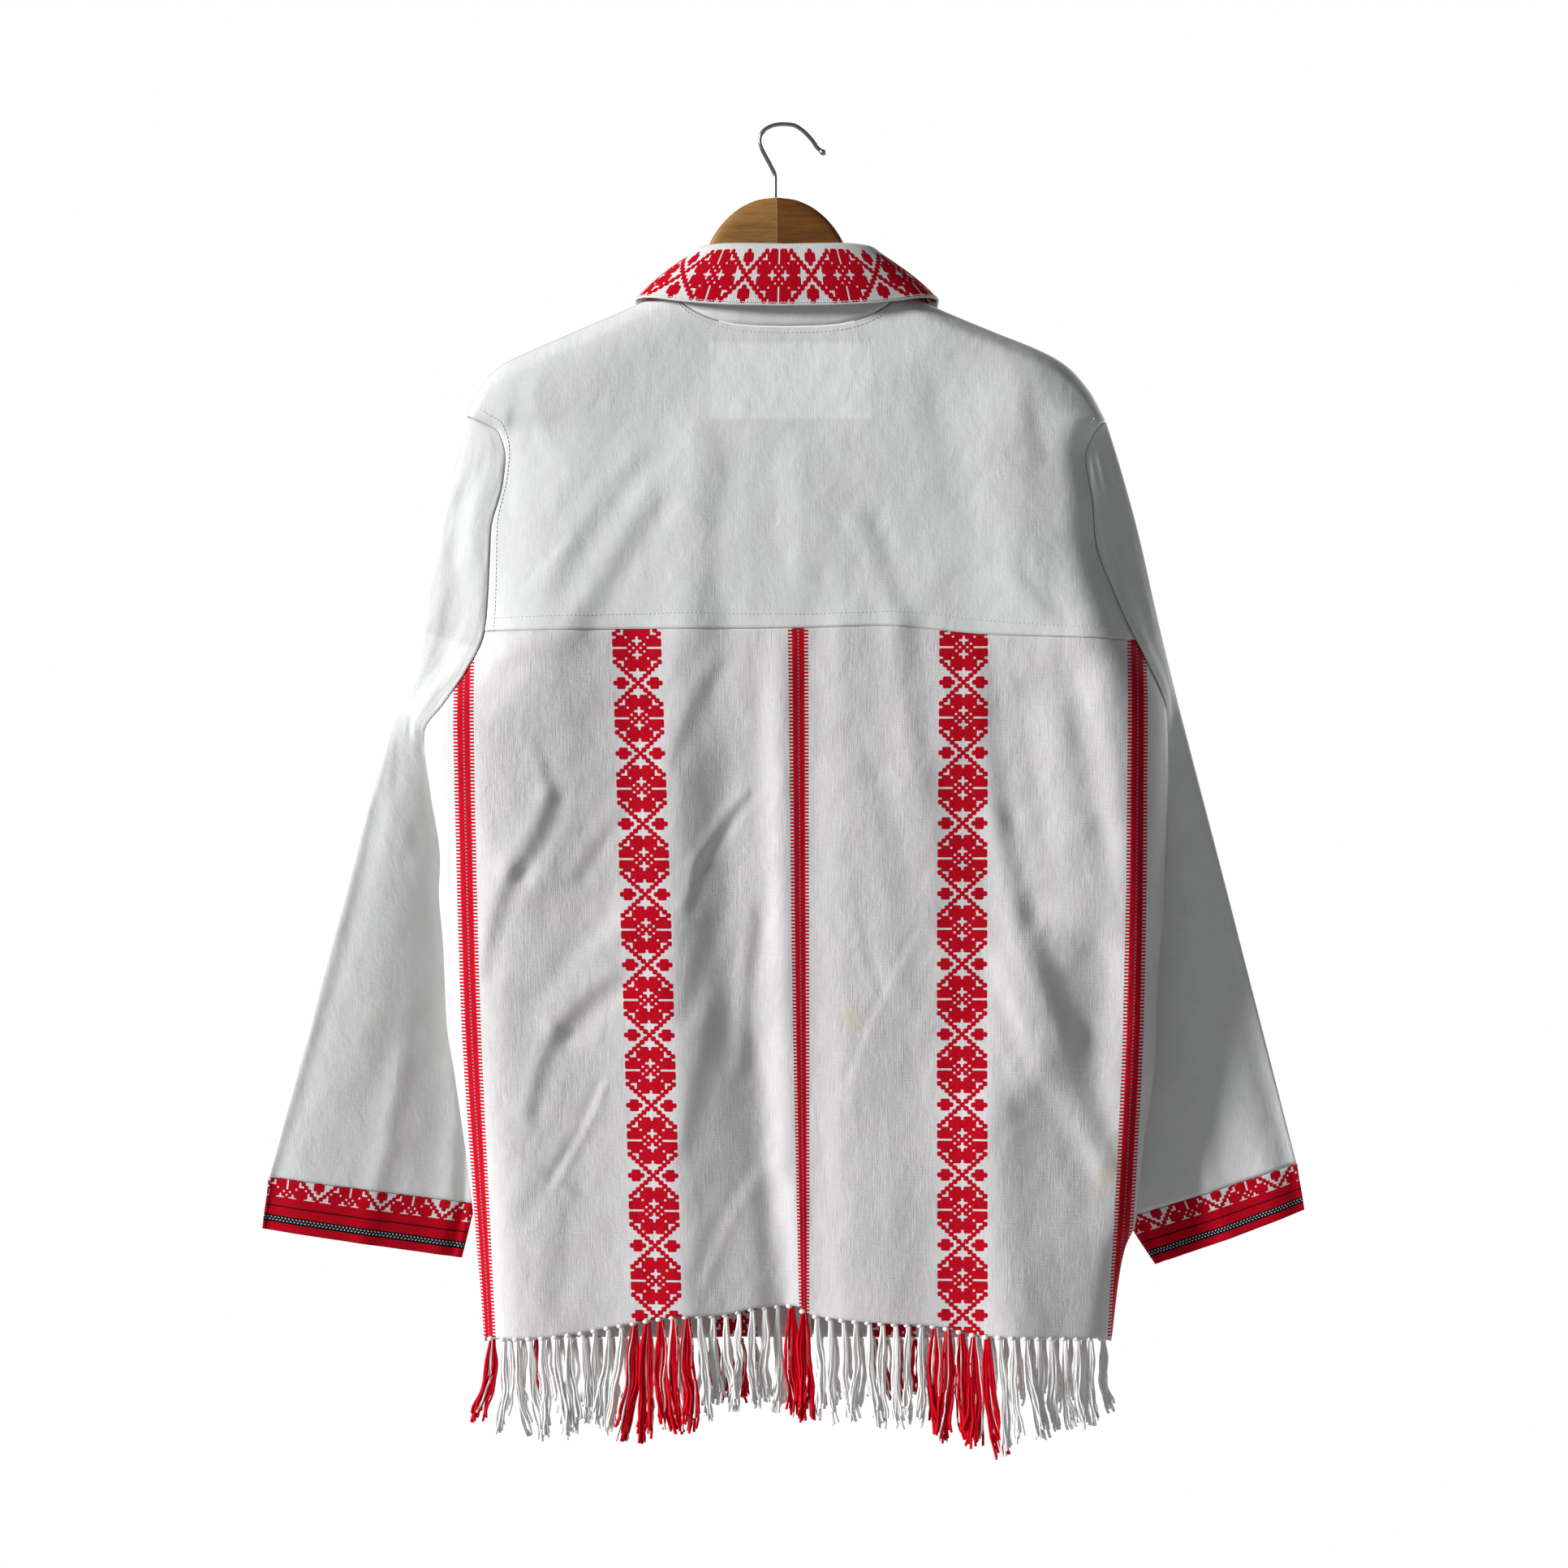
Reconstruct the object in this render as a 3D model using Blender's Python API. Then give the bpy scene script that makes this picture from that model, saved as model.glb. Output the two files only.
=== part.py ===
"""Overshirt of woven cotton on a two-piece wooden hanger.

The origin is the inside top of the hanger's hook, where it rests on a rail.
+Z is up, the back of the garment faces -Y and the wearer's left is at -X.
Tables give x, y and the drop below the origin in millimetres.
"""
import math

import bmesh
import bpy
import numpy as np

# Scale and shared clearances, mm
MM = 0.001
CLOTH_WALL = 1.2
SLEEVE_WALL = 1.3
COLLAR_WALL = 1.5
BAND_WALL = 1.3
SEAM_GAP = 0.5
COLLAR_SEAM_GAP = 1.1
PINCH = 0.25
ARMHOLE_GAP = 0.9
SIDE_INSET = 2.7
SIDE_INSET_RUN = 34.0
SLEEVE_CLEARANCE = 3.0
SLEEVE_CLEAR_SLOPE = 0.8

# Body outline by drop, mm: columns drop, x
LEFT_EDGE = (
    (121.5, -84.3),
    (127.6, -97.0),
    (136.8, -116.2),
    (153.0, -153.7),
    (167.6, -187.3),
    (178.4, -209.8),
    (189.4, -222.7),
    (202.6, -231.0),
    (217.5, -239.4),
    (224.0, -226.0),
    (231.5, -213.5),
    (250.0, -208.5),
    (268.1, -210.5),
    (305.3, -219.6),
    (352.3, -222.0),
    (379.7, -224.5),
    (409.6, -237.9),
    (435.0, -256.0),
    (455.4, -270.2),
    (463.0, -270.2),
    (502.0, -265.6),
    (553.0, -258.4),
    (575.0, -259.3),
    (615.0, -256.2),
    (674.0, -253.5),
    (712.0, -247.7),
    (805.0, -234.9),
    (898.0, -226.3),
    (915.0, -225.4),
)
RIGHT_EDGE = (
    (124.0, 87.7),
    (129.0, 99.0),
    (138.6, 119.0),
    (155.0, 158.3),
    (170.3, 195.6),
    (180.3, 212.3),
    (198.9, 229.2),
    (221.1, 241.4),
    (235.0, 231.0),
    (249.2, 226.0),
    (286.4, 231.2),
    (310.8, 233.0),
    (352.3, 247.7),
    (378.2, 259.3),
    (404.1, 272.5),
    (424.3, 282.5),
    (436.5, 287.0),
    (463.0, 288.4),
    (480.0, 288.6),
    (525.5, 288.2),
    (587.0, 286.4),
    (639.0, 281.8),
    (698.0, 280.0),
    (768.0, 270.8),
    (824.0, 264.4),
    (843.0, 256.4),
    (861.0, 252.5),
    (915.0, 245.8),
)
SHOULDER_LEFT = (217.5, -239.4)
SHOULDER_RIGHT = (221.1, 241.4)
ARMPIT_LEFT = 455.4
ARMPIT_RIGHT = 436.5
RIDGE_ROWS_LEFT = 9
RIDGE_ROWS_RIGHT = 8

# Half depth of the body, mm: columns drop, depth at the middle
DEPTH = (
    (114.0, 12.0),
    (135.0, 16.0),
    (153.0, 20.0),
    (217.0, 24.0),
    (250.0, 27.0),
    (300.0, 30.0),
    (360.0, 32.0),
    (400.0, 33.0),
    (456.0, 33.0),
    (600.0, 31.0),
    (800.0, 26.0),
    (915.0, 23.0),
)
# Half depth of an armhole: columns share from shoulder to armpit, depth
HOLE_DEPTH = (
    (0.0, 9.5),
    (0.12, 11.0),
    (0.35, 13.0),
    (0.62, 12.5),
    (0.8, 10.5),
    (0.9, 8.0),
    (0.955, 5.0),
    (1.0, 0.0),
)
HOLE_REACH = 13.0
SLOPE_STEP = 1.0
SECTION_POWER = 4.0
BACK_FADE = 5.0
FRONT_FADE = 3.0
RIDGE_RADIUS = 14.0

# Cross seam and hem of the back by x, mm: columns x, drop
CROSS_SEAM = (
    (-226.0, 380.0),
    (-110.0, 378.6),
    (12.0, 377.6),
    (73.0, 376.0),
    (150.0, 382.5),
    (262.0, 386.5),
)
BACK_HEM = (
    (-225.4, 909.8),
    (-182.0, 908.0),
    (-152.0, 904.3),
    (-122.0, 898.5),
    (-74.0, 891.0),
    (-48.0, 890.5),
    (-20.0, 885.6),
    (8.0, 884.0),
    (21.0, 891.0),
    (77.0, 896.7),
    (110.0, 898.5),
    (151.0, 906.0),
    (207.0, 908.0),
    (245.8, 909.8),
)
FRONT_HEM_DROP = 913.0

# Folds as soft troughs, mm: columns x0, drop0, x1, drop1, width, depth
BACK_FOLDS = (
    (-208.0, 353.0, -160.0, 312.0, 9.0, 3.0),
    (-192.0, 215.0, -199.0, 330.0, 14.0, 3.0),
    (-40.0, 497.0, -162.0, 631.0, 20.0, 4.0),
    (-52.0, 625.0, -196.0, 780.0, 22.0, 4.5),
    (-24.0, 600.0, -42.0, 884.0, 20.0, 5.0),
    (-125.0, 700.0, -150.0, 905.0, 18.0, -3.5),
    (13.0, 770.0, 16.0, 893.0, 8.0, 4.5),
    (72.0, 480.0, 200.0, 668.0, 22.0, 4.5),
    (165.0, 560.0, 238.0, 750.0, 20.0, 4.0),
    (150.0, 690.0, 182.0, 905.0, 18.0, 4.0),
    (60.0, 640.0, 88.0, 890.0, 22.0, -4.0),
    (212.0, 270.0, 150.0, 345.0, 18.0, 3.5),
    (80.0, 250.0, 110.0, 360.0, 24.0, -3.0),
)
FRONT_FOLDS = (
    (-190.0, 230.0, -150.0, 420.0, 20.0, 3.5),
    (196.0, 240.0, 160.0, 430.0, 20.0, 3.5),
    (-60.0, 520.0, -150.0, 700.0, 22.0, 4.0),
    (90.0, 500.0, 180.0, 690.0, 22.0, 4.0),
    (-110.0, 720.0, -96.0, 910.0, 18.0, 3.5),
    (120.0, 700.0, 132.0, 910.0, 18.0, 3.5),
)
FOLD_EDGE_POWER = 6.0
FOLD_TOP_FADE = 60.0
FOLD_END_FADE = 0.22

# Neck seam half, from the collar's middle, mm: columns x, drop
COLLAR_X = 1.7
BACK_NECK = (
    (0.0, 153.1),
    (20.0, 152.7),
    (39.0, 151.2),
    (58.0, 146.3),
    (69.5, 140.6),
    (77.0, 135.6),
    (82.0, 130.0),
    (86.0, 122.5),
)
FRONT_NECK = (
    (86.0, 122.5),
    (80.0, 135.0),
    (72.0, 151.0),
    (61.0, 170.0),
    (43.0, 190.0),
    (22.0, 205.0),
    (0.7, 212.0),
)

# Collar by station from back middle to front end, mm
# Columns share of the back or front neck, fold x, y, drop, then leaf edge x, y, drop
COLLAR_BACK = (
    (0.00, 0.0, -25.0, 92.0, 0.0, -31.0, 138.4),
    (0.25, 24.0, -24.5, 91.6, 30.0, -30.5, 138.0),
    (0.50, 44.0, -22.0, 91.2, 60.0, -28.0, 136.4),
    (0.75, 61.0, -16.0, 92.4, 88.0, -23.0, 133.0),
    (0.90, 67.0, -10.0, 94.5, 107.0, -15.0, 130.0),
    (1.00, 71.0, -2.0, 97.5, 114.0, -1.0, 130.5),
)
COLLAR_FRONT = (
    (0.00, 71.0, -2.0, 97.5, 114.0, -1.0, 130.5),
    (0.12, 70.5, 5.0, 103.0, 113.0, 14.5, 137.0),
    (0.25, 68.0, 12.0, 112.0, 109.0, 22.0, 151.0),
    (0.50, 55.0, 21.0, 138.0, 94.0, 28.0, 190.0),
    (0.75, 32.0, 27.0, 168.0, 72.0, 31.0, 228.0),
    (1.00, 3.5, 31.0, 188.0, 50.0, 34.0, 258.0),
)
STAND_ROWS = 4
STAND_TOP_DROP = 3.6
LEAF_ROWS = 6
LEAF_CREST = 2.6
LEAF_CREST_OUT = 2.2
LEAF_BELLY = 3.0
LEAF_CLEARANCE = 2.6

# Centre front line by drop, mm: columns drop, x
FRONT_LINE = (
    (205.0, 1.7),
    (913.0, 22.0),
)
FRONT_LINE_GAP = 0.35
PLACKET_HALF_WIDTH = 17.0
PLACKET_TOP = 217.0
PLACKET_BOTTOM = 911.0
PLACKET_GAP = 0.8
PLACKET_ROWS = 18
PLACKET_COLUMNS = 5

# Buttons, mm
BUTTON_COUNT = 6
BUTTON_FIRST = 236.0
BUTTON_PITCH = 112.0
BUTTON_RADIUS = 5.9
BUTTON_GAP = 0.8
BUTTON_SIDES = 12
BUTTON_PROFILE = ((0.6, 0.0), (1.0, 0.9), (0.92, 2.2), (0.6, 1.9))

# Outer outlines of the sleeves, mm: columns drop, x
SLEEVE_OUTER_LEFT = (
    (217.5, -239.4),
    (264.4, -250.7),
    (324.2, -265.6),
    (389.5, -281.6),
    (590.0, -334.5),
    (789.7, -387.4),
)
SLEEVE_OUTER_RIGHT = (
    (221.1, 241.4),
    (252.8, 251.6),
    (305.3, 266.6),
    (374.2, 283.0),
    (580.0, 336.0),
    (780.8, 386.7),
)
# Sleeve slices on the armhole, mm: columns outer drop, inner drop, outer y, half depth
CAP_LEFT = (
    (217.9, 218.7, 0.0, 0.5),
    (219.0, 220.8, 0.0, 1.0),
    (221.5, 224.0, 0.0, 1.5),
    (228.5, 231.5, 0.0, 2.0),
    (245.0, 250.0, 0.5, 3.0),
    (262.0, 268.1, 1.0, 4.0),
    (296.0, 305.3, 2.0, 5.5),
    (340.0, 352.3, 3.0, 7.5),
    (365.0, 379.7, 4.0, 9.5),
    (393.0, 409.6, 5.0, 11.5),
    (417.0, 435.0, 6.0, 13.5),
    (436.0, 455.4, 6.0, 15.0),
)
CAP_RIGHT = (
    (222.4, 224.0, 0.0, 0.5),
    (224.4, 226.5, 0.0, 1.0),
    (227.2, 229.5, 0.0, 1.5),
    (231.5, 235.0, 0.0, 2.0),
    (244.0, 249.2, 0.5, 2.5),
    (262.0, 268.0, 1.0, 4.0),
    (279.0, 286.4, 1.5, 5.0),
    (302.0, 310.8, 2.0, 6.5),
    (342.0, 352.3, 3.0, 8.5),
    (366.0, 378.2, 4.0, 10.5),
    (389.0, 404.1, 5.0, 12.5),
    (407.0, 424.3, 6.0, 14.0),
    (418.0, 436.5, 7.0, 15.5),
)
# Sleeve slices below the armpit: columns outer drop, inner drop, inner x, inner y, outer y, half depth
ARM_LEFT = (
    (455.0, 470.0, -272.6, 4.0, 6.0, 16.0),
    (475.0, 490.0, -269.6, 9.0, 6.0, 16.5),
    (499.0, 515.0, -264.6, 14.0, 6.0, 16.5),
    (533.0, 550.0, -256.0, 20.0, 6.0, 16.0),
    (583.0, 600.0, -244.0, 24.0, 5.0, 15.0),
    (643.0, 660.0, -234.5, 24.0, 4.0, 13.5),
    (712.0, 730.0, -230.5, 21.0, 3.0, 12.0),
    (789.7, 811.6, -233.6, 16.0, 2.0, 9.0),
)
ARM_RIGHT = (
    (442.0, 460.0, 290.8, 4.0, 8.0, 16.5),
    (466.0, 485.0, 291.0, 9.0, 8.0, 17.0),
    (494.0, 513.0, 289.4, 15.0, 8.0, 17.0),
    (530.0, 550.0, 281.0, 22.0, 8.0, 17.0),
    (577.0, 599.0, 271.0, 27.0, 7.0, 16.5),
    (635.0, 659.0, 262.0, 28.0, 6.0, 15.0),
    (702.0, 731.0, 258.0, 25.0, 4.0, 13.5),
    (780.8, 822.6, 259.0, 18.0, 2.0, 12.0),
)
SLEEVE_COLUMNS = 19
SLEEVE_POWER = 0.75
SHOULDER_BLEND = (1.0, 1.0, 1.0, 0.8, 0.4)
# Lengthwise folds on the sleeves: columns turn, start share, end share, depth
SLEEVE_FOLDS = (
    (0.20, 0.30, 0.95, 2.2),
    (0.33, 0.05, 0.60, -2.4),
    (0.41, 0.45, 1.00, 2.0),
    (0.66, 0.20, 0.80, 2.4),
    (0.82, 0.40, 1.00, -2.0),
)
SLEEVE_FOLD_WIDTH = 0.045

# Cuffs, mm: columns outer drop, x, y, inner drop, x, y
CUFF_LEFT = (
    (789.7, -388.2, 2.0, 811.6, -232.8, 16.0),
    (803.0, -389.6, 2.0, 825.0, -236.2, 14.0),
    (816.0, -391.4, 2.0, 839.0, -239.6, 13.0),
    (829.0, -393.0, 2.0, 852.2, -242.9, 12.0),
)
CUFF_RIGHT = (
    (780.8, 387.5, 2.0, 822.6, 258.2, 18.0),
    (792.5, 389.4, 2.0, 834.0, 264.8, 17.0),
    (804.2, 391.4, 2.0, 846.0, 272.6, 16.0),
    (815.9, 393.2, 2.0, 857.4, 280.3, 15.0),
)
CUFF_WALL = 2.0
CUFF_STEP = 0.5
CUFF_SEAM_GAP = 1.2

# Fringe, mm
FRINGE_BACKING = 3.0
FRINGE_THICK = 2.2
FRINGE_OFF_MIDDLE = 3.2
FRINGE_SIDE_ROOM = 2.0
FRINGE_FRONT_SIDE_ROOM = 14.0
HEM_REACH = 8.0
STRAND_PITCH = 9.8
STRAND_SHARE = 0.62
STRAND_SHARES = (0.3, 0.68, 1.0)
STRAND_TAPER = 0.45
STRAND_SWAY = 1.5
STRAND_DEPTH_SWAY = 1.0
STRAND_LENGTH_SWAY = 9.0
STRAND_LEAN_POWER = 1.5
STRAND_SWAY_TURN = 6.0
STRAND_DEPTH_TURN = 9.0
FRONT_LEFT_PHASE = 3.3
FRONT_RIGHT_PHASE = 7.7
GOLDEN = 0.618034
SMALLEST = 1e-9
# Strand ends of the back by x, mm: columns x, drop, lean
BACK_STRANDS = (
    (-222.0, 978.0, -9.0),
    (-200.0, 986.0, 3.0),
    (-180.0, 988.0, 4.0),
    (-150.0, 975.0, 3.0),
    (-112.0, 982.0, -6.0),
    (-78.0, 983.0, 5.0),
    (-50.0, 962.0, 4.0),
    (-15.0, 962.0, -3.0),
    (12.0, 976.0, 1.0),
    (44.0, 974.0, 2.0),
    (100.0, 973.0, 0.0),
    (122.0, 984.0, -2.0),
    (150.0, 998.0, 6.0),
    (170.0, 986.0, 5.0),
    (215.0, 980.0, 2.0),
    (240.0, 972.0, 2.0),
)
FRONT_STRANDS = (
    (-222.0, 968.0, -3.0),
    (-100.0, 964.0, 2.0),
    (20.0, 966.0, -2.0),
    (120.0, 963.0, 2.0),
    (240.0, 968.0, 2.0),
)

# Hanger, mm: columns x from the middle, top drop below the ridge or own top, bottom drop
HANGER_X = -5.5
HANGER_HALF_THICK = 6.0
HANGER_SEAM = 0.2
HANGER_RIDGE_GAP = 4.2
HANGER_ARCH = (
    (0.0, 53.7, 96.0),
    (12.0, 55.1, 97.5),
    (24.0, 59.6, 101.0),
    (35.0, 67.4, 105.5),
    (44.0, 77.5, 111.0),
    (50.0, 87.5, 116.0),
    (54.5, 99.5, 121.5),
    (60.0, 112.0, 129.0),
    (70.0, 122.5, 137.5),
    (79.0, 128.5, 142.0),
)
HANGER_ARM = (
    (92.0, 148.0),
    (112.0, 159.0),
    (140.0, 173.0),
    (168.0, 187.0),
    (190.0, 197.0),
    (203.0, 203.0),
    (209.0, 201.5),
)
HANGER_SIDES = 10
HANGER_END_ROUND = 0.55
HANGER_END_RUN = 3.0
HANGER_SQUARENESS = 0.6

# Hook wire, mm
HOOK_RADIUS = 1.5
HOOK_WOOD_GAP = 0.4
HOOK_SIDES = 10
# Ball on the hook's tip, mm: columns reach past the path, radius
HOOK_TIP = (
    (0.6, 1.85),
    (2.2, 2.3),
    (3.8, 1.85),
    (4.6, 0.9),
)
# Hook centreline, mm: columns x, drop
HOOK_PATH = (
    (-6.4, 53.3),
    (-6.4, 46.0),
    (-6.4, 38.7),
    (-9.8, 30.2),
    (-14.0, 22.3),
    (-17.1, 15.6),
    (-18.0, 11.3),
    (-17.6, 7.4),
    (-15.4, 3.6),
    (-11.6, 0.9),
    (-6.6, -0.9),
    (-1.3, -1.5),
    (3.6, -1.3),
    (7.9, -0.5),
    (12.6, 2.2),
    (16.5, 5.5),
    (22.6, 12.5),
    (25.0, 16.2),
    (27.6, 18.4),
)

# Grid shares
YOKE_ROWS = (
    (0.0, 217.5, 221.1),
    (0.007, 218.7, 224.0),
    (0.022, 220.8, 226.5),
    (0.05, 224.0, 229.5),
    (0.09, 231.5, 235.0),
    (0.22, 250.0, 249.2),
    (0.31, 268.1, 268.0),
    (0.42, 286.0, 286.4),
    (0.54, 305.3, 310.8),
    (0.83, 352.3, 352.3),
    (0.93, 366.0, 378.2),
    (1.0, 379.75, 386.25),
)
BACK_ROWS = (
    (0.0, 380.25, 386.75),
    (0.052, 409.6, 404.1),
    (0.098, 435.0, 424.3),
    (0.135, 455.4, 436.5),
    (0.2, 482.0, 472.0),
    (0.26, 514.0, 511.0),
    (0.33, 553.0, 552.0),
    (0.4, 592.0, 591.0),
    (0.47, 629.0, 630.0),
    (0.54, 666.0, 668.0),
    (0.61, 703.0, 706.0),
    (0.68, 740.0, 743.0),
    (0.75, 777.0, 780.0),
    (0.82, 814.0, 816.0),
    (0.89, 851.0, 852.0),
    (0.95, 883.0, 884.0),
    (1.0, 909.8, 909.8),
)
FRONT_ROWS = (
    (0.0, 217.5, 221.1),
    (0.002, 218.7, 224.0),
    (0.007, 220.8, 226.5),
    (0.016, 224.0, 229.5),
    (0.03, 231.5, 235.0),
    (0.05, 250.0, 249.2),
    (0.078, 268.1, 268.0),
    (0.12, 305.3, 286.4),
    (0.17, 328.0, 310.8),
    (0.225, 352.3, 352.3),
    (0.27, 379.7, 378.2),
    (0.305, 409.6, 404.1),
    (0.335, 435.0, 424.3),
    (0.36, 455.4, 436.5),
    (0.4, 478.0, 468.0),
    (0.48, 530.0, 528.0),
    (0.57, 600.0, 598.0),
    (0.67, 674.0, 672.0),
    (0.78, 755.0, 755.0),
    (0.89, 835.0, 835.0),
    (1.0, 913.0, 913.0),
)
BACK_COLUMNS = 28
SHOULDER_COLUMNS = 9
EDGE_COLUMN_SHARES = (0.25, 0.65)

# Colours as linear RGB
WHITE_COTTON = (0.62, 0.63, 0.63)
HEAVY_COTTON = (0.56, 0.55, 0.55)
RED_CUFF = (0.42, 0.01, 0.02)
RED_WHITE = (0.55, 0.2, 0.22)
LIGHT_WOOD = (0.3, 0.17, 0.06)
DARK_WOOD = (0.17, 0.07, 0.012)
STEEL = (0.35, 0.35, 0.36)
PEARL = (0.7, 0.68, 0.62)


def rows(table):
    """Return a table as an array with one row for each entry."""
    return np.array(table, dtype=float)


def look_up(value, table, column=1):
    """Read a column of a table at a value of its first column."""
    data = rows(table)
    return np.interp(value, data[:, 0], data[:, column])


LEFT_DATA = rows(LEFT_EDGE)
RIGHT_DATA = rows(RIGHT_EDGE)
RIDGE_DATA = np.concatenate([
    LEFT_DATA[:RIDGE_ROWS_LEFT][::-1][:, ::-1],
    RIGHT_DATA[:RIDGE_ROWS_RIGHT][:, ::-1],
])


def ridge_drop(x):
    """Drop of the shoulder line at x."""
    return np.interp(x, RIDGE_DATA[:, 0], RIDGE_DATA[:, 1])


def left_x(drop):
    """Left outline of the body."""
    return np.interp(drop, LEFT_DATA[:, 0], LEFT_DATA[:, 1])


def right_x(drop):
    """Right outline of the body."""
    return np.interp(drop, RIGHT_DATA[:, 0], RIGHT_DATA[:, 1])


def smooth(value):
    """Ease a share between 0 and 1."""
    share = np.clip(value, 0.0, 1.0)
    return share * share * (3.0 - 2.0 * share)


def fold_field(x, drop, folds):
    """Sum of the troughs of a fold table at a point."""
    total = np.zeros_like(np.asarray(x, dtype=float))
    for x0, drop0, x1, drop1, width, depth in folds:
        run = np.array([x1 - x0, drop1 - drop0])
        length = math.hypot(run[0], run[1])
        along = ((x - x0) * run[0] + (drop - drop0) * run[1]) / length ** 2
        across = ((x - x0) * run[1] - (drop - drop0) * run[0]) / length
        ends = smooth((along + FOLD_END_FADE) / FOLD_END_FADE)
        ends = ends * smooth((1.0 + FOLD_END_FADE - along) / FOLD_END_FADE)
        total = total + depth * ends * np.exp(-(across / width) ** 2)
    return total


def body_depth(x, drop, side):
    """Distance of the body's outer face from the middle plane."""
    low = left_x(drop)
    high = right_x(drop)
    across = np.clip(np.abs(2.0 * (x - low) / (high - low) - 1.0), 0.0, 1.0)
    middle = look_up(drop, DEPTH)
    left_share = (drop - SHOULDER_LEFT[0]) / (ARMPIT_LEFT - SHOULDER_LEFT[0])
    right_share = (drop - SHOULDER_RIGHT[0]) / (ARMPIT_RIGHT - SHOULDER_RIGHT[0])
    share = np.where(2.0 * x < low + high, left_share, right_share)
    edge = look_up(share, HOLE_DEPTH)
    depth = edge + (middle - edge) * (1.0 - across ** SECTION_POWER)
    below = drop - ridge_drop(x)
    folds = BACK_FOLDS if side < 0 else FRONT_FOLDS
    fade = (1.0 - across ** FOLD_EDGE_POWER) * smooth(below / FOLD_TOP_FADE)
    depth = depth - fold_field(x, drop, folds) * fade
    round_share = np.clip(below / RIDGE_RADIUS, 0.0, 1.0)
    return PINCH + depth * np.sqrt(1.0 - (1.0 - round_share) ** 2)


def body_points(x, drop, side):
    """Outer points of the body in mm."""
    return np.stack([x, side * body_depth(x, drop, side), -drop], axis=-1)


def resample(points, shares):
    """Points at shares of a polyline's length."""
    data = rows(points)
    steps = np.linalg.norm(np.diff(data, axis=0), axis=1)
    length = np.concatenate([[0.0], np.cumsum(steps)]) / steps.sum()
    return np.stack([np.interp(shares, length, data[:, c]) for c in range(data.shape[1])], axis=-1)


def patch(top, bottom, left, right, across, down, fade):
    """Fill four edges given as arrays of x and drop; side curves fade inwards."""
    u = across[None, :, None]
    v = down[:, None, None]
    straight = (1 - v) * top[None] + v * bottom[None]
    left_turn = left[:, None] - straight[:, :1]
    right_turn = right[:, None] - straight[:, -1:]
    return straight + (1 - u) ** fade * left_turn + u ** fade * right_turn


def unit(vectors):
    """Scale vectors to a length of one."""
    length = np.linalg.norm(vectors, axis=-1, keepdims=True)
    return vectors / np.maximum(length, SMALLEST)


def grid_normals(grid, closed, hint):
    """Normals of a grid, all turned to the side that the hint vectors mostly show."""
    if closed:
        around = np.roll(grid, -1, axis=1) - np.roll(grid, 1, axis=1)
    else:
        around = np.gradient(grid, axis=1)
    normals = unit(np.cross(around, np.gradient(grid, axis=0)))
    return normals if np.sum(normals * hint) > 0.0 else -normals


def material(name, colour, roughness, metallic=0.0):
    """Make one Principled material."""
    made = bpy.data.materials.new(name)
    made.use_nodes = True
    shader = made.node_tree.nodes["Principled BSDF"]
    shader.inputs["Base Color"].default_value = (*colour, 1.0)
    shader.inputs["Roughness"].default_value = roughness
    shader.inputs["Metallic"].default_value = metallic
    made.diffuse_color = (*colour, 1.0)
    return made


def solid(name, points, faces, colour, roughness=0.85, metallic=0.0):
    """Make one closed object from points in mm."""
    mesh = bpy.data.meshes.new(name)
    mesh.from_pydata([tuple(float(c) * MM for c in p) for p in points], [], faces)
    work = bmesh.new()
    work.from_mesh(mesh)
    bmesh.ops.recalc_face_normals(work, faces=work.faces)
    if work.calc_volume(signed=True) < 0.0:
        bmesh.ops.reverse_faces(work, faces=work.faces)
    work.to_mesh(mesh)
    work.free()
    made = bpy.data.objects.new(name, mesh)
    bpy.context.scene.collection.objects.link(made)
    mesh.materials.append(material(name + "_material", colour, roughness, metallic))
    return made


def wall(name, outer, inner, closed, colour):
    """Close an outer and an inner grid into one wall."""
    count_v, count_u = outer.shape[:2]
    points = list(outer.reshape(-1, 3)) + list(inner.reshape(-1, 3))
    shift = count_v * count_u
    faces = []
    last = count_u if closed else count_u - 1
    for i in range(count_v - 1):
        for j in range(last):
            a = i * count_u + j
            b = i * count_u + (j + 1) % count_u
            faces.append((a, b, b + count_u, a + count_u))
            faces.append((a + shift, a + count_u + shift, b + count_u + shift, b + shift))
    for i, flip in ((0, False), (count_v - 1, True)):
        for j in range(last):
            a = i * count_u + j
            b = i * count_u + (j + 1) % count_u
            ring = (a, a + shift, b + shift, b)
            faces.append(ring[::-1] if flip else ring)
    if not closed:
        for j, flip in ((0, True), (count_u - 1, False)):
            for i in range(count_v - 1):
                a = i * count_u + j
                b = a + count_u
                ring = (a, a + shift, b + shift, b)
                faces.append(ring[::-1] if flip else ring)
    return solid(name, points, faces, colour)


def armhole_inward(points, edge, shoulder, armpit):
    """Direction from an armhole's seam towards its middle line, along the seam's cut."""
    middle = (shoulder + armpit) / 2
    half = (armpit - shoulder) / 2
    drop = -points[:, 2]
    step = np.where(drop < middle, SLOPE_STEP, -SLOPE_STEP)
    slope = (edge(drop + step) - edge(drop)) / step
    across = -points[:, 1] / HOLE_REACH ** 2
    down = -(drop - middle) / half ** 2
    return unit(np.stack([slope * down, across, -down], axis=-1))


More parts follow.
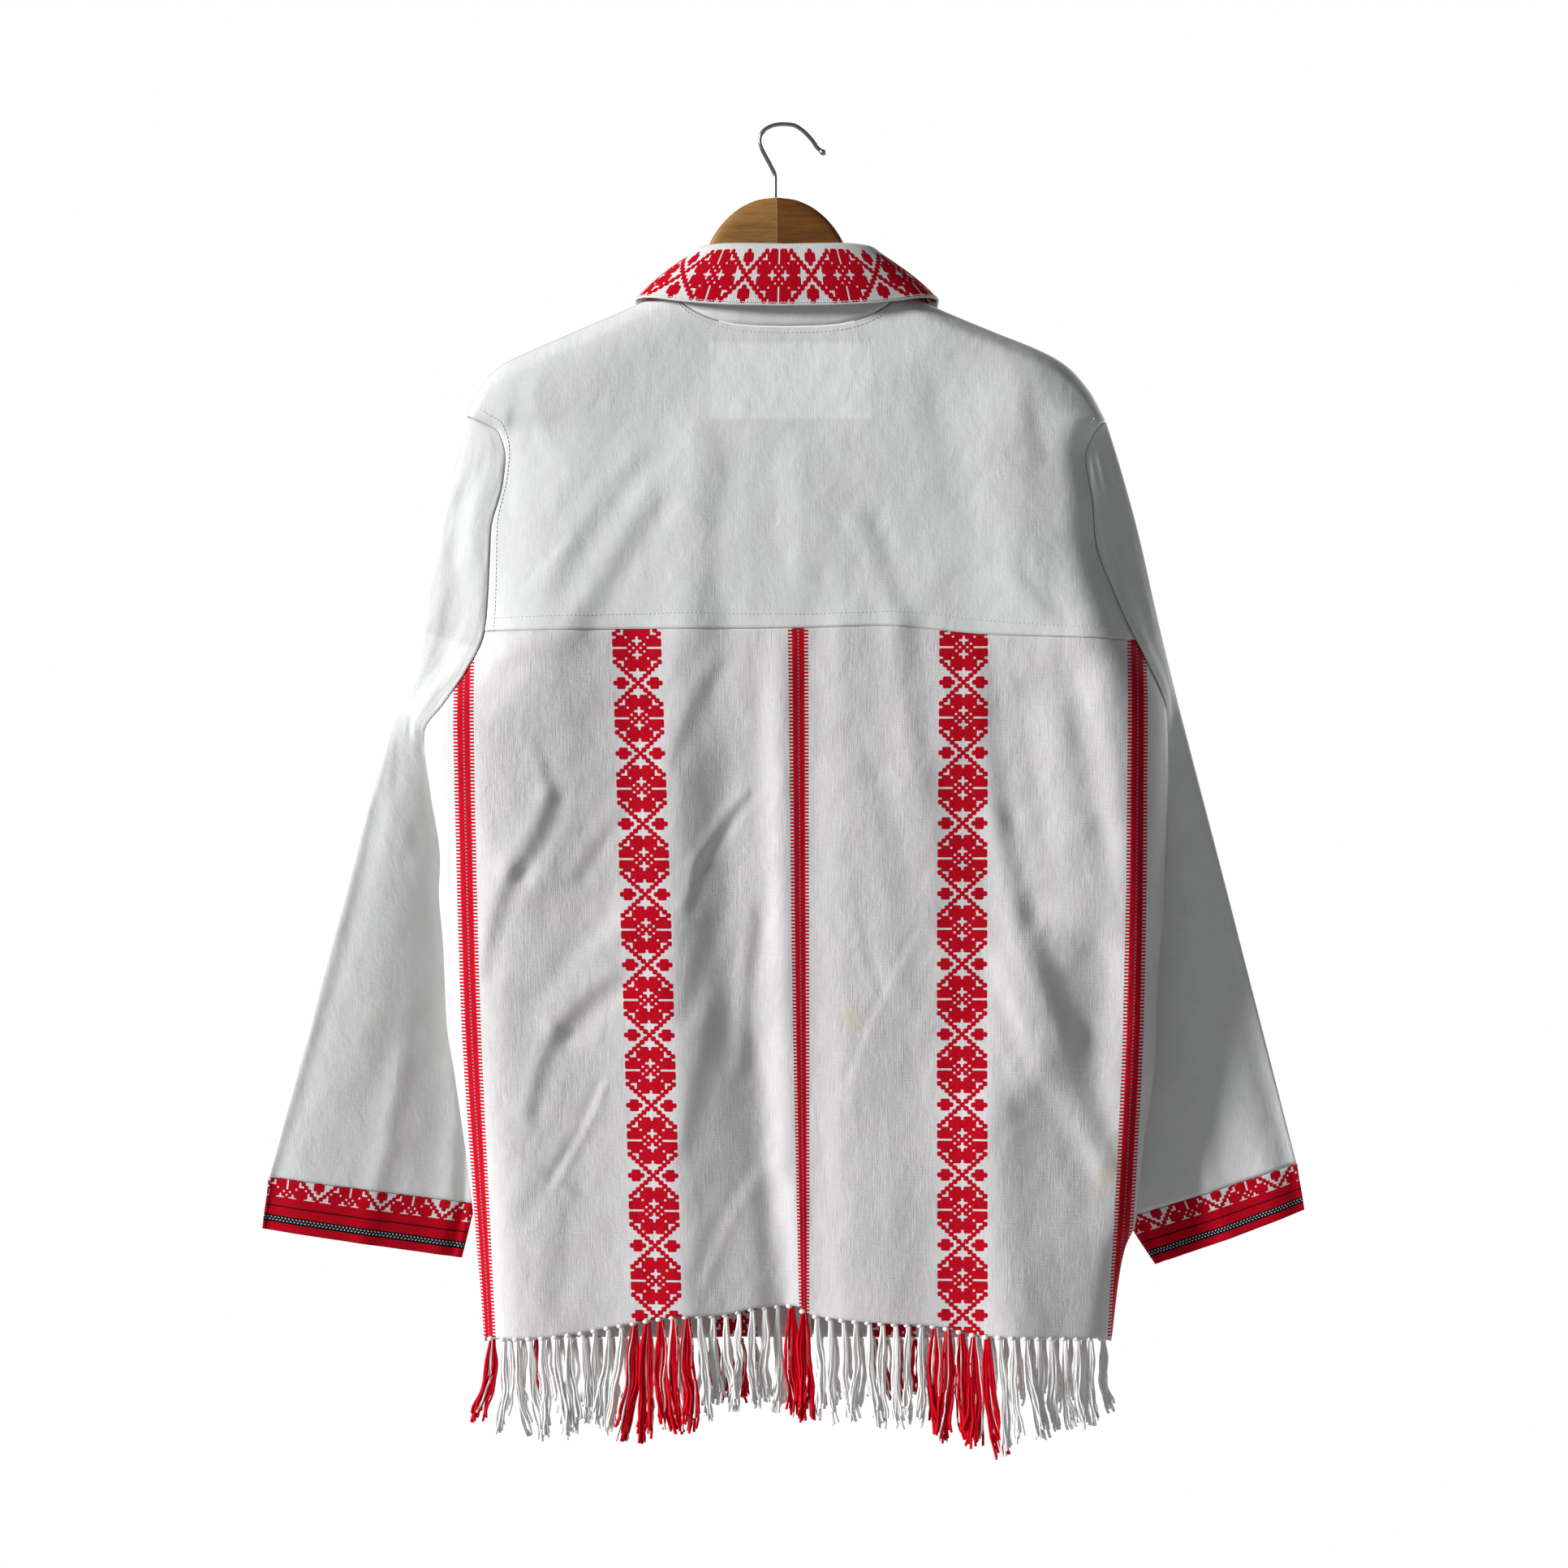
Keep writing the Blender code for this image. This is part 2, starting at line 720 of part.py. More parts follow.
def body_wall(name, grid, side, colour, left_edge, right_edge, ridge_columns, neck_columns):
    """Give a body panel its wall, with square ends at its seams."""
    hint = np.zeros_like(grid)
    hint[..., 1] = side
    normals = grid_normals(grid, False, hint)
    offset = -CLOTH_WALL * normals
    for j in ridge_columns:
        flat = normals[0, j] * np.array([1.0, 0.0, 1.0])
        flat = flat if flat[2] > 0.0 else -flat
        offset[0, j] = -CLOTH_WALL * unit(flat)
    for j in neck_columns:
        flat = normals[0, j] * np.array([1.0, 1.0, 0.0])
        offset[0, j] = -CLOTH_WALL * unit(flat)
    for used, column, edge, sign, shoulder, armpit in (
            (left_edge, 0, left_x, 1.0, SHOULDER_LEFT[0], ARMPIT_LEFT),
            (right_edge, grid.shape[1] - 1, right_x, -1.0, SHOULDER_RIGHT[0], ARMPIT_RIGHT)):
        if not used:
            continue
        inward = armhole_inward(grid[:, column], edge, shoulder, armpit) * CLOTH_WALL
        drop = -grid[:, column, 2]
        side_share = np.clip((drop - armpit + SIDE_INSET_RUN) / SIDE_INSET_RUN, 0.0, 1.0)
        inset = np.zeros_like(inward)
        inset[:, 0] = sign * SIDE_INSET
        share = side_share[:, None]
        offset[:, column] = inward * (1.0 - share) + inset * share
    inner = grid + offset
    if side < 0:
        inner[..., 1] = np.minimum(inner[..., 1], -PINCH)
    else:
        inner[..., 1] = np.maximum(inner[..., 1], PINCH)
    return wall(name, grid, inner, False, colour)


def with_edge_columns(shares):
    """Add close columns beside both ends of a row of shares."""
    data = list(shares)
    first = data[1] - data[0]
    last = data[-1] - data[-2]
    low = [data[0] + first * s for s in EDGE_COLUMN_SHARES]
    high = [data[-1] - last * s for s in EDGE_COLUMN_SHARES[::-1]]
    return np.array([data[0]] + low + data[1:-1] + high + [data[-1]])


def shoulder_line(left, neck_x):
    """Shoulder seam from its outer end to the neck, as x and drop."""
    data = RIDGE_DATA
    if left:
        inside = data[data[:, 0] < neck_x]
    else:
        inside = data[data[:, 0] > neck_x][::-1]
    return np.concatenate([inside, [[neck_x, ridge_drop(neck_x)]]])


def neck_line(table, sign):
    """Half of the neck seam as x and drop, its side end on the shoulder line."""
    data = rows(table)
    line = np.stack([COLLAR_X + sign * data[:, 0], data[:, 1]], axis=-1)
    ends = np.abs(data[:, 0]) >= BACK_NECK[-1][0]
    line[ends, 1] = ridge_drop(line[ends, 0])
    return line


def back_top_edge():
    """Top edge of the yoke with its count of shoulder columns."""
    left = resample(shoulder_line(True, COLLAR_X - BACK_NECK[-1][0]),
                    with_edge_columns(np.linspace(0, 1, SHOULDER_COLUMNS)))
    right = resample(shoulder_line(False, COLLAR_X + BACK_NECK[-1][0]),
                     with_edge_columns(np.linspace(0, 1, SHOULDER_COLUMNS)))
    neck_left = neck_line(BACK_NECK, -1.0)[::-1]
    neck_right = neck_line(BACK_NECK, 1.0)
    top = np.concatenate([left, neck_left[1:], neck_right[1:], right[::-1][1:]])
    return top, len(left)


def edge_run(edge, table, column):
    """Points on an outline at the drops of a row table."""
    drops = rows(table)[:, column]
    return np.stack([edge(drops), drops], axis=-1)


def make_back_yoke():
    """Upper back from the shoulder seams to the cross seam."""
    top, shoulder_count = back_top_edge()
    steps = np.linalg.norm(np.diff(top, axis=0), axis=1)
    across = np.concatenate([[0.0], np.cumsum(steps)]) / steps.sum()
    down = rows(YOKE_ROWS)[:, 0]
    left = edge_run(left_x, YOKE_ROWS, 1)
    right = edge_run(right_x, YOKE_ROWS, 2)
    x = left[-1, 0] + (right[-1, 0] - left[-1, 0]) * across
    bottom = np.stack([x, look_up(x, CROSS_SEAM) - SEAM_GAP / 2], axis=-1)
    bottom[0] = left[-1]
    bottom[-1] = right[-1]
    flat = patch(top, bottom, left, right, across, down, BACK_FADE)
    grid = body_points(flat[..., 0], flat[..., 1], -1.0)
    count = len(across)
    ridge = list(range(shoulder_count)) + list(range(count - shoulder_count, count))
    neck = list(range(shoulder_count, count - shoulder_count))
    return body_wall("back_yoke", grid, -1.0, WHITE_COTTON, True, True, ridge, neck)


def make_back_panel():
    """Lower back from the cross seam to the hem."""
    across = with_edge_columns(np.linspace(0, 1, BACK_COLUMNS))
    down = rows(BACK_ROWS)[:, 0]
    left = edge_run(left_x, BACK_ROWS, 1)
    right = edge_run(right_x, BACK_ROWS, 2)
    top_x = left[0, 0] + (right[0, 0] - left[0, 0]) * across
    top = np.stack([top_x, look_up(top_x, CROSS_SEAM) + SEAM_GAP / 2], axis=-1)
    hem_x = left[-1, 0] + (right[-1, 0] - left[-1, 0]) * across
    bottom = np.stack([hem_x, look_up(hem_x, BACK_HEM)], axis=-1)
    top[0] = left[0]
    top[-1] = right[0]
    bottom[0] = left[-1]
    bottom[-1] = right[-1]
    flat = patch(top, bottom, left, right, across, down, BACK_FADE)
    grid = body_points(flat[..., 0], flat[..., 1], -1.0)
    return body_wall("back_panel", grid, -1.0, HEAVY_COTTON, True, True, [], [])


def front_line_x(drop):
    """Centre front line."""
    return look_up(drop, FRONT_LINE)


def make_front(name, sign):
    """One front from the shoulder seam to the hem, outer end first."""
    left_side = sign < 0
    neck_x = COLLAR_X + sign * BACK_NECK[-1][0]
    shoulder = resample(shoulder_line(left_side, neck_x),
                        with_edge_columns(np.linspace(0, 1, SHOULDER_COLUMNS)))
    neck = neck_line(FRONT_NECK, sign)
    top = np.concatenate([shoulder, neck[1:]])
    steps = np.linalg.norm(np.diff(top, axis=0), axis=1)
    across = np.concatenate([[0.0], np.cumsum(steps)]) / steps.sum()
    down = rows(FRONT_ROWS)[:, 0]
    edge = left_x if left_side else right_x
    outside = edge_run(edge, FRONT_ROWS, 1 if left_side else 2)
    middle_drop = top[-1, 1] + (FRONT_HEM_DROP - top[-1, 1]) * down
    middle = np.stack([front_line_x(middle_drop) + sign * FRONT_LINE_GAP, middle_drop], axis=-1)
    top[-1] = middle[0]
    hem_x = outside[-1, 0] + (middle[-1, 0] - outside[-1, 0]) * across
    bottom = np.stack([hem_x, np.full_like(hem_x, FRONT_HEM_DROP)], axis=-1)
    flat = patch(top, bottom, outside, middle, across, down, FRONT_FADE)
    grid = body_points(flat[..., 0], flat[..., 1], 1.0)
    ridge = list(range(len(shoulder)))
    neck_columns = list(range(len(shoulder), len(top)))
    if not left_side:
        grid = grid[:, ::-1]
        last = len(top) - 1
        ridge = [last - j for j in ridge]
        neck_columns = [last - j for j in neck_columns]
    return body_wall(name, grid, 1.0, WHITE_COTTON, left_side, not left_side, ridge, neck_columns)


def make_placket():
    """Button band over the centre front."""
    drops = np.linspace(PLACKET_TOP, PLACKET_BOTTOM, PLACKET_ROWS)
    sides = np.linspace(-PLACKET_HALF_WIDTH, PLACKET_HALF_WIDTH, PLACKET_COLUMNS)
    drop = np.repeat(drops[:, None], PLACKET_COLUMNS, axis=1)
    x = front_line_x(drop) + sides[None]
    inner = body_points(x, drop, 1.0)
    inner[..., 1] += PLACKET_GAP
    outer = inner.copy()
    outer[..., 1] += BAND_WALL
    return wall("front_placket", outer, inner, False, WHITE_COTTON)


def make_buttons():
    """Dished round buttons in a row on the band."""
    made = []
    for index in range(BUTTON_COUNT):
        drop = BUTTON_FIRST + index * BUTTON_PITCH
        x = float(front_line_x(drop))
        face = float(body_depth(np.array(x), np.array(drop), 1.0))
        base = face + PLACKET_GAP + BAND_WALL + BUTTON_GAP
        points = []
        for share, lift in BUTTON_PROFILE:
            for k in range(BUTTON_SIDES):
                turn = 2 * math.pi * k / BUTTON_SIDES
                reach = BUTTON_RADIUS * share
                points.append((x + reach * math.cos(turn), base + lift, -drop + reach * math.sin(turn)))
        faces = [tuple(range(BUTTON_SIDES))]
        for ring in range(len(BUTTON_PROFILE) - 1):
            for k in range(BUTTON_SIDES):
                a = ring * BUTTON_SIDES + k
                b = ring * BUTTON_SIDES + (k + 1) % BUTTON_SIDES
                faces.append((a, a + BUTTON_SIDES, b + BUTTON_SIDES, b))
        top = (len(BUTTON_PROFILE) - 1) * BUTTON_SIDES
        faces.append(tuple(top + k for k in range(BUTTON_SIDES))[::-1])
        made.append(solid(f"button_{index + 1}", points, faces, PEARL, roughness=0.3))
    return made


def sleeve_turn():
    """Turn of each sleeve column and its reach outwards, both as shares."""
    turn = np.linspace(0.0, 1.0, SLEEVE_COLUMNS)
    return turn, (1.0 - np.cos(2 * np.pi * turn)) / 2


def sleeve_grid(cap, arm, outline, edge, sign):
    """Outer points of a sleeve: open slices on the armhole, then closed ones."""
    turn, out = sleeve_turn()
    swell = np.sin(2 * np.pi * turn)
    swell = np.sign(swell) * np.abs(swell) ** SLEEVE_POWER
    swell[[0, -1]] = 0.0
    slices = []
    for outer_drop, inner_drop, outer_y, half in cap:
        inner_x = float(edge(inner_drop))
        hole = float(body_depth(inner_x, inner_drop, -1.0))
        slices.append((outer_drop, inner_drop, inner_x, 0.0, outer_y, half, hole))
    slices[-1] = slices[-1][:-1] + (0.0,)
    for outer_drop, inner_drop, inner_x, inner_y, outer_y, half in arm:
        slices.append((outer_drop, inner_drop, inner_x, inner_y, outer_y, half, 0.0))
    grid = []
    for k, (outer_drop, inner_drop, inner_x, inner_y, outer_y, half, hole) in enumerate(slices):
        outer_x = float(look_up(outer_drop, outline))
        x = inner_x + (outer_x - inner_x) * out
        y = inner_y + (outer_y - inner_y) * out
        y = y - hole * np.cos(np.pi * turn) - half * swell
        drop = inner_drop + (outer_drop - inner_drop) * out
        share = k / (len(slices) - 1)
        for place, start, end, depth in SLEEVE_FOLDS:
            run = smooth((share - start) / FOLD_END_FADE)
            run = run * smooth((end + FOLD_END_FADE - share) / FOLD_END_FADE)
            y = y + np.sign(swell) * depth * run * np.exp(-((turn - place) / SLEEVE_FOLD_WIDTH) ** 2)
        grid.append(np.stack([x + sign * ARMHOLE_GAP, y, -drop], axis=-1))
    return lift_off_front(np.array(grid), edge, sign, cap[-1][1])


def lift_off_front(grid, edge, sign, armpit):
    """Move sleeve points behind the front where they pass the body's side."""
    drop = -grid[..., 2]
    side_x = edge(drop)
    beyond = sign * (grid[..., 0] - side_x)
    inside_x = np.where(beyond > 0.0, side_x, grid[..., 0])
    face = body_depth(inside_x, drop, 1.0)
    need = face + SLEEVE_CLEARANCE - SLEEVE_CLEAR_SLOPE * np.maximum(beyond, 0.0)
    need = np.where(drop < armpit, np.min(grid[..., 1]), need)
    low = np.minimum(grid[..., 1], grid[:, ::-1, 1])
    lift = np.maximum(need - low, 0.0)
    lifted = grid.copy()
    lifted[..., 1] += np.maximum(lift, lift[:, ::-1])
    return lifted


def sleeve_wall(name, grid, cap_rows, sign, edge, shoulder, armpit):
    """Wall of a sleeve that is open on the armhole and closed below the armpit."""
    count_v, count_u = grid.shape[:2]
    around = np.gradient(grid, axis=1)
    wrap = grid[:, 1] - grid[:, -2]
    around[cap_rows - 1:, 0] = wrap[cap_rows - 1:]
    around[cap_rows - 1:, -1] = wrap[cap_rows - 1:]
    normals = unit(np.cross(around, np.gradient(grid, axis=0)))
    hint = grid - grid.mean(axis=1, keepdims=True)
    if np.sum(normals * hint) < 0.0:
        normals = -normals
    inward = -normals
    for column in (0, count_u - 1):
        seam = grid[:cap_rows, column] - np.array([sign * ARMHOLE_GAP, 0.0, 0.0])
        inward[:cap_rows, column] = armhole_inward(seam, edge, shoulder, armpit)
        inward[cap_rows - 1, column] = unit(np.array([sign, 0.0, 1.0]))
    middle = count_u // 2
    out = sleeve_turn()[1][:, None]
    for row, share in enumerate(SHOULDER_BLEND):
        for side in (slice(0, middle + 1), slice(count_u - 1, middle - 1, -1)):
            eased = unit(inward[row, side][:1] * (1.0 - out[side]) + inward[row, middle] * out[side])
            inward[row, side] = unit(inward[row, side] * (1.0 - share) + eased * share)
    inner = grid + SLEEVE_WALL * inward
    index = np.arange(count_v * count_u).reshape(count_v, count_u)
    index[cap_rows - 1:, -1] = index[cap_rows - 1:, 0]
    used = sorted(set(index.reshape(-1).tolist()))
    order = {old: new for new, old in enumerate(used)}
    shift = len(used)
    points = [grid.reshape(-1, 3)[i] for i in used] + [inner.reshape(-1, 3)[i] for i in used]

    def at(i, j):
        return order[int(index[i, j])]

    faces = []
    for i in range(count_v - 1):
        for j in range(count_u - 1):
            ring = (at(i, j), at(i, j + 1), at(i + 1, j + 1), at(i + 1, j))
            faces.append(ring)
            faces.append(tuple(c + shift for c in ring)[::-1])
    for i in (0, count_v - 1):
        for j in range(count_u - 1):
            a, b = at(i, j), at(i, j + 1)
            faces.append((a, a + shift, b + shift, b))
    for i in range(cap_rows - 1):
        for j in (0, count_u - 1):
            a, b = at(i, j), at(i + 1, j)
            faces.append((a, a + shift, b + shift, b))
    return solid(name, points, faces, WHITE_COTTON)


def tube_wall(name, grid, thick, colour):
    """Give rings a wall on their inside."""
    hint = grid - grid.mean(axis=1, keepdims=True)
    normals = grid_normals(grid, True, hint)
    return wall(name, grid, grid - thick * normals, True, colour)


def make_sleeves():
    """Both sleeves with their cuffs."""
    made = []
    for side, cap, arm, outline, cuff, edge, sign in (
            ("left", CAP_LEFT, ARM_LEFT, SLEEVE_OUTER_LEFT, CUFF_LEFT, left_x, -1.0),
            ("right", CAP_RIGHT, ARM_RIGHT, SLEEVE_OUTER_RIGHT, CUFF_RIGHT, right_x, 1.0)):
        grid = sleeve_grid(cap, arm, outline, edge, sign)
        shoulder = SHOULDER_LEFT[0] if sign < 0 else SHOULDER_RIGHT[0]
        made.append(sleeve_wall("sleeve_" + side, grid, len(cap), sign, edge, shoulder, cap[-1][1]))
        made.append(make_cuff("cuff_" + side, cuff, grid[-1, :-1]))
    return made


def make_cuff(name, table, last_ring):
    """A straight cuff that carries on the sleeve's last ring."""
    data = rows(table)
    centre = last_ring.mean(axis=0)
    outward = unit(last_ring - centre)
    start = last_ring + outward * CUFF_STEP
    outer_shift = data[:, [1, 2, 0]] - data[0, [1, 2, 0]]
    inner_shift = data[:, [4, 5, 3]] - data[0, [4, 5, 3]]
    reach = np.abs(data[0, 1] - data[0, 4])
    share = np.clip(np.abs(start[:, 0] - data[0, 1]) / reach, 0.0, 1.0)[:, None]
    grid = []
    for out_shift, in_shift in zip(outer_shift, inner_shift):
        shift = out_shift * (1.0 - share) + in_shift * share
        grid.append(start + shift * np.array([1.0, 1.0, -1.0]))
    grid = np.array(grid)
    axis = unit(grid[-1].mean(axis=0) - grid[0].mean(axis=0))
    grid[0] = grid[0] + axis * CUFF_SEAM_GAP
    return tube_wall(name, grid, CUFF_WALL, RED_CUFF)


def collar_stations():
    """Seam, fold and leaf edge points round the neck, wearer's left front end first."""
    half = []
    for table, neck, side in ((COLLAR_BACK, BACK_NECK, -1.0), (COLLAR_FRONT, FRONT_NECK, 1.0)):
        steps = np.linalg.norm(np.diff(rows(neck), axis=0), axis=1)
        shares = np.concatenate([[0.0], np.cumsum(steps)]) / steps.sum()
        data = rows(table)
        columns = [np.interp(shares, data[:, 0], data[:, c]) for c in range(1, data.shape[1])]
        places = np.stack(columns, axis=-1)
        for index, share in enumerate(shares):
            if side > 0 and index == 0:
                continue
            half.append((side, share, neck, places[index]))
    stations = []
    for sign in (-1.0, 1.0):
        run = []
        for side, share, neck, place in half:
            line = neck_line(neck, sign)
            seam = resample(line, np.array([share]))[0]
            depth = float(body_depth(seam[0], seam[1], side))
            seam_point = np.array([seam[0], side * depth, -seam[1]])
            fold = np.array([COLLAR_X + sign * place[0], place[1], -place[2]])
            edge = np.array([COLLAR_X + sign * place[3], place[4], -place[5]])
            run.append((seam_point, fold, edge))
        stations.append(run)
    return stations[0][::-1] + stations[1][1:]


def make_collar():
    """Stand and leaf of the turned-down collar."""
    stations = collar_stations()
    seam = np.array([s[0] for s in stations])
    fold = np.array([s[1] for s in stations])
    edge = np.array([s[2] for s in stations])
    top = fold.copy()
    top[:, 2] -= STAND_TOP_DROP
    start = seam + unit(top - seam) * COLLAR_SEAM_GAP
    shares = np.linspace(0, 1, STAND_ROWS)[:, None, None]
    stand = start[None] + (top - start)[None] * shares
    centre = np.array([COLLAR_X, 0.0, 0.0])
    outward = (stand - centre) * np.array([1.0, 1.0, 0.0])
    normals = grid_normals(stand, False, outward)
    flat = normals * np.array([1.0, 1.0, 0.0])
    normals[0] = unit(flat[0])
    normals[-1] = unit(flat[-1])
    made = [wall("collar_stand", stand, stand - COLLAR_WALL * normals, False, WHITE_COTTON)]
    out = normals[-1]
    up = np.array([0.0, 0.0, 1.0])
    base = top - out * COLLAR_WALL + up * SEAM_GAP
    crest_in = base + up * (LEAF_CREST - SEAM_GAP)
    crest_out = crest_in + out * (COLLAR_WALL + LEAF_CREST_OUT) + up * SEAM_GAP
    leaf_rows = [base, crest_in, crest_out]
    for share in np.linspace(0, 1, LEAF_ROWS)[1:]:
        row = crest_out + (edge - crest_out) * share
        row = row + out * LEAF_BELLY * math.sin(math.pi * share)
        leaf_rows.append(row)
    leaf = np.array(leaf_rows)
    leaf = lift_off_body(leaf)
    inner = leaf_inner(leaf, out)
    made.append(wall("collar_leaf", leaf, inner, False, RED_WHITE))
    return made


def lift_off_body(leaf):
    """Keep the collar's leaf clear of the yoke and fronts."""
    lifted = leaf.copy()
    x = leaf[..., 0]
    drop = -leaf[..., 2]
    side = np.where(leaf[..., 1] > 0.0, 1.0, -1.0)
    back = body_depth(x, drop, -1.0)
    front = body_depth(x, drop, 1.0)
    face = np.where(side > 0, front, back)
    inside = drop > ridge_drop(x)
    need = face + LEAF_CLEARANCE
    reach = np.abs(leaf[..., 1])
    low = inside & (reach < need) & (drop > BACK_NECK[-1][1])
    lifted[..., 1] = np.where(low, side * need, leaf[..., 1])
    return lifted


def leaf_inner(leaf, out):
    """Inner face of the leaf, on the side of the stand and the body."""
    normals = unit(np.cross(np.gradient(leaf, axis=1), np.gradient(leaf, axis=0)))
    lower = normals[3:]
    facing = np.sum(lower * out[None], axis=-1, keepdims=True)
    flip = np.where(facing < 0.0, -1.0, 1.0)
    normals[3:] = lower * flip
    up = np.array([0.0, 0.0, 1.0])
    normals[0] = -out
    normals[1] = unit(up - out)
    normals[2] = unit(up + out)
    length = np.array([1.0, math.sqrt(2.0), math.sqrt(2.0)] + [1.0] * (len(leaf) - 3))
    return leaf - COLLAR_WALL * normals * length[:, None, None]


def make_fringe(name, x0, x1, hem, side, ends, phase):
    """A narrow backing below the hem with its strands grown from it."""
    count = max(1, int(round((x1 - x0) / STRAND_PITCH)))
    pitch = (x1 - x0) / count
    width = pitch * STRAND_SHARE
    stops = []
    for k in range(count):
        start = x0 + k * pitch + (pitch - width) / 2
        stops.extend([start, start + width])
    stops = np.array(stops)
    drop = hem(stops)
    outer = side * np.maximum(body_depth(stops, drop, side), FRINGE_OFF_MIDDLE)
    points = []
    for x, d, y in zip(stops, drop, outer):
        top = -(d + SEAM_GAP)
        low = top - FRINGE_BACKING
        back = y - side * FRINGE_THICK
        points.extend([(x, y, top), (x, back, top), (x, back, low), (x, y, low)])
    faces = [(0, 1, 2, 3)]
    last = len(stops) - 1
    faces.append(tuple(4 * last + c for c in (3, 2, 1, 0)))
    for k in range(last):
        a = 4 * k
        b = a + 4
        for c in range(4):
            d = (c + 1) % 4
            if c == 2 and k % 2 == 0:
                continue
            faces.append((a + c, a + d, b + d, b + c))
    for k in range(count):
        a = 8 * k
        ring = [a + 2, a + 3, a + 7, a + 6]
        middle = (stops[2 * k] + stops[2 * k + 1]) / 2
        root = np.array([points[i] for i in ring])
        spread = (k + 1 + phase) * GOLDEN % 1.0 - 0.5
        end = float(look_up(middle, ends)) + STRAND_LENGTH_SWAY * spread
        lean = float(look_up(middle, ends, 2))
        centre = root.mean(axis=0)
        length = end + centre[2]
        for share in STRAND_SHARES:
            shrink = 1.0 - STRAND_TAPER * share
            sway = STRAND_SWAY * math.sin(math.pi * 2 * share + spread * STRAND_SWAY_TURN)
            shift = np.array([lean * share ** STRAND_LEAN_POWER + sway * share,
                              STRAND_DEPTH_SWAY * share * math.sin(spread * STRAND_DEPTH_TURN),
                              -length * share])
            ring_next = []
            for corner in root:
                point = centre + (corner - centre) * np.array([shrink, shrink, 0.0]) + shift
                ring_next.append(len(points))
                points.append(tuple(point))
            for c in range(4):
                d = (c + 1) % 4
                faces.append((ring[c], ring[d], ring_next[d], ring_next[c]))
            ring = ring_next
        faces.append(tuple(ring))
    return solid(name, points, faces, WHITE_COTTON)


def make_fringes():
    """Fringe of the back and of both fronts."""
    middle = float(front_line_x(FRONT_HEM_DROP))
    low = float(left_x(FRONT_HEM_DROP))
    high = float(right_x(FRONT_HEM_DROP))

    def back_hem(x):
        near = [look_up(x + step, BACK_HEM) for step in (-HEM_REACH, 0.0, HEM_REACH)]
        return np.max(near, axis=0)

    def front_hem(x):
        return np.full_like(x, FRONT_HEM_DROP)

    return [
        make_fringe("fringe_back", low + FRINGE_SIDE_ROOM, high - FRINGE_SIDE_ROOM, back_hem, -1.0,
                    BACK_STRANDS, 0.0),
        make_fringe("fringe_front_left", low + FRINGE_FRONT_SIDE_ROOM, middle - FRINGE_SIDE_ROOM,
                    front_hem, 1.0, FRONT_STRANDS, FRONT_LEFT_PHASE),
        make_fringe("fringe_front_right", middle + FRINGE_SIDE_ROOM, high - FRINGE_FRONT_SIDE_ROOM,
                    front_hem, 1.0, FRONT_STRANDS, FRONT_RIGHT_PHASE),
    ]


def make_hanger_half(name, sign, colour):
    """One wooden half: arch and arm."""
    stations = []
    for x, top, bottom in HANGER_ARCH:
        stations.append((HANGER_X + sign * max(x, HANGER_SEAM), top, bottom, 1.0))
    for x, bottom in HANGER_ARM:
        place = HANGER_X + sign * x
        stations.append((place, float(ridge_drop(place)) + HANGER_RIDGE_GAP, bottom, 1.0))
    last_x, last_top, last_bottom, _ = stations[-1]
    middle = (last_top + last_bottom) / 2
    half = (last_bottom - last_top) / 2 * HANGER_END_ROUND
    stations.append((last_x + sign * HANGER_END_RUN, middle - half, middle + half, HANGER_END_ROUND))
    points = []
    for x, top, bottom, share in stations:
        centre = (top + bottom) / 2
        half = (bottom - top) / 2
        thick = HANGER_HALF_THICK * share
        for k in range(HANGER_SIDES):
            turn = 2 * math.pi * (k + 0.5) / HANGER_SIDES
            rise = math.sin(turn)
            reach = math.copysign(abs(math.cos(turn)) ** HANGER_SQUARENESS, math.cos(turn))
            points.append((x, thick * reach, -(centre - half * rise)))
    faces = [tuple(range(HANGER_SIDES))]
    for i in range(len(stations) - 1):
        for k in range(HANGER_SIDES):
            a = i * HANGER_SIDES + k
            b = i * HANGER_SIDES + (k + 1) % HANGER_SIDES
            faces.append((a, b, b + HANGER_SIDES, a + HANGER_SIDES))
    end = (len(stations) - 1) * HANGER_SIDES
    faces.append(tuple(end + k for k in range(HANGER_SIDES))[::-1])
    return solid(name, points, faces, colour, roughness=0.45)


def make_hook():
    """Bent wire hook with a small ball at its tip."""
    path = np.array([(x, 0.0, -drop) for x, drop in HOOK_PATH])
    path[0, 2] += HOOK_WOOD_GAP
    tangent = unit(np.gradient(path, axis=0))
    across = np.array([0.0, 1.0, 0.0])
    side = unit(np.cross(tangent, across))
    radii = [HOOK_RADIUS] * len(path)
    centres = list(path)
    sides = list(side)
    tip = path[-1]
    ahead = tangent[-1]
    for forward, radius in HOOK_TIP:
        centres.append(tip + ahead * forward)
        sides.append(side[-1])
        radii.append(radius)
    points = []
    for centre, direction, radius in zip(centres, sides, radii):
        for k in range(HOOK_SIDES):
            turn = 2 * math.pi * k / HOOK_SIDES
            points.append(centre + radius * (direction * math.cos(turn) + across * math.sin(turn)))
    faces = [tuple(range(HOOK_SIDES))]
    for i in range(len(centres) - 1):
        for k in range(HOOK_SIDES):
            a = i * HOOK_SIDES + k
            b = i * HOOK_SIDES + (k + 1) % HOOK_SIDES
            faces.append((a, b, b + HOOK_SIDES, a + HOOK_SIDES))
    end = (len(centres) - 1) * HOOK_SIDES
    faces.append(tuple(end + k for k in range(HOOK_SIDES))[::-1])
    return solid("hanger_hook", points, faces, STEEL, roughness=0.25, metallic=1.0)


for old in list(bpy.data.objects):
    bpy.data.objects.remove(old, do_unlink=True)

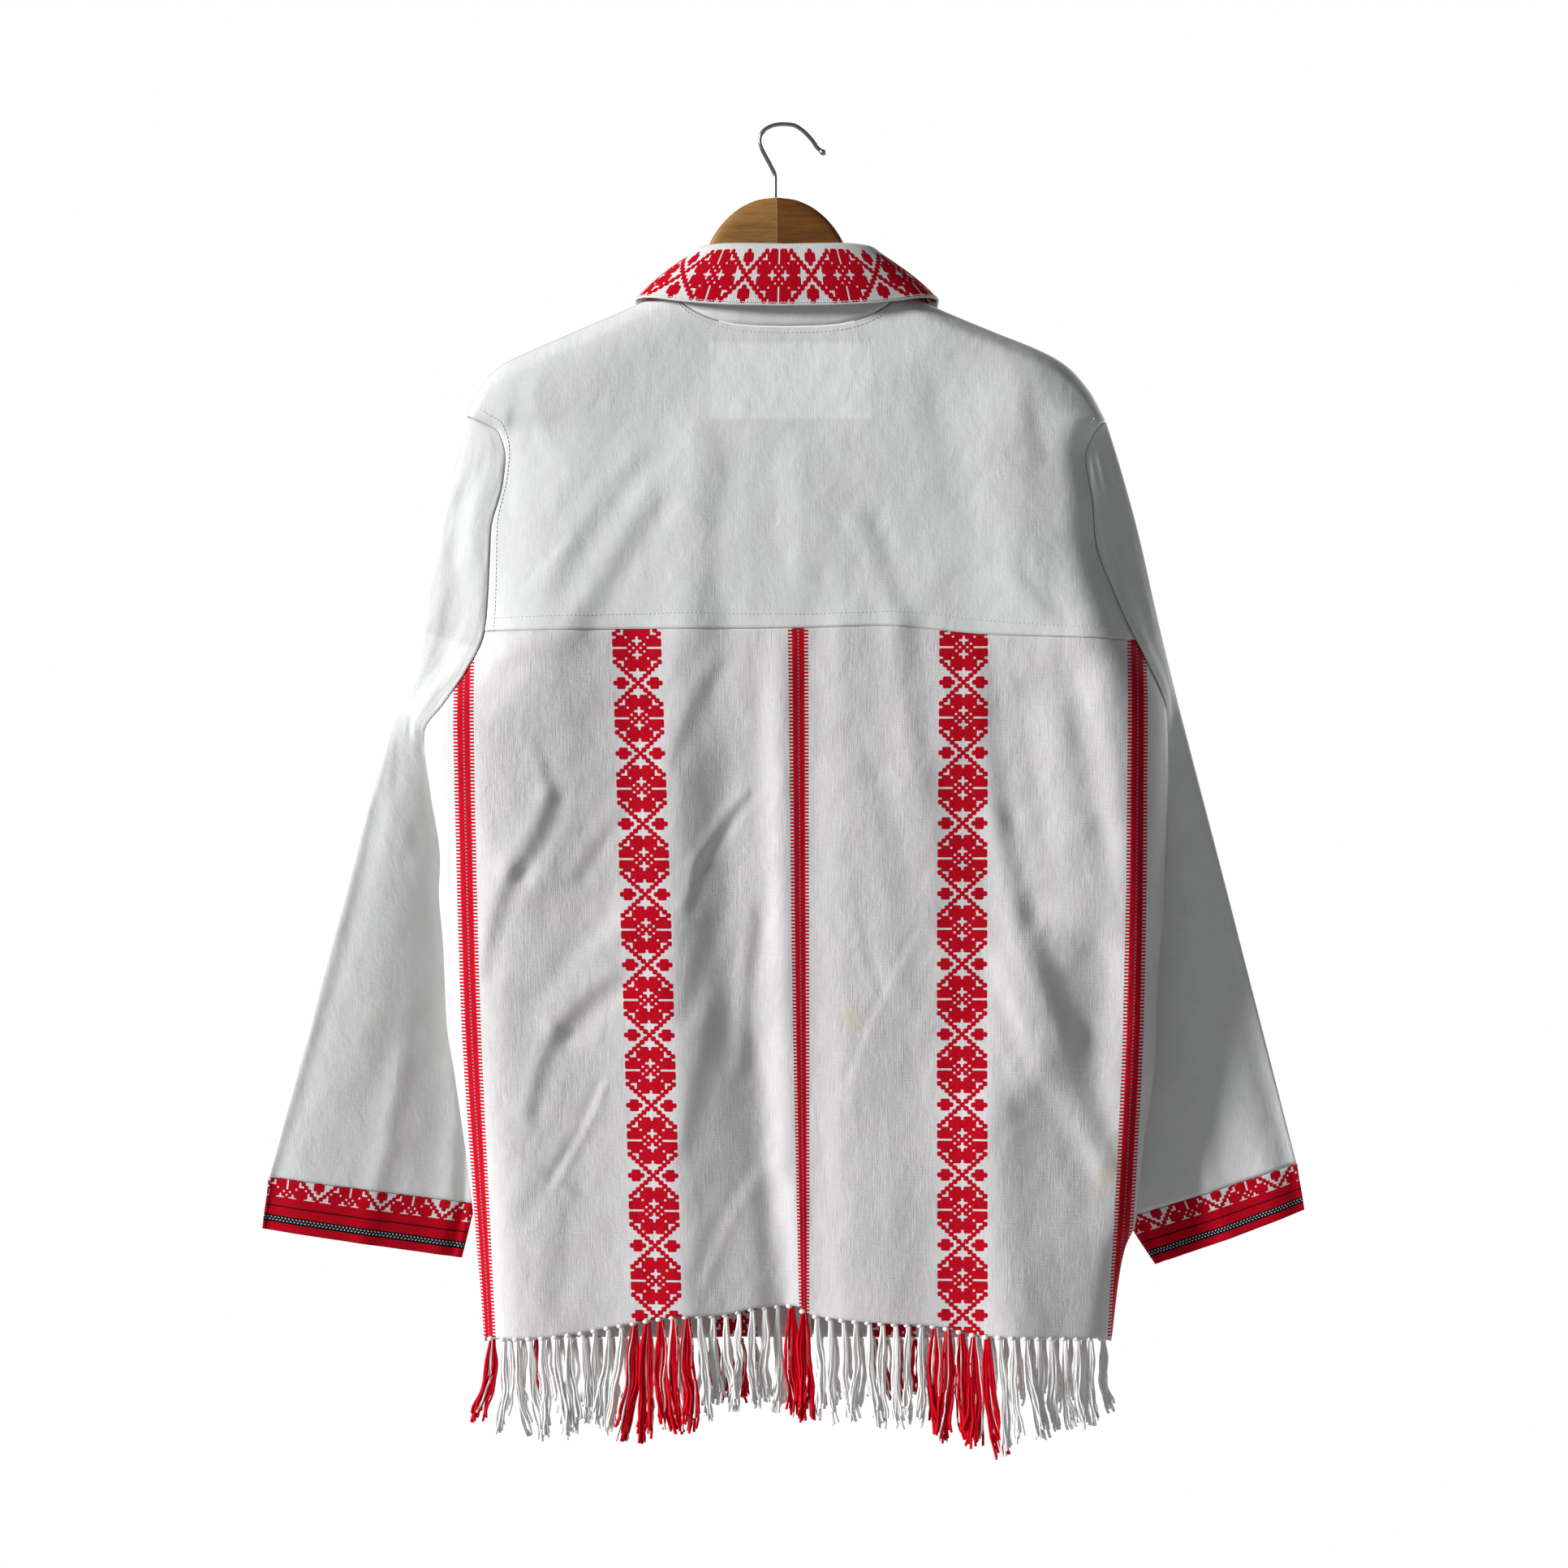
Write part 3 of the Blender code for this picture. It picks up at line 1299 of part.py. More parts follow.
make_back_yoke()
make_back_panel()
make_front("front_left", -1.0)
make_front("front_right", 1.0)
make_placket()
make_buttons()
make_sleeves()
make_collar()
make_fringes()
make_hanger_half("hanger_left", -1.0, LIGHT_WOOD)
make_hanger_half("hanger_right", 1.0, DARK_WOOD)
make_hook()
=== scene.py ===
"""Looks of a white woven overshirt that hangs on a two-piece wooden hanger.

The garment is seen from the back. Tables give x and the drop below the hook in millimetres;
meshes are made in metres. The back of the garment faces -Y and the wearer's left is at -X.
"""
import logging
import math
from dataclasses import dataclass
from enum import Enum
from typing import Optional, Sequence, Union

import bmesh
import bpy
import numpy as np
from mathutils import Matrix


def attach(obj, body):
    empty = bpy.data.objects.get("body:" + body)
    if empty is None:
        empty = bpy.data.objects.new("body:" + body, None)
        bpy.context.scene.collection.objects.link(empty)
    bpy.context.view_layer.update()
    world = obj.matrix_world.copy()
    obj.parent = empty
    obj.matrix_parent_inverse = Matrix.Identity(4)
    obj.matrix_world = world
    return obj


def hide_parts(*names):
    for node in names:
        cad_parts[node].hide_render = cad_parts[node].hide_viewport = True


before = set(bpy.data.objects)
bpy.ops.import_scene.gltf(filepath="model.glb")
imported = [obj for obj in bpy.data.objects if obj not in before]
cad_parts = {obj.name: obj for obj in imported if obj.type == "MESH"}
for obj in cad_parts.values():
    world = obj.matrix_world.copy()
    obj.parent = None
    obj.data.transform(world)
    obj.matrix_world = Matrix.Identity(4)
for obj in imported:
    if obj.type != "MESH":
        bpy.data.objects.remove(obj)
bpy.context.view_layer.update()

LOG = logging.getLogger("overshirt")

Table = Sequence[Sequence[float]]
Tree = bpy.types.NodeTree
Socket = bpy.types.NodeSocket
Piece = bpy.types.Object
Paint = bpy.types.Material
Array = np.ndarray
Input = Union[Socket, float, Sequence[float], None]

MM = 0.001
BODY = "root"
MATH = "ShaderNodeMath"
MIX = "ShaderNodeMix"
GROUP_IN = "NodeGroupInput"
GROUP_OUT = "NodeGroupOutput"


class Side(Enum):
    """Which side of the middle plane a sheet hangs on."""

    BACK = -1.0
    FRONT = 1.0


class Half(Enum):
    """Wearer's left or right half."""

    LEFT = -1.0
    RIGHT = 1.0


# Body outline by drop, mm: columns drop, x
LEFT_EDGE = (
    (121.5, -84.3), (127.6, -97), (136.8, -116.2), (153, -153.7), (167.6, -187.3), (178.4, -209.8),
    (189.4, -222.7), (202.6, -231), (217.5, -239.4), (224, -226), (231.5, -213.5), (250, -208.5),
    (268.1, -210.5), (305.3, -219.6), (352.3, -222), (379.7, -224.5), (409.6, -237.9), (435, -256),
    (455.4, -270.2), (463, -270.2), (502, -265.6), (553, -258.4), (575, -259.3), (615, -256.2),
    (674, -253.5), (712, -247.7), (805, -234.9), (898, -226.3), (915, -225.4),
)
RIGHT_EDGE = (
    (124, 87.7), (129, 99), (138.6, 119), (155, 158.3), (170.3, 195.6), (180.3, 212.3), (198.9, 229.2),
    (221.1, 241.4), (235, 231), (249.2, 226), (286.4, 231.2), (310.8, 233), (352.3, 247.7),
    (378.2, 259.3), (404.1, 272.5), (424.3, 282.5), (436.5, 287), (463, 288.4), (480, 288.6),
    (525.5, 288.2), (587, 286.4), (639, 281.8), (698, 280), (768, 270.8), (824, 264.4), (843, 256.4),
    (861, 252.5), (915, 245.8),
)
SHOULDER_DROP = {Half.LEFT: 217.5, Half.RIGHT: 221.1}
ARMPIT_DROP = {Half.LEFT: 455.4, Half.RIGHT: 436.5}
RIDGE_ROWS = {Half.LEFT: 9, Half.RIGHT: 8}

# Half depth of the body, mm: columns drop, depth at the middle
DEPTH = (
    (114.0, 12.0), (135.0, 16.0), (153.0, 20.0), (217.0, 24.0), (250.0, 27.0), (300.0, 30.0),
    (360.0, 32.0), (400.0, 33.0), (456.0, 33.0), (600.0, 31.0), (800.0, 26.0), (915.0, 23.0),
)
# Half depth of an armhole: columns share from shoulder to armpit, depth
HOLE_DEPTH = (
    (0, 9.5), (0.12, 11), (0.35, 13), (0.62, 12.5), (0.8, 10.5), (0.9, 8), (0.955, 5), (1, 0),
)
PINCH = 0.5
# Squareness of the body's section by drop, and how much squarer its right half is
FLAT_RIGHT = 1.9
SECTION_POWER = ((217.0, 5.0), (330.0, 6.0), (480.0, 13.0), (913.0, 14.0))
RIDGE_RADIUS = 14.0
FADE = {Side.BACK: 5.0, Side.FRONT: 3.0}

# Cross seam and hem by x, mm: columns x, drop
CROSS_SEAM = (
    (-226.0, 380.0), (-110.0, 378.6), (12.0, 377.6), (73.0, 376.0), (150.0, 382.5), (262.0, 386.5),
)
BACK_HEM = (
    (-225.4, 909.8), (-182, 908), (-152, 904.3), (-122, 898.5), (-74, 891), (-48, 890.5), (-20, 885.6),
    (8, 884), (21, 891), (77, 896.7), (110, 898.5), (151, 906), (207, 908), (245.8, 909.8),
)
FRONT_HEM_DROP = 913.0

# Folds of the back, mm and slope: columns x0, drop0, x1, drop1, width, slope, bend. The cloth
# falls away to the right of each line where the slope is positive and rises where it is negative
BACK_FOLDS = (
    (-110, 255, -168, 345, 8, 0.13, 3), (-98, 288, -152, 378, 9, 0.17, 0),
    (-52, 240, -56, 378, 14, 0.13, 2), (64, 296, 92, 372, 8, 0.12, 3), (104, 200, 132, 300, 11, 0.06, 3),
    (2, 255, 4, 380, 13, -0.09, 0), (-160, 312, -190, 345, 3, -0.12, 1),
    (-192, 196, -176, 250, 6, -0.12, 4), (180, 200, 190, 250, 7, 0.10, 2),
    (170, 330, 205, 372, 6, 0.10, 2), (-172, 505, -200, 560, 7, 0.32, -3),
    (-200, 560, -222, 632, 7, 0.30, 3), (-125, 640, -165, 680, 8, 0.30, 3),
    (-168, 680, -188, 738, 6, 0.24, 2), (-126, 600, -184, 668, 8, -0.12, 4),
    (-118, 512, -152, 562, 6, 0.14, 2), (-150, 395, -205, 402, 8, 0.14, 2),
    (-205, 402, -234, 438, 8, 0.14, 3), (-184, 462, -172, 502, 5, 0.14, 0),
    (-212, 758, -152, 800, 3, 0.14, 2), (-137, 722, -171, 789, 3, -0.30, -2),
    (-160, 800, -176, 884, 9, 0.10, 2), (-200, 815, -150, 756, 7, 0.10, 2),
    (-236, 470, -220, 900, 12, -0.12, 0), (-62, 420, -58, 892, 21, 0.22, 0),
    (-50, 408, -82, 476, 7, 0.16, 2), (-30, 506, -62, 552, 4, 0.32, 1), (-62, 552, -71, 586, 4, 0.26, 0),
    (-20, 598, -28, 700, 6, 0.22, 3), (-42, 596, -64, 664, 7, -0.12, 2), (-44, 660, -72, 762, 9, 0.16, 4),
    (-25, 790, -60, 862, 5, -0.12, 3), (-14, 800, -12, 892, 8, 0.16, 0), (-10, 430, -5, 800, 9, -0.24, 0),
    (5, 800, 8, 892, 6, -0.22, 0), (32, 396, 35, 892, 14, -0.12, 0), (92, 382, 110, 500, 10, 0.13, 3),
    (65, 490, 88, 572, 10, 0.09, 2), (80, 570, 96, 645, 12, 0.08, 2), (80, 680, 86, 892, 20, 0.09, 0),
    (92, 618, 51, 708, 3, -0.13, 3), (58, 600, 70, 652, 4, 0.10, 2), (150, 408, 163, 520, 8, 0.16, 2),
    (163, 518, 178, 592, 8, 0.22, 0), (180, 592, 215, 682, 10, 0.24, 2), (215, 680, 244, 772, 9, 0.20, 2),
    (205, 400, 232, 530, 8, 0.07, 3), (232, 528, 250, 604, 8, 0.12, 0), (160, 656, 173, 704, 5, 0.09, 1),
    (158, 696, 170, 740, 8, 0.10, 2), (172, 740, 184, 905, 22, 0.34, 2),
    (156, 630, 226, 772, 8, -0.13, 3), (192, 446, 216, 592, 13, -0.12, 3),
    (-206, 226, -211, 292, 4, 0.22, 1), (150, 200, 172, 380, 34, -0.08, 0),
    (206, 236, 222, 420, 17, -0.16, 0), (232, 432, 256, 660, 14, -0.24, 0),
    (196, 390, 214, 520, 20, -0.10, 0), (-160, 205, -150, 380, 34, 0.04, 0),
    (-152, 392, -146, 560, 40, 0.12, 0), (-186, 540, -172, 900, 34, 0.07, 0),
    (-64, 500, -38, 900, 30, 0.15, 0), (-34, 700, -14, 905, 17, 0.24, 0),
    (112, 430, 118, 890, 30, 0.05, 0), (206, 640, 220, 920, 28, 0.32, 0),
)
# Folds of the fronts, which the photograph hides: columns as above
FRONT_FOLDS = (
    (-190, 232, -150, 420, 12.5, 0.24, 5), (196, 240, 160, 430, 12.5, -0.24, -5),
    (-60, 520, -150, 700, 12.5, 0.36, 8), (90, 500, 180, 690, 13.8, -0.33, -8),
    (-110, 720, -96, 905, 17.5, 0.33, 4), (120, 700, 132, 905, 16.2, -0.33, -4),
    (-200, 300, -140, 352, 6.2, 0.24, 4), (206, 310, 150, 360, 6.2, 0.24, -4),
    (-60, 610, -130, 690, 7.5, -0.21, 5), (70, 620, 140, 700, 7.5, 0.21, -5),
    (-190, 760, -150, 820, 6.2, 0.21, 4), (196, 740, 160, 820, 6.2, 0.21, -4),
    (-90, 240, -120, 330, 10, 0.15, 4), (100, 250, 130, 330, 10, 0.15, -4),
    (-206, 480, -180, 640, 15, 0.3, 3), (226, 470, 204, 640, 15, -0.27, 3),
    (-60, 790, -52, 905, 15, -0.27, 0), (70, 780, 66, 905, 15, 0.27, 0),
)
FOLD_END_FADE = 0.22
# Heights of the coarse, middle and fine crumples, mm
CRUMPLE = (1.2, 0.40, 0.16)
# Powers that calm the folds and crumples near a side edge, and the drop that calms them at the ridge
FOLD_CALM = 16
CRUMPLE_CALM = 12
RIDGE_CALM = 22.0

# Neck seam half, from the collar's middle, mm: columns x, drop
COLLAR_X = 1.7
BACK_NECK = (
    (0, 153.1), (20, 152.7), (39, 151.2), (58, 146.3), (69.5, 140.6), (77, 135.6), (82, 130), (86, 122.5),
)
FRONT_NECK = (
    (86, 122.5), (80, 135), (72, 151), (61, 170), (43, 190), (22, 205), (0.7, 212),
)
# Collar stations, mm: columns share of the neck half, fold x, y, drop, leaf edge x, y, drop
COLLAR_BACK = (
    (0.00, 0, -25, 92, 0, -31, 138.4), (0.25, 24, -24.5, 91.6, 30, -30.5, 138),
    (0.50, 44, -22, 91.2, 60, -28, 136.4), (0.75, 61, -16, 92.4, 88, -23, 133),
    (0.90, 67, -10, 94.5, 107, -15, 130), (1.00, 71, -2, 97.5, 114, -1, 130.5),
)
COLLAR_FRONT = (
    (0.00, 71, -2, 97.5, 114, -1, 130.5), (0.12, 70.5, 5, 103, 113, 14.5, 137),
    (0.25, 68, 12, 112, 109, 22, 151), (0.50, 55, 21, 138, 94, 28, 190), (0.75, 32, 27, 168, 72, 31, 228),
    (1.00, 3.5, 31, 188, 50, 34, 258),
)

# Centre front line by drop, mm: columns drop, x
FRONT_LINE = ((205.0, 1.7), (913.0, 22.0))

# Grid shares of each panel: columns share, left drop, right drop
YOKE_ROWS = (
    (0, 217.5, 221.1), (0.007, 218.7, 224), (0.022, 220.8, 226.5), (0.05, 224, 229.5), (0.09, 231.5, 235),
    (0.22, 250, 249.2), (0.31, 268.1, 268), (0.42, 286, 286.4), (0.54, 305.3, 310.8),
    (0.83, 352.3, 352.3), (0.93, 366, 378.2), (1, 379.75, 386.25),
)
PANEL_ROWS = (
    (0, 380.25, 386.75), (0.052, 409.6, 404.1), (0.098, 435, 424.3), (0.135, 455.4, 436.5),
    (0.2, 482, 472), (0.54, 666, 668), (0.82, 814, 816), (1, 909.8, 909.8),
)
FRONT_ROWS = (
    (0, 217.5, 221.1), (0.002, 218.7, 224), (0.007, 220.8, 226.5), (0.016, 224, 229.5),
    (0.03, 231.5, 235), (0.05, 250, 249.2), (0.078, 268.1, 268), (0.12, 305.3, 286.4), (0.17, 328, 310.8),
    (0.225, 352.3, 352.3), (0.27, 379.7, 378.2), (0.305, 409.6, 404.1), (0.335, 435, 424.3),
    (0.36, 455.4, 436.5), (0.4, 478, 468), (0.57, 600, 598), (0.78, 755, 755), (1, 913, 913),
)

# Outer outline of each sleeve, mm: columns drop, x
SLEEVE_OUTLINE = {
    Half.LEFT: (
        (217.5, -239.4), (264.4, -250.7), (324.2, -265.6), (389.5, -281.6), (590, -334.5),
        (789.7, -387.4),
    ),
    Half.RIGHT: (
        (221.1, 241.4), (252.8, 251.6), (305.3, 266.6), (374.2, 283), (580, 336),
        (780.8, 386.7),
    ),
}
# Sleeve slices on the armhole, mm: columns outer drop, inner drop, outer y, half depth
SLEEVE_CAP = {
    Half.LEFT: (
        (217.9, 218.7, 0, 0.5), (219, 220.8, 0, 1), (221.5, 224, 0, 1.5),
        (228.5, 231.5, 0, 2), (245, 250, 0.5, 3), (262, 268.1, 1, 4),
        (296, 305.3, 2, 5.5), (340, 352.3, 3, 7.5), (365, 379.7, 4, 9.5),
        (393, 409.6, 5, 11.5), (417, 435, 6, 13.5), (436, 455.4, 6, 15),
    ),
    Half.RIGHT: (
        (222.4, 224, 0, 0.5), (224.4, 226.5, 0, 1), (227.2, 229.5, 0, 1.5),
        (231.5, 235, 0, 2), (244, 249.2, 0.5, 2.5), (262, 268, 1, 4),
        (279, 286.4, 1.5, 5), (302, 310.8, 2, 6.5), (342, 352.3, 3, 8.5),
        (366, 378.2, 4, 10.5), (389, 404.1, 5, 12.5), (407, 424.3, 6, 14),
        (418, 436.5, 7, 15.5),
    ),
}
# Sleeve slices below the armpit, mm: columns outer drop, inner drop, inner x, inner y, outer y, half
SLEEVE_ARM = {
    Half.LEFT: (
        (455, 470, -272.6, 4, 6, 16), (475, 490, -269.6, 9, 6, 16.5),
        (499, 515, -264.6, 14, 6, 16.5), (533, 550, -256, 20, 6, 16),
        (583, 600, -244, 24, 5, 15), (643, 660, -234.5, 24, 4, 13.5),
        (712, 730, -230.5, 21, 3, 12), (789.7, 811.6, -233.6, 16, 2, 9),
    ),
    Half.RIGHT: (
        (442, 460, 290.8, 4, 8, 16.5), (466, 485, 291, 9, 8, 17),
        (494, 513, 289.4, 15, 8, 17), (530, 550, 281, 22, 8, 17),
        (577, 599, 271, 27, 7, 16.5), (635, 659, 262, 28, 6, 15),
        (702, 731, 258, 25, 4, 13.5), (780.8, 822.6, 259, 18, 2, 12),
    ),
}
# How much further from the viewer the sleeves hang, mm: inner edge, outer edge
SLEEVE_BACK = {Half.LEFT: (6.0, 3.0), Half.RIGHT: (6.0, 13.0)}
# Lengthwise sleeve folds: columns turn, start share, end share, depth, width as share of a turn
SLEEVE_FOLDS = (
    (0.20, 0.48, 0.95, 2, 0.045), (0.26, 0.02, 0.30, 1.6, 0.060), (0.33, 0.56, 0.80, -1.4, 0.045),
    (0.41, 0.45, 1.00, 2, 0.045), (0.12, 0.62, 1.00, 2.6, 0.022), (0.28, 0.70, 1.00, -1.8, 0.018),
    (0.66, 0.20, 0.80, 2.4, 0.045), (0.82, 0.40, 1.00, -2, 0.045), (0.72, 0.60, 1.00, 2, 0.022),
    (0.90, 0.15, 0.50, 1.6, 0.025),
)
# Cuffs, mm: columns outer drop, x, y, inner drop, x, y
CUFF_ROWS = {
    Half.LEFT: (
        (789.7, -388.2, 2, 811.6, -232.8, 16), (803, -389.6, 2, 825, -236.2, 14),
        (816, -391.4, 2, 839, -239.6, 13), (829, -393, 2, 852.2, -242.9, 12),
    ),
    Half.RIGHT: (
        (780.8, 387.5, 2, 822.6, 258.2, 18), (792.5, 389.4, 2, 834, 264.8, 17),
        (804.2, 391.4, 2, 846, 272.6, 16), (815.9, 393.2, 2, 857.4, 280.3, 15),
    ),
}

# Strand ends by x, mm: columns x, drop, lean
BACK_STRANDS = (
    (-222.0, 978.0, -9.0), (-200.0, 986.0, 3.0), (-180.0, 988.0, 4.0), (-150.0, 975.0, 3.0),
    (-112.0, 982.0, -6.0), (-78.0, 983.0, 5.0), (-50.0, 962.0, 4.0), (-15.0, 962.0, -3.0),
    (12.0, 976.0, 1.0), (44.0, 974.0, 2.0), (100.0, 973.0, 0.0), (122.0, 984.0, -2.0),
    (150.0, 998.0, 6.0), (170.0, 986.0, 5.0), (215.0, 980.0, 2.0), (240.0, 972.0, 2.0),
)
FRONT_STRANDS = (
    (-222.0, 968.0, -3.0), (-100.0, 964.0, 2.0), (20.0, 966.0, -2.0), (120.0, 963.0, 2.0),
    (240.0, 968.0, 2.0),
)
# Red tassels by x, mm: columns low x, high x
BACK_RED = ((-229.0, -217.0), (-115.0, -72.0), (6.0, 20.0), (110.0, 152.0))
FRONT_RED = ((-192.0, -180.0), (-58.0, -16.0), (62.0, 104.0), (232.0, 246.0))

# Hanger halves from the middle, mm: columns x, top drop, bottom drop
HANGER_X = -5.5
HANGER_ARCH = (
    (0, 53.7, 96), (12, 55.1, 97.5), (24, 59.6, 101), (35, 67.4, 105.5), (44, 77.5, 111), (50, 87.5, 116),
    (54.5, 99.5, 121.5), (60, 112, 129), (70, 122.5, 137.5), (79, 128.5, 142),
)
# Arms, mm: columns x, bottom drop
HANGER_ARM = (
    (92, 148), (112, 159), (140, 173), (168, 187), (190, 197), (203, 203), (209, 201.5),
)
# Hook centreline, mm: columns x, drop
HOOK_PATH = (
    (-6.4, 53.3), (-6.4, 46), (-6.4, 38.7), (-9.8, 30.2), (-14, 22.3), (-17.1, 15.6), (-18, 11.3),
    (-17.6, 7.4), (-15.4, 3.6), (-11.6, 0.9), (-6.6, -0.9), (-1.3, -1.5), (3.6, -1.3), (7.9, -0.5),
    (12.6, 2.2), (16.5, 5.5), (22.6, 12.5), (25, 16.2), (27.6, 18.4),
)

# Cloth coordinates of the stripes: columns drop, middle x, half width, in mm
STRIPE_ROWS = (
    ("narrow_left", ((380.0, -240.3, 7.3), (640.0, -234.9, 7.0), (915.0, -220.8, 4.4))),
    ("rosette_left", ((380.0, -110.0, 17.8), (640.0, -101.3, 18.4), (915.0, -94.2, 18.4))),
    ("narrow_middle", ((380.0, 10.5, 6.8), (640.0, 12.4, 5.6), (770.0, 13.8, 4.4), (915.0, 15.4, 2.6))),
    ("rosette_right", ((380.0, 133.8, 17.6), (640.0, 132.5, 18.2), (915.0, 133.3, 18.2))),
    ("narrow_right", ((380.0, 264.0, 7.0), (640.0, 261.4, 7.2), (915.0, 250.0, 7.0))),
)
# Half widths of the woven stripes in cloth coordinates, mm
ROSETTE_HALF = 6.5 * 2.7
NARROW_HALF = 6.6
# Middles of the back's stripes in cloth coordinates, metres
STRIPE_MIDDLES = (-0.240, -0.106, 0.012, 0.133, 0.262)
# Places along the cloth where the two bands start a rosette, metres
LEFT_PHASE = 0.3931
RIGHT_PHASE = 0.3926

# Half rosette of the woven band: one text row for each thread row from the rosette's centre
# to the lattice crossing, one letter for each thread column from the middle outwards
ROSETTE_CHART = (
    "#.#....",
    ".#.####",
    "..#####",
    ".##.##.",
    "####..#",
    "####.#.",
    ".##.#..",
    "...#...",
    "..#....",
    ".#..##.",
    "#..####",
)
CHART_BITS = 127.0

# Colours of the cotton, its stains, the braid and the beech's flecks as sRGB
RED_BRIGHT = "#DA0020"
RED_DEEP = "#A8001A"
WHITE_WARM = "#E9E8E5"
WHITE_COOL = "#E4E8E9"
PINK_HALO = "#EDB0B8"
MAROON_LINE = "#5E0A17"
STAIN_TAN = "#DCCDA4"
PATCH_WHITE = "#FBFDFC"
DOT_PINK = "#B0808A"
BAND_WHITES = ("#DDDCDC", "#EFEFEF")
CUFF_MAROON = "#4A0714"
BRAID_BLACK = "#0E0C12"
BRAID_WHITE = "#C4C6CC"
FLECK_BROWN = "#3F230C"

# Height of the woven threads, metres
THREAD_HEIGHT = 0.0006

# Rows of the cuff below its seam, metres
CUFF_GROUND = 0.0138
CUFF_LINE = 0.0205
CUFF_LINE_WIDTH = 0.0012
CUFF_BRAID = 0.0283
CUFF_BRAID_WIDTH = 0.0054
CUFF_BRAID_PITCH = 0.0028


def smooth(value: Array) -> Array:
    """Ease a share between 0 and 1."""
    share = np.clip(value, 0.0, 1.0)
    return share * share * (3.0 - 2.0 * share)


def flow(value: Union[float, Array], at: Array, data: Array) -> Array:
    """Read a smooth curve through points that never overshoots them.

    Args:
        value: Where to read the curve.
        at: Rising places of the points.
        data: The points' values.

    Returns:
        The curve's values, one for each value asked for.
    """
    value = np.clip(np.asarray(value, dtype=float), at[0], at[-1])
    step = np.diff(at)
    rise = np.diff(data) / step
    slope = np.zeros_like(data)
    slope[0] = rise[0]
    slope[-1] = rise[-1]
    both = rise[:-1] * rise[1:]
    total = np.where(rise[:-1] + rise[1:] == 0.0, 1.0, rise[:-1] + rise[1:])
    slope[1:-1] = np.where(both > 0.0, 2.0 * both / total, 0.0)
    k = np.clip(np.searchsorted(at, value, side="right") - 1, 0, len(at) - 2)
    t = (value - at[k]) / step[k]
    near = (1 + 2 * t) * (1 - t) ** 2 * data[k] + t * (1 - t) ** 2 * step[k] * slope[k]
    far = t * t * (3 - 2 * t) * data[k + 1] + t * t * (t - 1) * step[k] * slope[k + 1]
    return near + far


def read(value: Union[float, Array], table: Table, column: int = 1) -> Array:
    """Read a column of a table as a smooth curve over its first column."""
    data = np.array(table, dtype=float)
    return flow(value, data[:, 0], data[:, column])


def run_along(points: Array, shares: Array) -> Array:
    """Sample a smooth line through points.

    Args:
        points: One row for each point.
        shares: Shares of the line's length, from 0 to 1.

    Returns:
        One row for each share.
    """
    data = np.asarray(points, dtype=float)
    flat = data.reshape(len(data), -1)
    steps = np.linalg.norm(np.diff(flat, axis=0), axis=1)
    length = np.concatenate([[0.0], np.cumsum(np.maximum(steps, 1e-6))])
    length /= length[-1]
    made = np.stack([flow(shares, length, flat[:, c]) for c in range(flat.shape[1])], axis=-1)
    return made.reshape((len(shares),) + data.shape[1:])


def unit(vectors: Array) -> Array:
    """Scale vectors to a length of one."""
    length = np.linalg.norm(vectors, axis=-1, keepdims=True)
    return vectors / np.maximum(length, 1e-9)


def ripple(x: Array, y: Array, size: float, seed: int) -> Array:
    """Smooth noise between -1 and 1.

    Args:
        x: First coordinate in mm.
        y: Second coordinate in mm.
        size: Distance between the noise's random knots in mm.
        seed: Fixed seed of the knots.

    Returns:
        The noise, in the shape of x.
    """
    count = 64
    knots = np.random.default_rng(seed).uniform(-1.0, 1.0, (count, count))
    px = x / size + count * 4
    py = y / size + count * 4
    ix = np.floor(px).astype(int)
    iy = np.floor(py).astype(int)
    fx = smooth(px - ix)
    fy = smooth(py - iy)
    low = knots[ix % count, iy % count] * (1 - fx) + knots[(ix + 1) % count, iy % count] * fx
    top = knots[ix % count, (iy + 1) % count] * (1 - fx) + knots[(ix + 1) % count, (iy + 1) % count] * fx
    return low * (1 - fy) + top * fy


def folds(x: Array, drop: Array, table: Table) -> Array:
    """Height in mm that the folds of a table add at points of the cloth."""
    total = np.zeros_like(x)
    for x0, drop0, x1, drop1, width, slope, bend in table:
        run_x = x1 - x0
        run_drop = drop1 - drop0
        length = math.hypot(run_x, run_drop)
        along = ((x - x0) * run_x + (drop - drop0) * run_drop) / length ** 2
        across = ((x - x0) * run_drop - (drop - drop0) * run_x) / length * math.copysign(1.0, run_drop)
        inside = np.clip(along, 0.0, 1.0)
        across = across + 4.0 * bend * inside * (1.0 - inside)
        ends = smooth((along + FOLD_END_FADE) / FOLD_END_FADE)
        ends = ends * smooth((1.0 + FOLD_END_FADE - along) / FOLD_END_FADE)
        total = total - slope * across * ends * np.exp(-(across / width) ** 2 / 2.0)
    return total


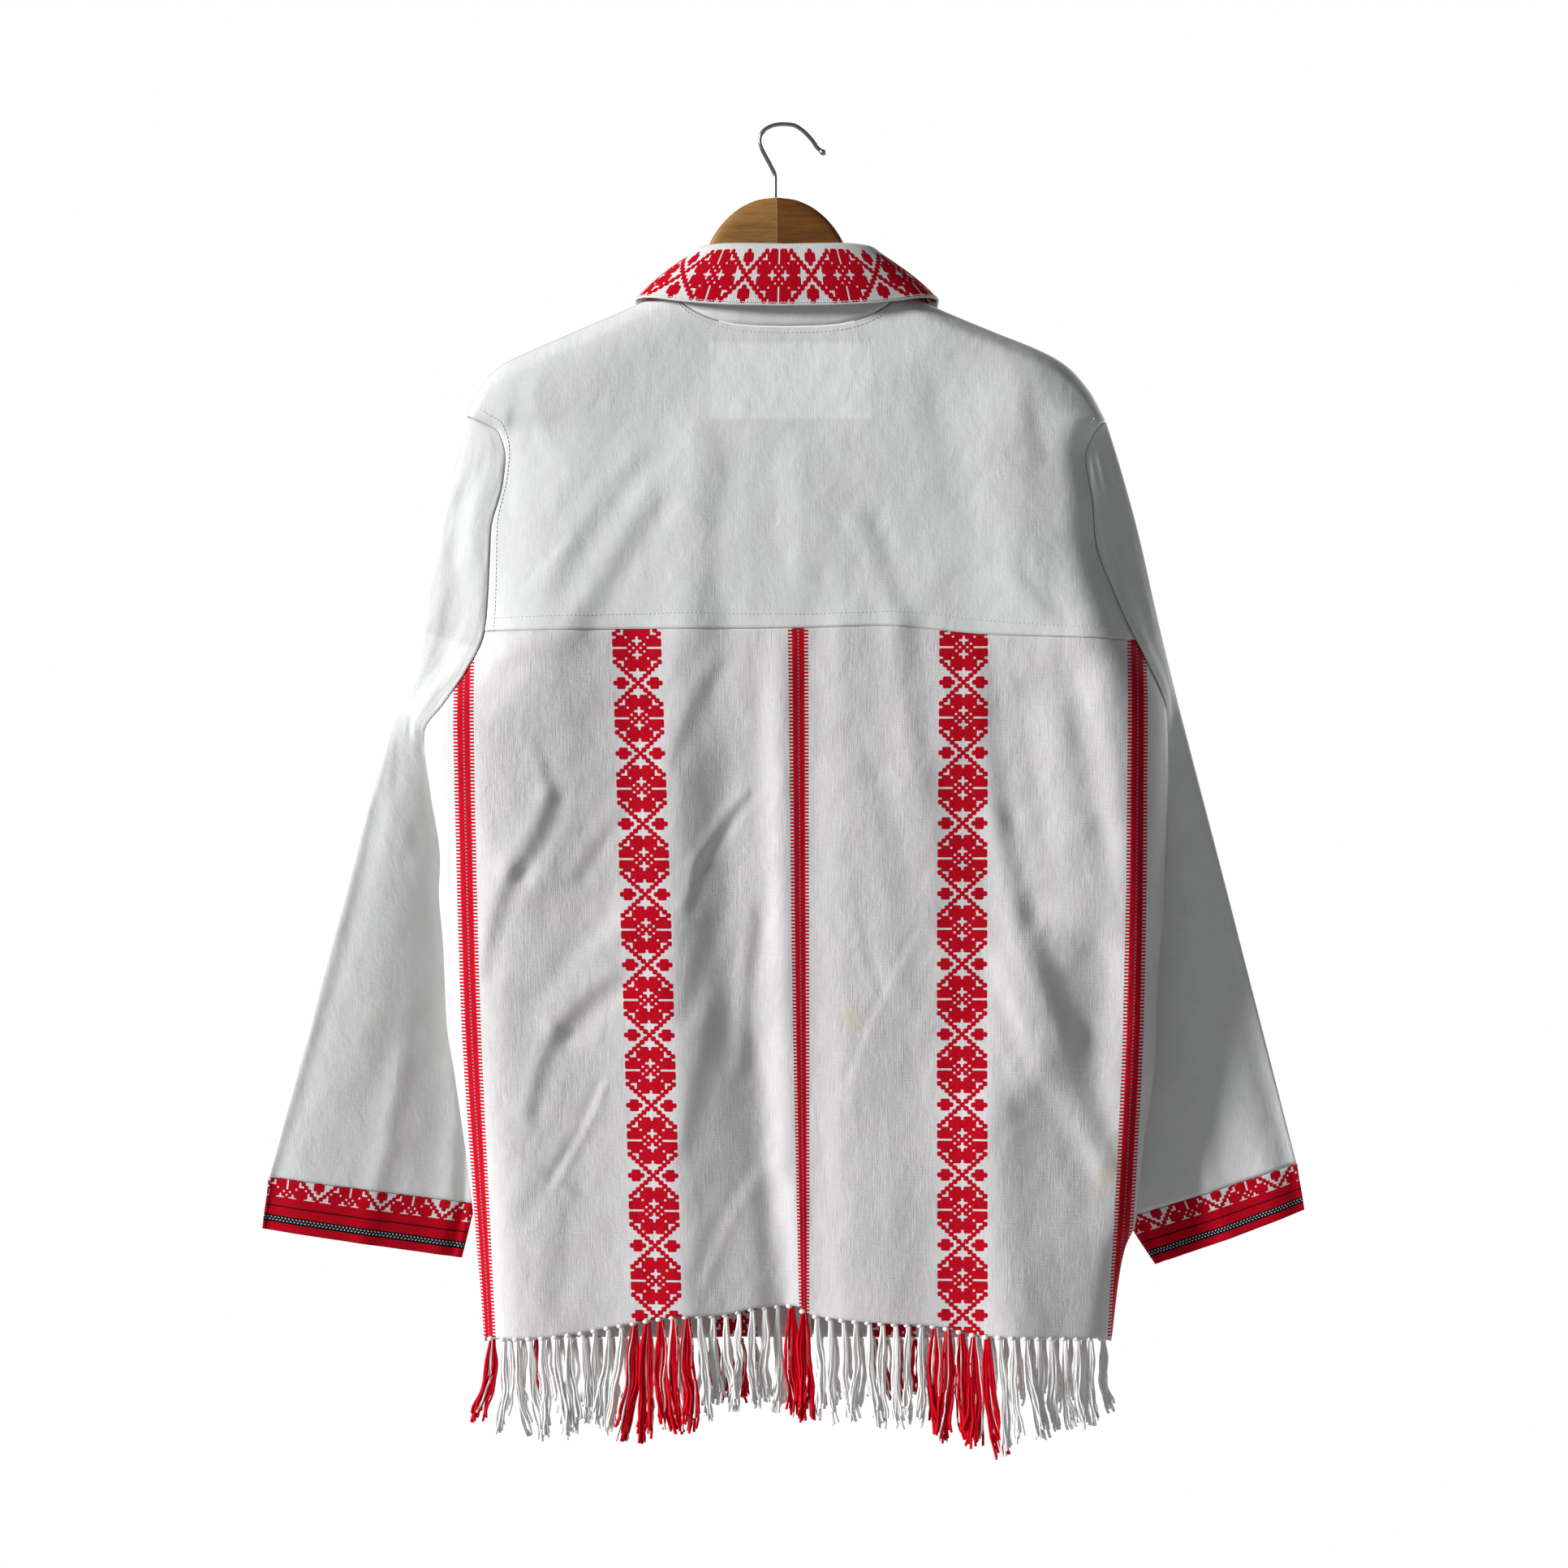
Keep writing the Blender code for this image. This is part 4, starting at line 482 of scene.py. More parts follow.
class BodyForm:
    """Outer form of the hanging body, shared by every panel and sleeve."""

    def __init__(self) -> None:
        """Split the outline tables at the shoulder ends."""
        self.tables = {Half.LEFT: np.array(LEFT_EDGE), Half.RIGHT: np.array(RIGHT_EDGE)}
        left = self.tables[Half.LEFT][:RIDGE_ROWS[Half.LEFT]][::-1][:, ::-1]
        right = self.tables[Half.RIGHT][:RIDGE_ROWS[Half.RIGHT]][:, ::-1]
        self.ridge_data = np.concatenate([left, right])

    def edge(self, half: Half, drop: Array) -> Array:
        """Outline x at a drop: shoulder line, armhole seam, then side seam."""
        data = self.tables[half]
        count = RIDGE_ROWS[half] - 1
        lower = data[count:]
        above = np.interp(drop, data[:count + 1, 0], data[:count + 1, 1])
        return np.where(np.asarray(drop) < lower[0, 0], above, flow(drop, lower[:, 0], lower[:, 1]))

    def ridge(self, x: Array) -> Array:
        """Drop of the shoulder line at x."""
        return flow(x, self.ridge_data[:, 0], self.ridge_data[:, 1])

    def depth(self, x: Array, drop: Array, side: Side, fine: bool = True) -> Array:
        """Distance of the body's outer face from the middle plane.

        Args:
            x: Places across the garment in mm.
            drop: Places down the garment in mm.
            side: Back or front.
            fine: Whether the small creases are added.

        Returns:
            The distance in mm, in the shape of x.
        """
        x = np.asarray(x, dtype=float)
        drop = np.asarray(drop, dtype=float)
        low = self.edge(Half.LEFT, drop)
        high = self.edge(Half.RIGHT, drop)
        across = np.clip(np.abs(2.0 * (x - low) / (high - low) - 1.0), 0.0, 1.0)
        middle = read(drop, DEPTH)
        shares = []
        for half in Half:
            start = SHOULDER_DROP[half]
            shares.append((drop - start) / (ARMPIT_DROP[half] - start))
        hole = read(np.where(2.0 * x < low + high, shares[0], shares[1]), HOLE_DEPTH)
        power = read(drop, SECTION_POWER) * np.where(2.0 * x > low + high, FLAT_RIGHT, 1.0)
        depth = hole + (middle - hole) * (1.0 - across ** power)
        below = drop - self.ridge(x)
        back = side is Side.BACK
        table = BACK_FOLDS if back else FRONT_FOLDS
        depth = depth + folds(x, drop, table) * (1.0 - across ** FOLD_CALM) * smooth(below / RIDGE_CALM)
        if fine:
            room = (1.0 - across ** CRUMPLE_CALM) * smooth(below / RIDGE_CALM)
            seed = 11 if back else 47
            lean = x * 0.8 + drop * 0.6
            cross = drop * 0.8 - x * 0.6
            depth = depth + room * CRUMPLE[0] * ripple(lean, cross * 0.55, 62.0, seed)
            depth = depth + room * CRUMPLE[1] * ripple(lean * 0.9, cross * 0.6, 24.0, seed + 1)
            depth = depth + room * CRUMPLE[2] * ripple(x, drop * 0.8, 10.0, seed + 2)
        round_share = np.clip(below / RIDGE_RADIUS, 0.0, 1.0)
        return PINCH + np.maximum(depth, 0.0) * np.sqrt(1.0 - (1.0 - round_share) ** 2)

    def points(self, x: Array, drop: Array, side: Side, out: float = 0.0) -> Array:
        """Points on the body's outer face, moved out by a distance in mm."""
        return np.stack([x, side.value * (self.depth(x, drop, side) + out), -drop], axis=-1)

    def shoulder(self, half: Half, shares: Array) -> Array:
        """Shoulder seam from its outer end to the neck, as x and drop."""
        neck_x = COLLAR_X + half.value * BACK_NECK[-1][0]
        data = self.ridge_data
        if half is Half.LEFT:
            inside = data[data[:, 0] < neck_x]
        else:
            inside = data[data[:, 0] > neck_x][::-1]
        line = np.concatenate([inside, [[neck_x, float(self.ridge(neck_x))]]])
        return run_along(line, shares)

    def neck(self, table: Table, half: Half, shares: Array) -> Array:
        """Half of the neck seam as x and drop, in the order of its table."""
        data = np.array(table)
        line = np.stack([COLLAR_X + half.value * data[:, 0], data[:, 1]], axis=-1)
        ends = data[:, 0] >= BACK_NECK[-1][0]
        line[ends, 1] = self.ridge(line[ends, 0])
        return run_along(line, shares)


FORM = BodyForm()


def patch(top: Array, bottom: Array, left: Array, right: Array,
          across: Array, down: Array, fade: float) -> Array:
    """Fill four edges given as x and drop; the side curves fade inwards."""
    u = across[None, :, None]
    v = down[:, None, None]
    straight = (1 - v) * top[None] + v * bottom[None]
    left_turn = left[:, None] - straight[:, :1]
    right_turn = right[:, None] - straight[:, -1:]
    return straight + (1 - u) ** fade * left_turn + u ** fade * right_turn


def rows_at(table: Table, column: int, down: Array) -> Array:
    """Drops of a panel's side edge at shares of its height."""
    data = np.array(table)
    return np.interp(down, data[:, 0], data[:, column])


def running(line: Array) -> Array:
    """Running length of a line of points."""
    steps = np.linalg.norm(np.diff(line, axis=0), axis=1)
    return np.concatenate([[0.0], np.cumsum(steps)])


def lengths(line: Array) -> Array:
    """Running length of a line of points as shares."""
    made = running(line)
    return made / made[-1]


def linear(colour: str) -> tuple[float, float, float, float]:
    """Turn an sRGB hex colour into linear RGBA."""
    channels = [int(colour[k:k + 2], 16) / 255.0 for k in (1, 3, 5)]
    turned = [c / 12.92 if c <= 0.04045 else ((c + 0.055) / 1.055) ** 2.4 for c in channels]
    return (turned[0], turned[1], turned[2], 1.0)


def node(tree: Tree, kind: str, *inputs: Input, out: Union[int, str] = 0,
         named: Optional[dict[str, Input]] = None, **settings: object) -> Socket:
    """Add one node with its settings and links.

    Args:
        tree: Tree that the node joins.
        kind: The node's type name.
        inputs: Values or sockets for its first inputs, None to skip one.
        out: Which output to return.
        named: Values or sockets for inputs by name.
        settings: Attributes of the node.

    Returns:
        The chosen output socket.
    """
    made = tree.nodes.new(kind)
    for key, value in settings.items():
        setattr(made, key, value)
    wanted = list(enumerate(inputs)) + list((named or {}).items())
    for key, value in wanted:
        if value is None:
            continue
        target = find(made.inputs, key)
        if isinstance(value, bpy.types.NodeSocket):
            tree.links.new(value, target)
        else:
            target.default_value = value
    return find(made.outputs, out) if len(made.outputs) else made


def find(sockets: Sequence[Socket], key: Union[int, str]) -> Socket:
    """Pick a socket by its place, identifier or name."""
    if isinstance(key, int):
        return sockets[key]
    return next(s for s in sockets if key in (s.identifier, s.name))


def blend(tree: Tree, share: Input, low: Input, high: Input) -> Socket:
    """Mix two colours by a share."""
    return node(tree, MIX, data_type="RGBA", out="Result_Color",
                named={"Factor_Float": share, "A_Color": low, "B_Color": high})


def calc(tree: Tree, operation: str, *values: Union[Socket, float]) -> Socket:
    """Add one sum of a shader, such as ADD or LESS_THAN, over its values."""
    return node(tree, MATH, *values, operation=operation)


@dataclass(frozen=True)
class Surface:
    """Constants of a shader's own sockets."""

    roughness: float = 0.85
    metallic: float = 0.0
    ior: float = 1.16
    sheen: float = 0.0
    sheen_roughness: float = 0.5
    coat: float = 0.0
    coat_roughness: float = 0.1


def start(name: str, surface: Surface) -> tuple[Paint, Tree, bpy.types.Node]:
    """Make an empty material with one shader whose constants are set."""
    made = bpy.data.materials.new(name)
    made.use_nodes = True
    tree = made.node_tree
    tree.nodes.clear()
    shader = tree.nodes.new("ShaderNodeBsdfPrincipled")
    output = tree.nodes.new("ShaderNodeOutputMaterial")
    tree.links.new(shader.outputs[0], output.inputs[0])
    values = {
        "Roughness": surface.roughness, "Metallic": surface.metallic, "IOR": surface.ior,
        "Sheen Weight": surface.sheen, "Sheen Roughness": surface.sheen_roughness,
        "Coat Weight": surface.coat, "Coat Roughness": surface.coat_roughness,
    }
    for key, value in values.items():
        shader.inputs[key].default_value = value
    return made, tree, shader


def noise_on(tree: Tree, place: Socket, scale: float, detail: float, roughness: float = 0.5,
             twist: float = 0.0) -> Socket:
    """Noise over a coordinate, as a share."""
    return node(tree, "ShaderNodeTexNoise", place, None, scale, detail, roughness,
                named={"Distortion": twist})


def cloth_axes(tree: Tree) -> tuple[Socket, Socket, Socket]:
    """The piece's UV map in metres, with its two axes."""
    uv = node(tree, "ShaderNodeUVMap", uv_map="UVMap")
    split = tree.nodes.new("ShaderNodeSeparateXYZ")
    tree.links.new(uv, split.inputs[0])
    return uv, split.outputs[0], split.outputs[1]


def dyed_red(tree: Tree, uv: Socket) -> Socket:
    """Red of the floats, which take the dye unevenly."""
    shade = noise_on(tree, uv, 420.0, 2.0)
    return blend(tree, shade, linear(RED_DEEP), linear(RED_BRIGHT))


def paint(tree: Tree, shader: bpy.types.Node, share: Socket, low: str, high: str) -> None:
    """Colour a shader between two sRGB colours by a share."""
    tree.links.new(blend(tree, share, linear(low), linear(high)), shader.inputs["Base Color"])


def raise_surface(tree: Tree, shader: bpy.types.Node, height: Socket, strength: float,
                  distance: float, under: Optional[Socket] = None) -> None:
    """Turn a height into the shader's normal.

    Args:
        tree: Tree of the material.
        shader: The material's shader.
        height: Height to raise.
        strength: Strength of the bump.
        distance: Height in metres that a value of one stands for.
        under: Normal that the bump lies on, if any.
    """
    bump = node(tree, "ShaderNodeBump",
                named={"Strength": strength, "Distance": distance, "Height": height, "Normal": under})
    tree.links.new(bump, shader.inputs["Normal"])


@dataclass(frozen=True)
class RosetteBand:
    """A woven rosette band on a piece's UV map, sizes in metres.

    The chart is of a common traditional lattice of rosettes. Each red float is puffed, so it
    covers part of the white stitches beside it.
    """

    column: float = 0.0027
    row: float = 0.00262
    phase: float = 0.0
    puff: float = 0.22

    def chart(self) -> Tree:
        """Build the group that looks one stitch up in the chart."""
        tree = bpy.data.node_groups.new("rosette_chart", "ShaderNodeTree")
        for key in ("Across", "Along"):
            tree.interface.new_socket(key, in_out="INPUT", socket_type="NodeSocketFloat")
        tree.interface.new_socket("Red", in_out="OUTPUT", socket_type="NodeSocketFloat")
        given = tree.nodes.new(GROUP_IN)
        size = calc(tree, "ABSOLUTE", given.outputs["Across"])
        column = calc(tree, "ADD", size, 0.5)
        column = calc(tree, "FLOOR", column)
        last = float(len(ROSETTE_CHART) - 1)
        place = calc(tree, "PINGPONG", given.outputs["Along"], last)
        place = calc(tree, "ADD", place, 0.5)
        place = calc(tree, "FLOOR", place)
        place = calc(tree, "ADD", place, 0.5)
        place = calc(tree, "DIVIDE", place, float(len(ROSETTE_CHART)))
        ramp = tree.nodes.new("ShaderNodeValToRGB")
        tree.links.new(place, ramp.inputs[0])
        ramp.color_ramp.interpolation = "CONSTANT"
        stops = ramp.color_ramp.elements
        for index, text in enumerate(ROSETTE_CHART):
            bits = sum(2 ** c for c, letter in enumerate(text) if letter == "#") / CHART_BITS
            stop = stops[0] if index == 0 else stops.new(index / len(ROSETTE_CHART))
            stop.color = (bits, bits, bits, 1.0)
        stops.remove(stops[-1])
        bits = calc(tree, "MULTIPLY", ramp.outputs[0], CHART_BITS)
        bits = calc(tree, "ROUND", bits)
        power = calc(tree, "POWER", 2.0, column)
        bits = calc(tree, "DIVIDE", bits, power)
        bits = calc(tree, "FLOOR", bits)
        bit = calc(tree, "FLOORED_MODULO", bits, 2.0)
        inside = calc(tree, "LESS_THAN", column, len(ROSETTE_CHART[0]) - 0.5)
        node(tree, GROUP_OUT, calc(tree, "MULTIPLY", bit, inside))
        return tree

    def masks(self, tree: Tree, across: Socket, along: Socket) -> tuple[Socket, Socket]:
        """Mark the red stitches.

        Args:
            tree: Tree of the material.
            across: Distance from the band's middle, in metres.
            along: Distance along the band, in metres.

        Returns:
            A socket that is 1 on a red float and 0 elsewhere, and the floats' rounded height.
        """
        group = self.chart()
        column = calc(tree, "DIVIDE", across, self.column)
        place = calc(tree, "SUBTRACT", along, self.phase)
        place = calc(tree, "DIVIDE", place, self.row)
        red = None
        height = None
        for step_column, step_row in ((0.0, 0.0), (1.0, 0.0), (-1.0, 0.0), (0.0, 1.0), (0.0, -1.0)):
            look = tree.nodes.new("ShaderNodeGroup")
            look.node_tree = group
            moved = (calc(tree, "ADD", column, step_column * self.puff),
                     calc(tree, "ADD", place, step_row * self.puff))
            for socket, value in zip(look.inputs, moved):
                tree.links.new(value, socket)
            found = look.outputs[0]
            red = found if red is None else calc(tree, "MAXIMUM", red, found)
            height = found if height is None else calc(tree, "ADD", height, found)
        return red, calc(tree, "MULTIPLY", height, 0.2)


@dataclass(frozen=True)
class StripeAt:
    """One woven stripe of a panel, in cloth coordinates in metres."""

    middle: float
    rosettes: bool
    phase: float = 0.0


@dataclass(frozen=True)
class WovenCotton:
    """White hand-woven cotton: slubs, an uneven yarn and a soft matte nap.

    The real threads lie 0.5 mm apart, too fine to show, so the weave is drawn at thread_mm.
    """

    name: str
    warm: str
    cool: str
    thread_mm: float
    slub: float
    bump: float
    crumple: float = 0.0011
    stripes: tuple[StripeAt, ...] = ()
    stripes_from: float = -10.0
    stains: tuple[tuple[float, float, float], ...] = ()
    pale_patch: tuple[float, float, float, float] = ()

    def make(self) -> Paint:
        """Build the material on the piece's UV map in metres."""
        made, tree, shader = start(self.name, Surface(roughness=0.9, sheen=0.04, sheen_roughness=0.6))
        uv, across, down = cloth_axes(tree)
        tone = noise_on(tree, uv, 14.0, 3.0, 0.6)
        colour = blend(tree, tone, linear(self.warm), linear(self.cool))
        weft = node(tree, "ShaderNodeMapping", uv, None, None, (60.0, 1300.0, 1.0))
        warp = node(tree, "ShaderNodeMapping", uv, None, None, (1100.0, 45.0, 1.0))
        slub_weft = noise_on(tree, weft, 1.0, 2.0, 0.6)
        slub_warp = noise_on(tree, warp, 1.0, 2.0, 0.6)
        slubs = calc(tree, "ADD", slub_weft, slub_warp)
        dark = node(tree, "ShaderNodeMapRange", slubs, 0.8, 1.3, 1.0 - self.slub, 1.0 + self.slub * 0.5)
        dark = node(tree, "ShaderNodeCombineColor", dark, dark, dark)
        colour = node(tree, MIX, data_type="RGBA", blend_type="MULTIPLY", out="Result_Color",
                      named={"Factor_Float": 1.0, "A_Color": colour, "B_Color": dark})
        for x, drop, reach in self.stains:
            spot = node(tree, "ShaderNodeVectorMath", uv, (x, drop, 0.0), operation="DISTANCE", out=1)
            spot = node(tree, "ShaderNodeMapRange", spot, 0.0, reach, 0.4, 0.0)
            colour = blend(tree, spot, colour, linear(STAIN_TAN))
        if self.pale_patch:
            colour = self.pale(tree, across, down, colour)
        height = self.weave(tree, across, down, slubs)
        colour, height = self.dress_stripes(tree, across, down, colour, height)
        tree.links.new(colour, shader.inputs["Base Color"])
        turned = node(tree, "ShaderNodeMapping", uv, None, (0.0, 0.0, 0.7), (52.0, 38.0, 1.0))
        crumple = noise_on(tree, turned, 1.0, 5.0, 0.6, 0.2)
        broad = node(tree, "ShaderNodeBump",
                     named={"Strength": 1.0, "Distance": self.crumple, "Height": crumple})
        raise_surface(tree, shader, height, self.bump, THREAD_HEIGHT, broad)
        return made

    def weave(self, tree: Tree, across: Socket, down: Socket, slubs: Socket) -> Socket:
        """Height of the crossing threads with their slubs."""
        turn = 2.0 * math.pi / (self.thread_mm * MM)
        waves = []
        for place in (across, down):
            angle = calc(tree, "MULTIPLY", place, turn)
            waves.append(calc(tree, "SINE", angle))
        cross = calc(tree, "MULTIPLY", waves[0], waves[1])
        return calc(tree, "MULTIPLY_ADD", cross, 0.25, slubs)

    def pale(self, tree: Tree, across: Socket, down: Socket, colour: Socket) -> Socket:
        """Lighten the doubled cloth of a plain patch behind the sheet."""
        x0, x1, drop0, drop1 = self.pale_patch
        masks = []
        for place, low, high in ((across, x0, x1), (down, drop0, drop1)):
            middle = calc(tree, "SUBTRACT", place, (low + high) / 2)
            middle = calc(tree, "ABSOLUTE", middle)
            half = (high - low) / 2
            masks.append(node(tree, "ShaderNodeMapRange", middle, half - 0.003, half + 0.001, 1.0, 0.0))
        mask = calc(tree, "MULTIPLY", masks[0], masks[1])
        mask = calc(tree, "MULTIPLY", mask, 0.6)
        return blend(tree, mask, colour, linear(PATCH_WHITE))

    def dress_stripes(self, tree: Tree, across: Socket, down: Socket, colour: Socket,
                      height: Socket) -> tuple[Socket, Socket]:
        """Add the woven stripes to the colour and the height."""
        if not self.stripes:
            return colour, height
        begins = calc(tree, "GREATER_THAN", down, self.stripes_from)
        red = dyed_red(tree, node(tree, "ShaderNodeUVMap", uv_map="UVMap"))
        raised = None
        for stripe in self.stripes:
            place = calc(tree, "SUBTRACT", across, stripe.middle)
            line = dots = None
            if stripe.rosettes:
                mask, lift = RosetteBand(phase=stripe.phase).masks(tree, place, down)
            else:
                mask, line, dots = NarrowStripe().masks(tree, place, down)
                lift = mask
            mask = calc(tree, "MULTIPLY", mask, begins)
            lift = calc(tree, "MULTIPLY", lift, begins)
            halo = calc(tree, "MULTIPLY", lift, 0.8)
            colour = blend(tree, halo, colour, linear(PINK_HALO))
            colour = blend(tree, mask, colour, red)
            if line is not None:
                line = calc(tree, "MULTIPLY", line, begins)
                dots = calc(tree, "MULTIPLY", dots, begins)
                colour = blend(tree, line, colour, linear(MAROON_LINE))
                colour = blend(tree, dots, colour, linear(DOT_PINK))
            raised = lift if raised is None else calc(tree, "ADD", raised, lift)
        height = calc(tree, "MULTIPLY_ADD", raised, 0.9, height)
        return colour, height


@dataclass(frozen=True)
class NarrowStripe:
    """A narrow red stripe: two full columns, a dotted middle line and comb teeth, in metres."""

    line: float = 0.0005
    column: float = 0.0040
    root: float = 0.0046
    teeth: float = 0.0074
    pitch: float = 0.0026
    root_red: float = 0.8

    def masks(self, tree: Tree, across: Socket,
              along: Socket) -> tuple[Socket, Socket, Socket]:
        """Masks of the red parts, of the middle line and of the white dots on it."""
        reach = calc(tree, "ABSOLUTE", across)
        beat = calc(tree, "DIVIDE", along, self.pitch)
        beat = calc(tree, "FRACT", beat)
        tooth = calc(tree, "LESS_THAN", beat, 0.55)
        full = calc(tree, "LESS_THAN", reach, self.column)
        root = calc(tree, "LESS_THAN", reach, self.root)
        root = calc(tree, "MULTIPLY", root, self.root_red)
        teeth = calc(tree, "LESS_THAN", reach, self.teeth)
        comb = calc(tree, "MULTIPLY", tooth, teeth)
        red = calc(tree, "MAXIMUM", calc(tree, "MAXIMUM", full, root), comb)
        line = calc(tree, "LESS_THAN", reach, self.line)
        return red, line, calc(tree, "MULTIPLY", line, tooth)


@dataclass(frozen=True)
class BandCotton:
    """Woven band for the collar's leaf and the cuffs: raised red floats on white cotton."""

    name: str
    band: RosetteBand
    middle: float
    cuff: bool

    def make(self) -> Paint:
        """Build the material on a UV map whose V runs across the band."""
        made, tree, shader = start(self.name, Surface(roughness=0.88, sheen=0.03, sheen_roughness=0.6))
        uv, along, depth = cloth_axes(tree)
        place = calc(tree, "SUBTRACT", depth, self.middle)
        mask, height = self.band.masks(tree, place, along)
        inside = calc(tree, "GREATER_THAN", depth, 0.0)
        red = dyed_red(tree, uv)
        tone = noise_on(tree, uv, 300.0, 3.0)
        white = blend(tree, tone, *(linear(white) for white in BAND_WHITES))
        if self.cuff:
            colour, height = self.cuff_rows(tree, along, depth, mask, white, red)
        else:
            mask = calc(tree, "MULTIPLY", mask, inside)
            colour = blend(tree, mask, white, red)
        tree.links.new(colour, shader.inputs["Base Color"])
        turn = 2.0 * math.pi / 0.0013
        angle = calc(tree, "MULTIPLY", along, turn)
        wave = calc(tree, "SINE", angle)
        height = calc(tree, "MULTIPLY_ADD", wave, 0.18, height)
        raise_surface(tree, shader, height, 0.5, THREAD_HEIGHT)
        return made

    def cuff_rows(self, tree: Tree, along: Socket, depth: Socket, mask: Socket,
                  white: Socket, red: Socket) -> tuple[Socket, Socket]:
        """Lay the cuff's red ground, dark line and black and white braid below its half rosettes."""
        ground = calc(tree, "GREATER_THAN", depth, CUFF_GROUND)
        mask = calc(tree, "MAXIMUM", mask, ground)
        colour = blend(tree, mask, white, red)
        line = self.between(tree, depth, CUFF_LINE, CUFF_LINE + CUFF_LINE_WIDTH)
        colour = blend(tree, line, colour, linear(CUFF_MAROON))
        braid = self.between(tree, depth, CUFF_BRAID, CUFF_BRAID + CUFF_BRAID_WIDTH)
        colour = blend(tree, braid, colour, linear(BRAID_BLACK))
        for row, lean in enumerate((0.7, -0.7)):
            low = CUFF_BRAID + CUFF_BRAID_WIDTH * (0.20 + 0.36 * row)
            inside = self.between(tree, depth, low, low + CUFF_BRAID_WIDTH * 0.19)
            turned = calc(tree, "MULTIPLY_ADD", depth, lean, along)
            beat = calc(tree, "DIVIDE", turned, CUFF_BRAID_PITCH)
            beat = calc(tree, "FRACT", beat)
            dash = calc(tree, "LESS_THAN", beat, 0.4)
            dash = calc(tree, "MULTIPLY", dash, inside)
            colour = blend(tree, dash, colour, linear(BRAID_WHITE))
        height = calc(tree, "ADD", mask, braid)
        return colour, height

    def between(self, tree: Tree, value: Socket, low: float, high: float) -> Socket:
        """Mask of the values between two limits."""
        above = calc(tree, "GREATER_THAN", value, low)
        below = calc(tree, "LESS_THAN", value, high)
        return calc(tree, "MULTIPLY", above, below)


@dataclass(frozen=True)
class CottonThread:
    """Loose cotton yarn: matte with fine darker plies along its length."""

    name: str
    pale: str
    deep: str

    def make(self) -> Paint:
        """Build the material on object coordinates."""
        made, tree, shader = start(self.name, Surface(roughness=0.85, sheen=0.08, sheen_roughness=0.5))
        place = node(tree, "ShaderNodeTexCoord", out="Object")
        fine = node(tree, "ShaderNodeMapping", place, None, None, (900.0, 900.0, 160.0))
        noise = noise_on(tree, fine, 1.0, 2.0)
        paint(tree, shader, noise, self.deep, self.pale)
        raise_surface(tree, shader, noise, 0.4, 0.0003)
        return made


@dataclass(frozen=True)
class VarnishedBeech:
    """Turned beech under a satin varnish: long grain along the arm and short dark flecks."""

    name: str
    pale: str
    deep: str
    lean: float

    def make(self) -> Paint:
        """Build the material on object coordinates."""
        surface = Surface(roughness=0.42, ior=1.5, coat=0.25, coat_roughness=0.25)
        made, tree, shader = start(self.name, surface)
        place = node(tree, "ShaderNodeTexCoord", out="Object")
        long = node(tree, "ShaderNodeMapping", place, None, (0.0, self.lean, 0.0), (22.0, 90.0, 240.0))
        grain = noise_on(tree, long, 1.0, 6.0, 0.65, 0.6)
        flecks = node(tree, "ShaderNodeMapping", place, None, (0.0, self.lean, 0.0), (160.0, 600.0, 1500.0))
        fleck = noise_on(tree, flecks, 1.0, 2.0)
        share = node(tree, "ShaderNodeMapRange", grain, 0.32, 0.68, 0.0, 1.0)
        colour = blend(tree, share, linear(self.deep), linear(self.pale))
        dark = node(tree, "ShaderNodeMapRange", fleck, 0.58, 0.72, 0.0, 0.45)
        colour = blend(tree, dark, colour, linear(FLECK_BROWN))
        tree.links.new(colour, shader.inputs["Base Color"])
        raise_surface(tree, shader, grain, 0.15, 0.0004)
        return made


@dataclass(frozen=True)
class DrawnSteel:
    """Drawn steel wire: bright, with faint lengthwise die lines."""

    name: str

    def make(self) -> Paint:
        """Build the material on object coordinates."""
        made, tree, shader = start(self.name, Surface(roughness=0.28, metallic=1.0))
        place = node(tree, "ShaderNodeTexCoord", out="Object")
        noise = noise_on(tree, place, 900.0, 3.0)
        paint(tree, shader, noise, "#8C8E93", "#C3C5C8")
        rough = node(tree, "ShaderNodeMapRange", noise, 0.0, 1.0, 0.2, 0.4)
        tree.links.new(rough, shader.inputs["Roughness"])
        return made


@dataclass(frozen=True)
class ShellButton:
    """Cut shell: pale, glossy and faintly clouded."""

    name: str

    def make(self) -> Paint:
        """Build the material on object coordinates."""
        made, tree, shader = start(self.name, Surface(roughness=0.25, ior=1.53, coat=0.4))
        place = node(tree, "ShaderNodeTexCoord", out="Object")
        noise = noise_on(tree, place, 320.0, 4.0, 0.6, 1.5)
        paint(tree, shader, noise, "#D8D2C6", "#F3EFE8")
        return made


@dataclass(frozen=True)
class PalePlaster:
    """Plain pale floor of the studio."""

    name: str

    def make(self) -> Paint:
        """Build a matte material with a faint cloudiness."""
        made, tree, shader = start(self.name, Surface(roughness=0.95))
        place = node(tree, "ShaderNodeTexCoord", out="Object")
        noise = noise_on(tree, place, 2.0, 3.0)
        paint(tree, shader, noise, "#EDEDED", "#F4F4F4")
        return made


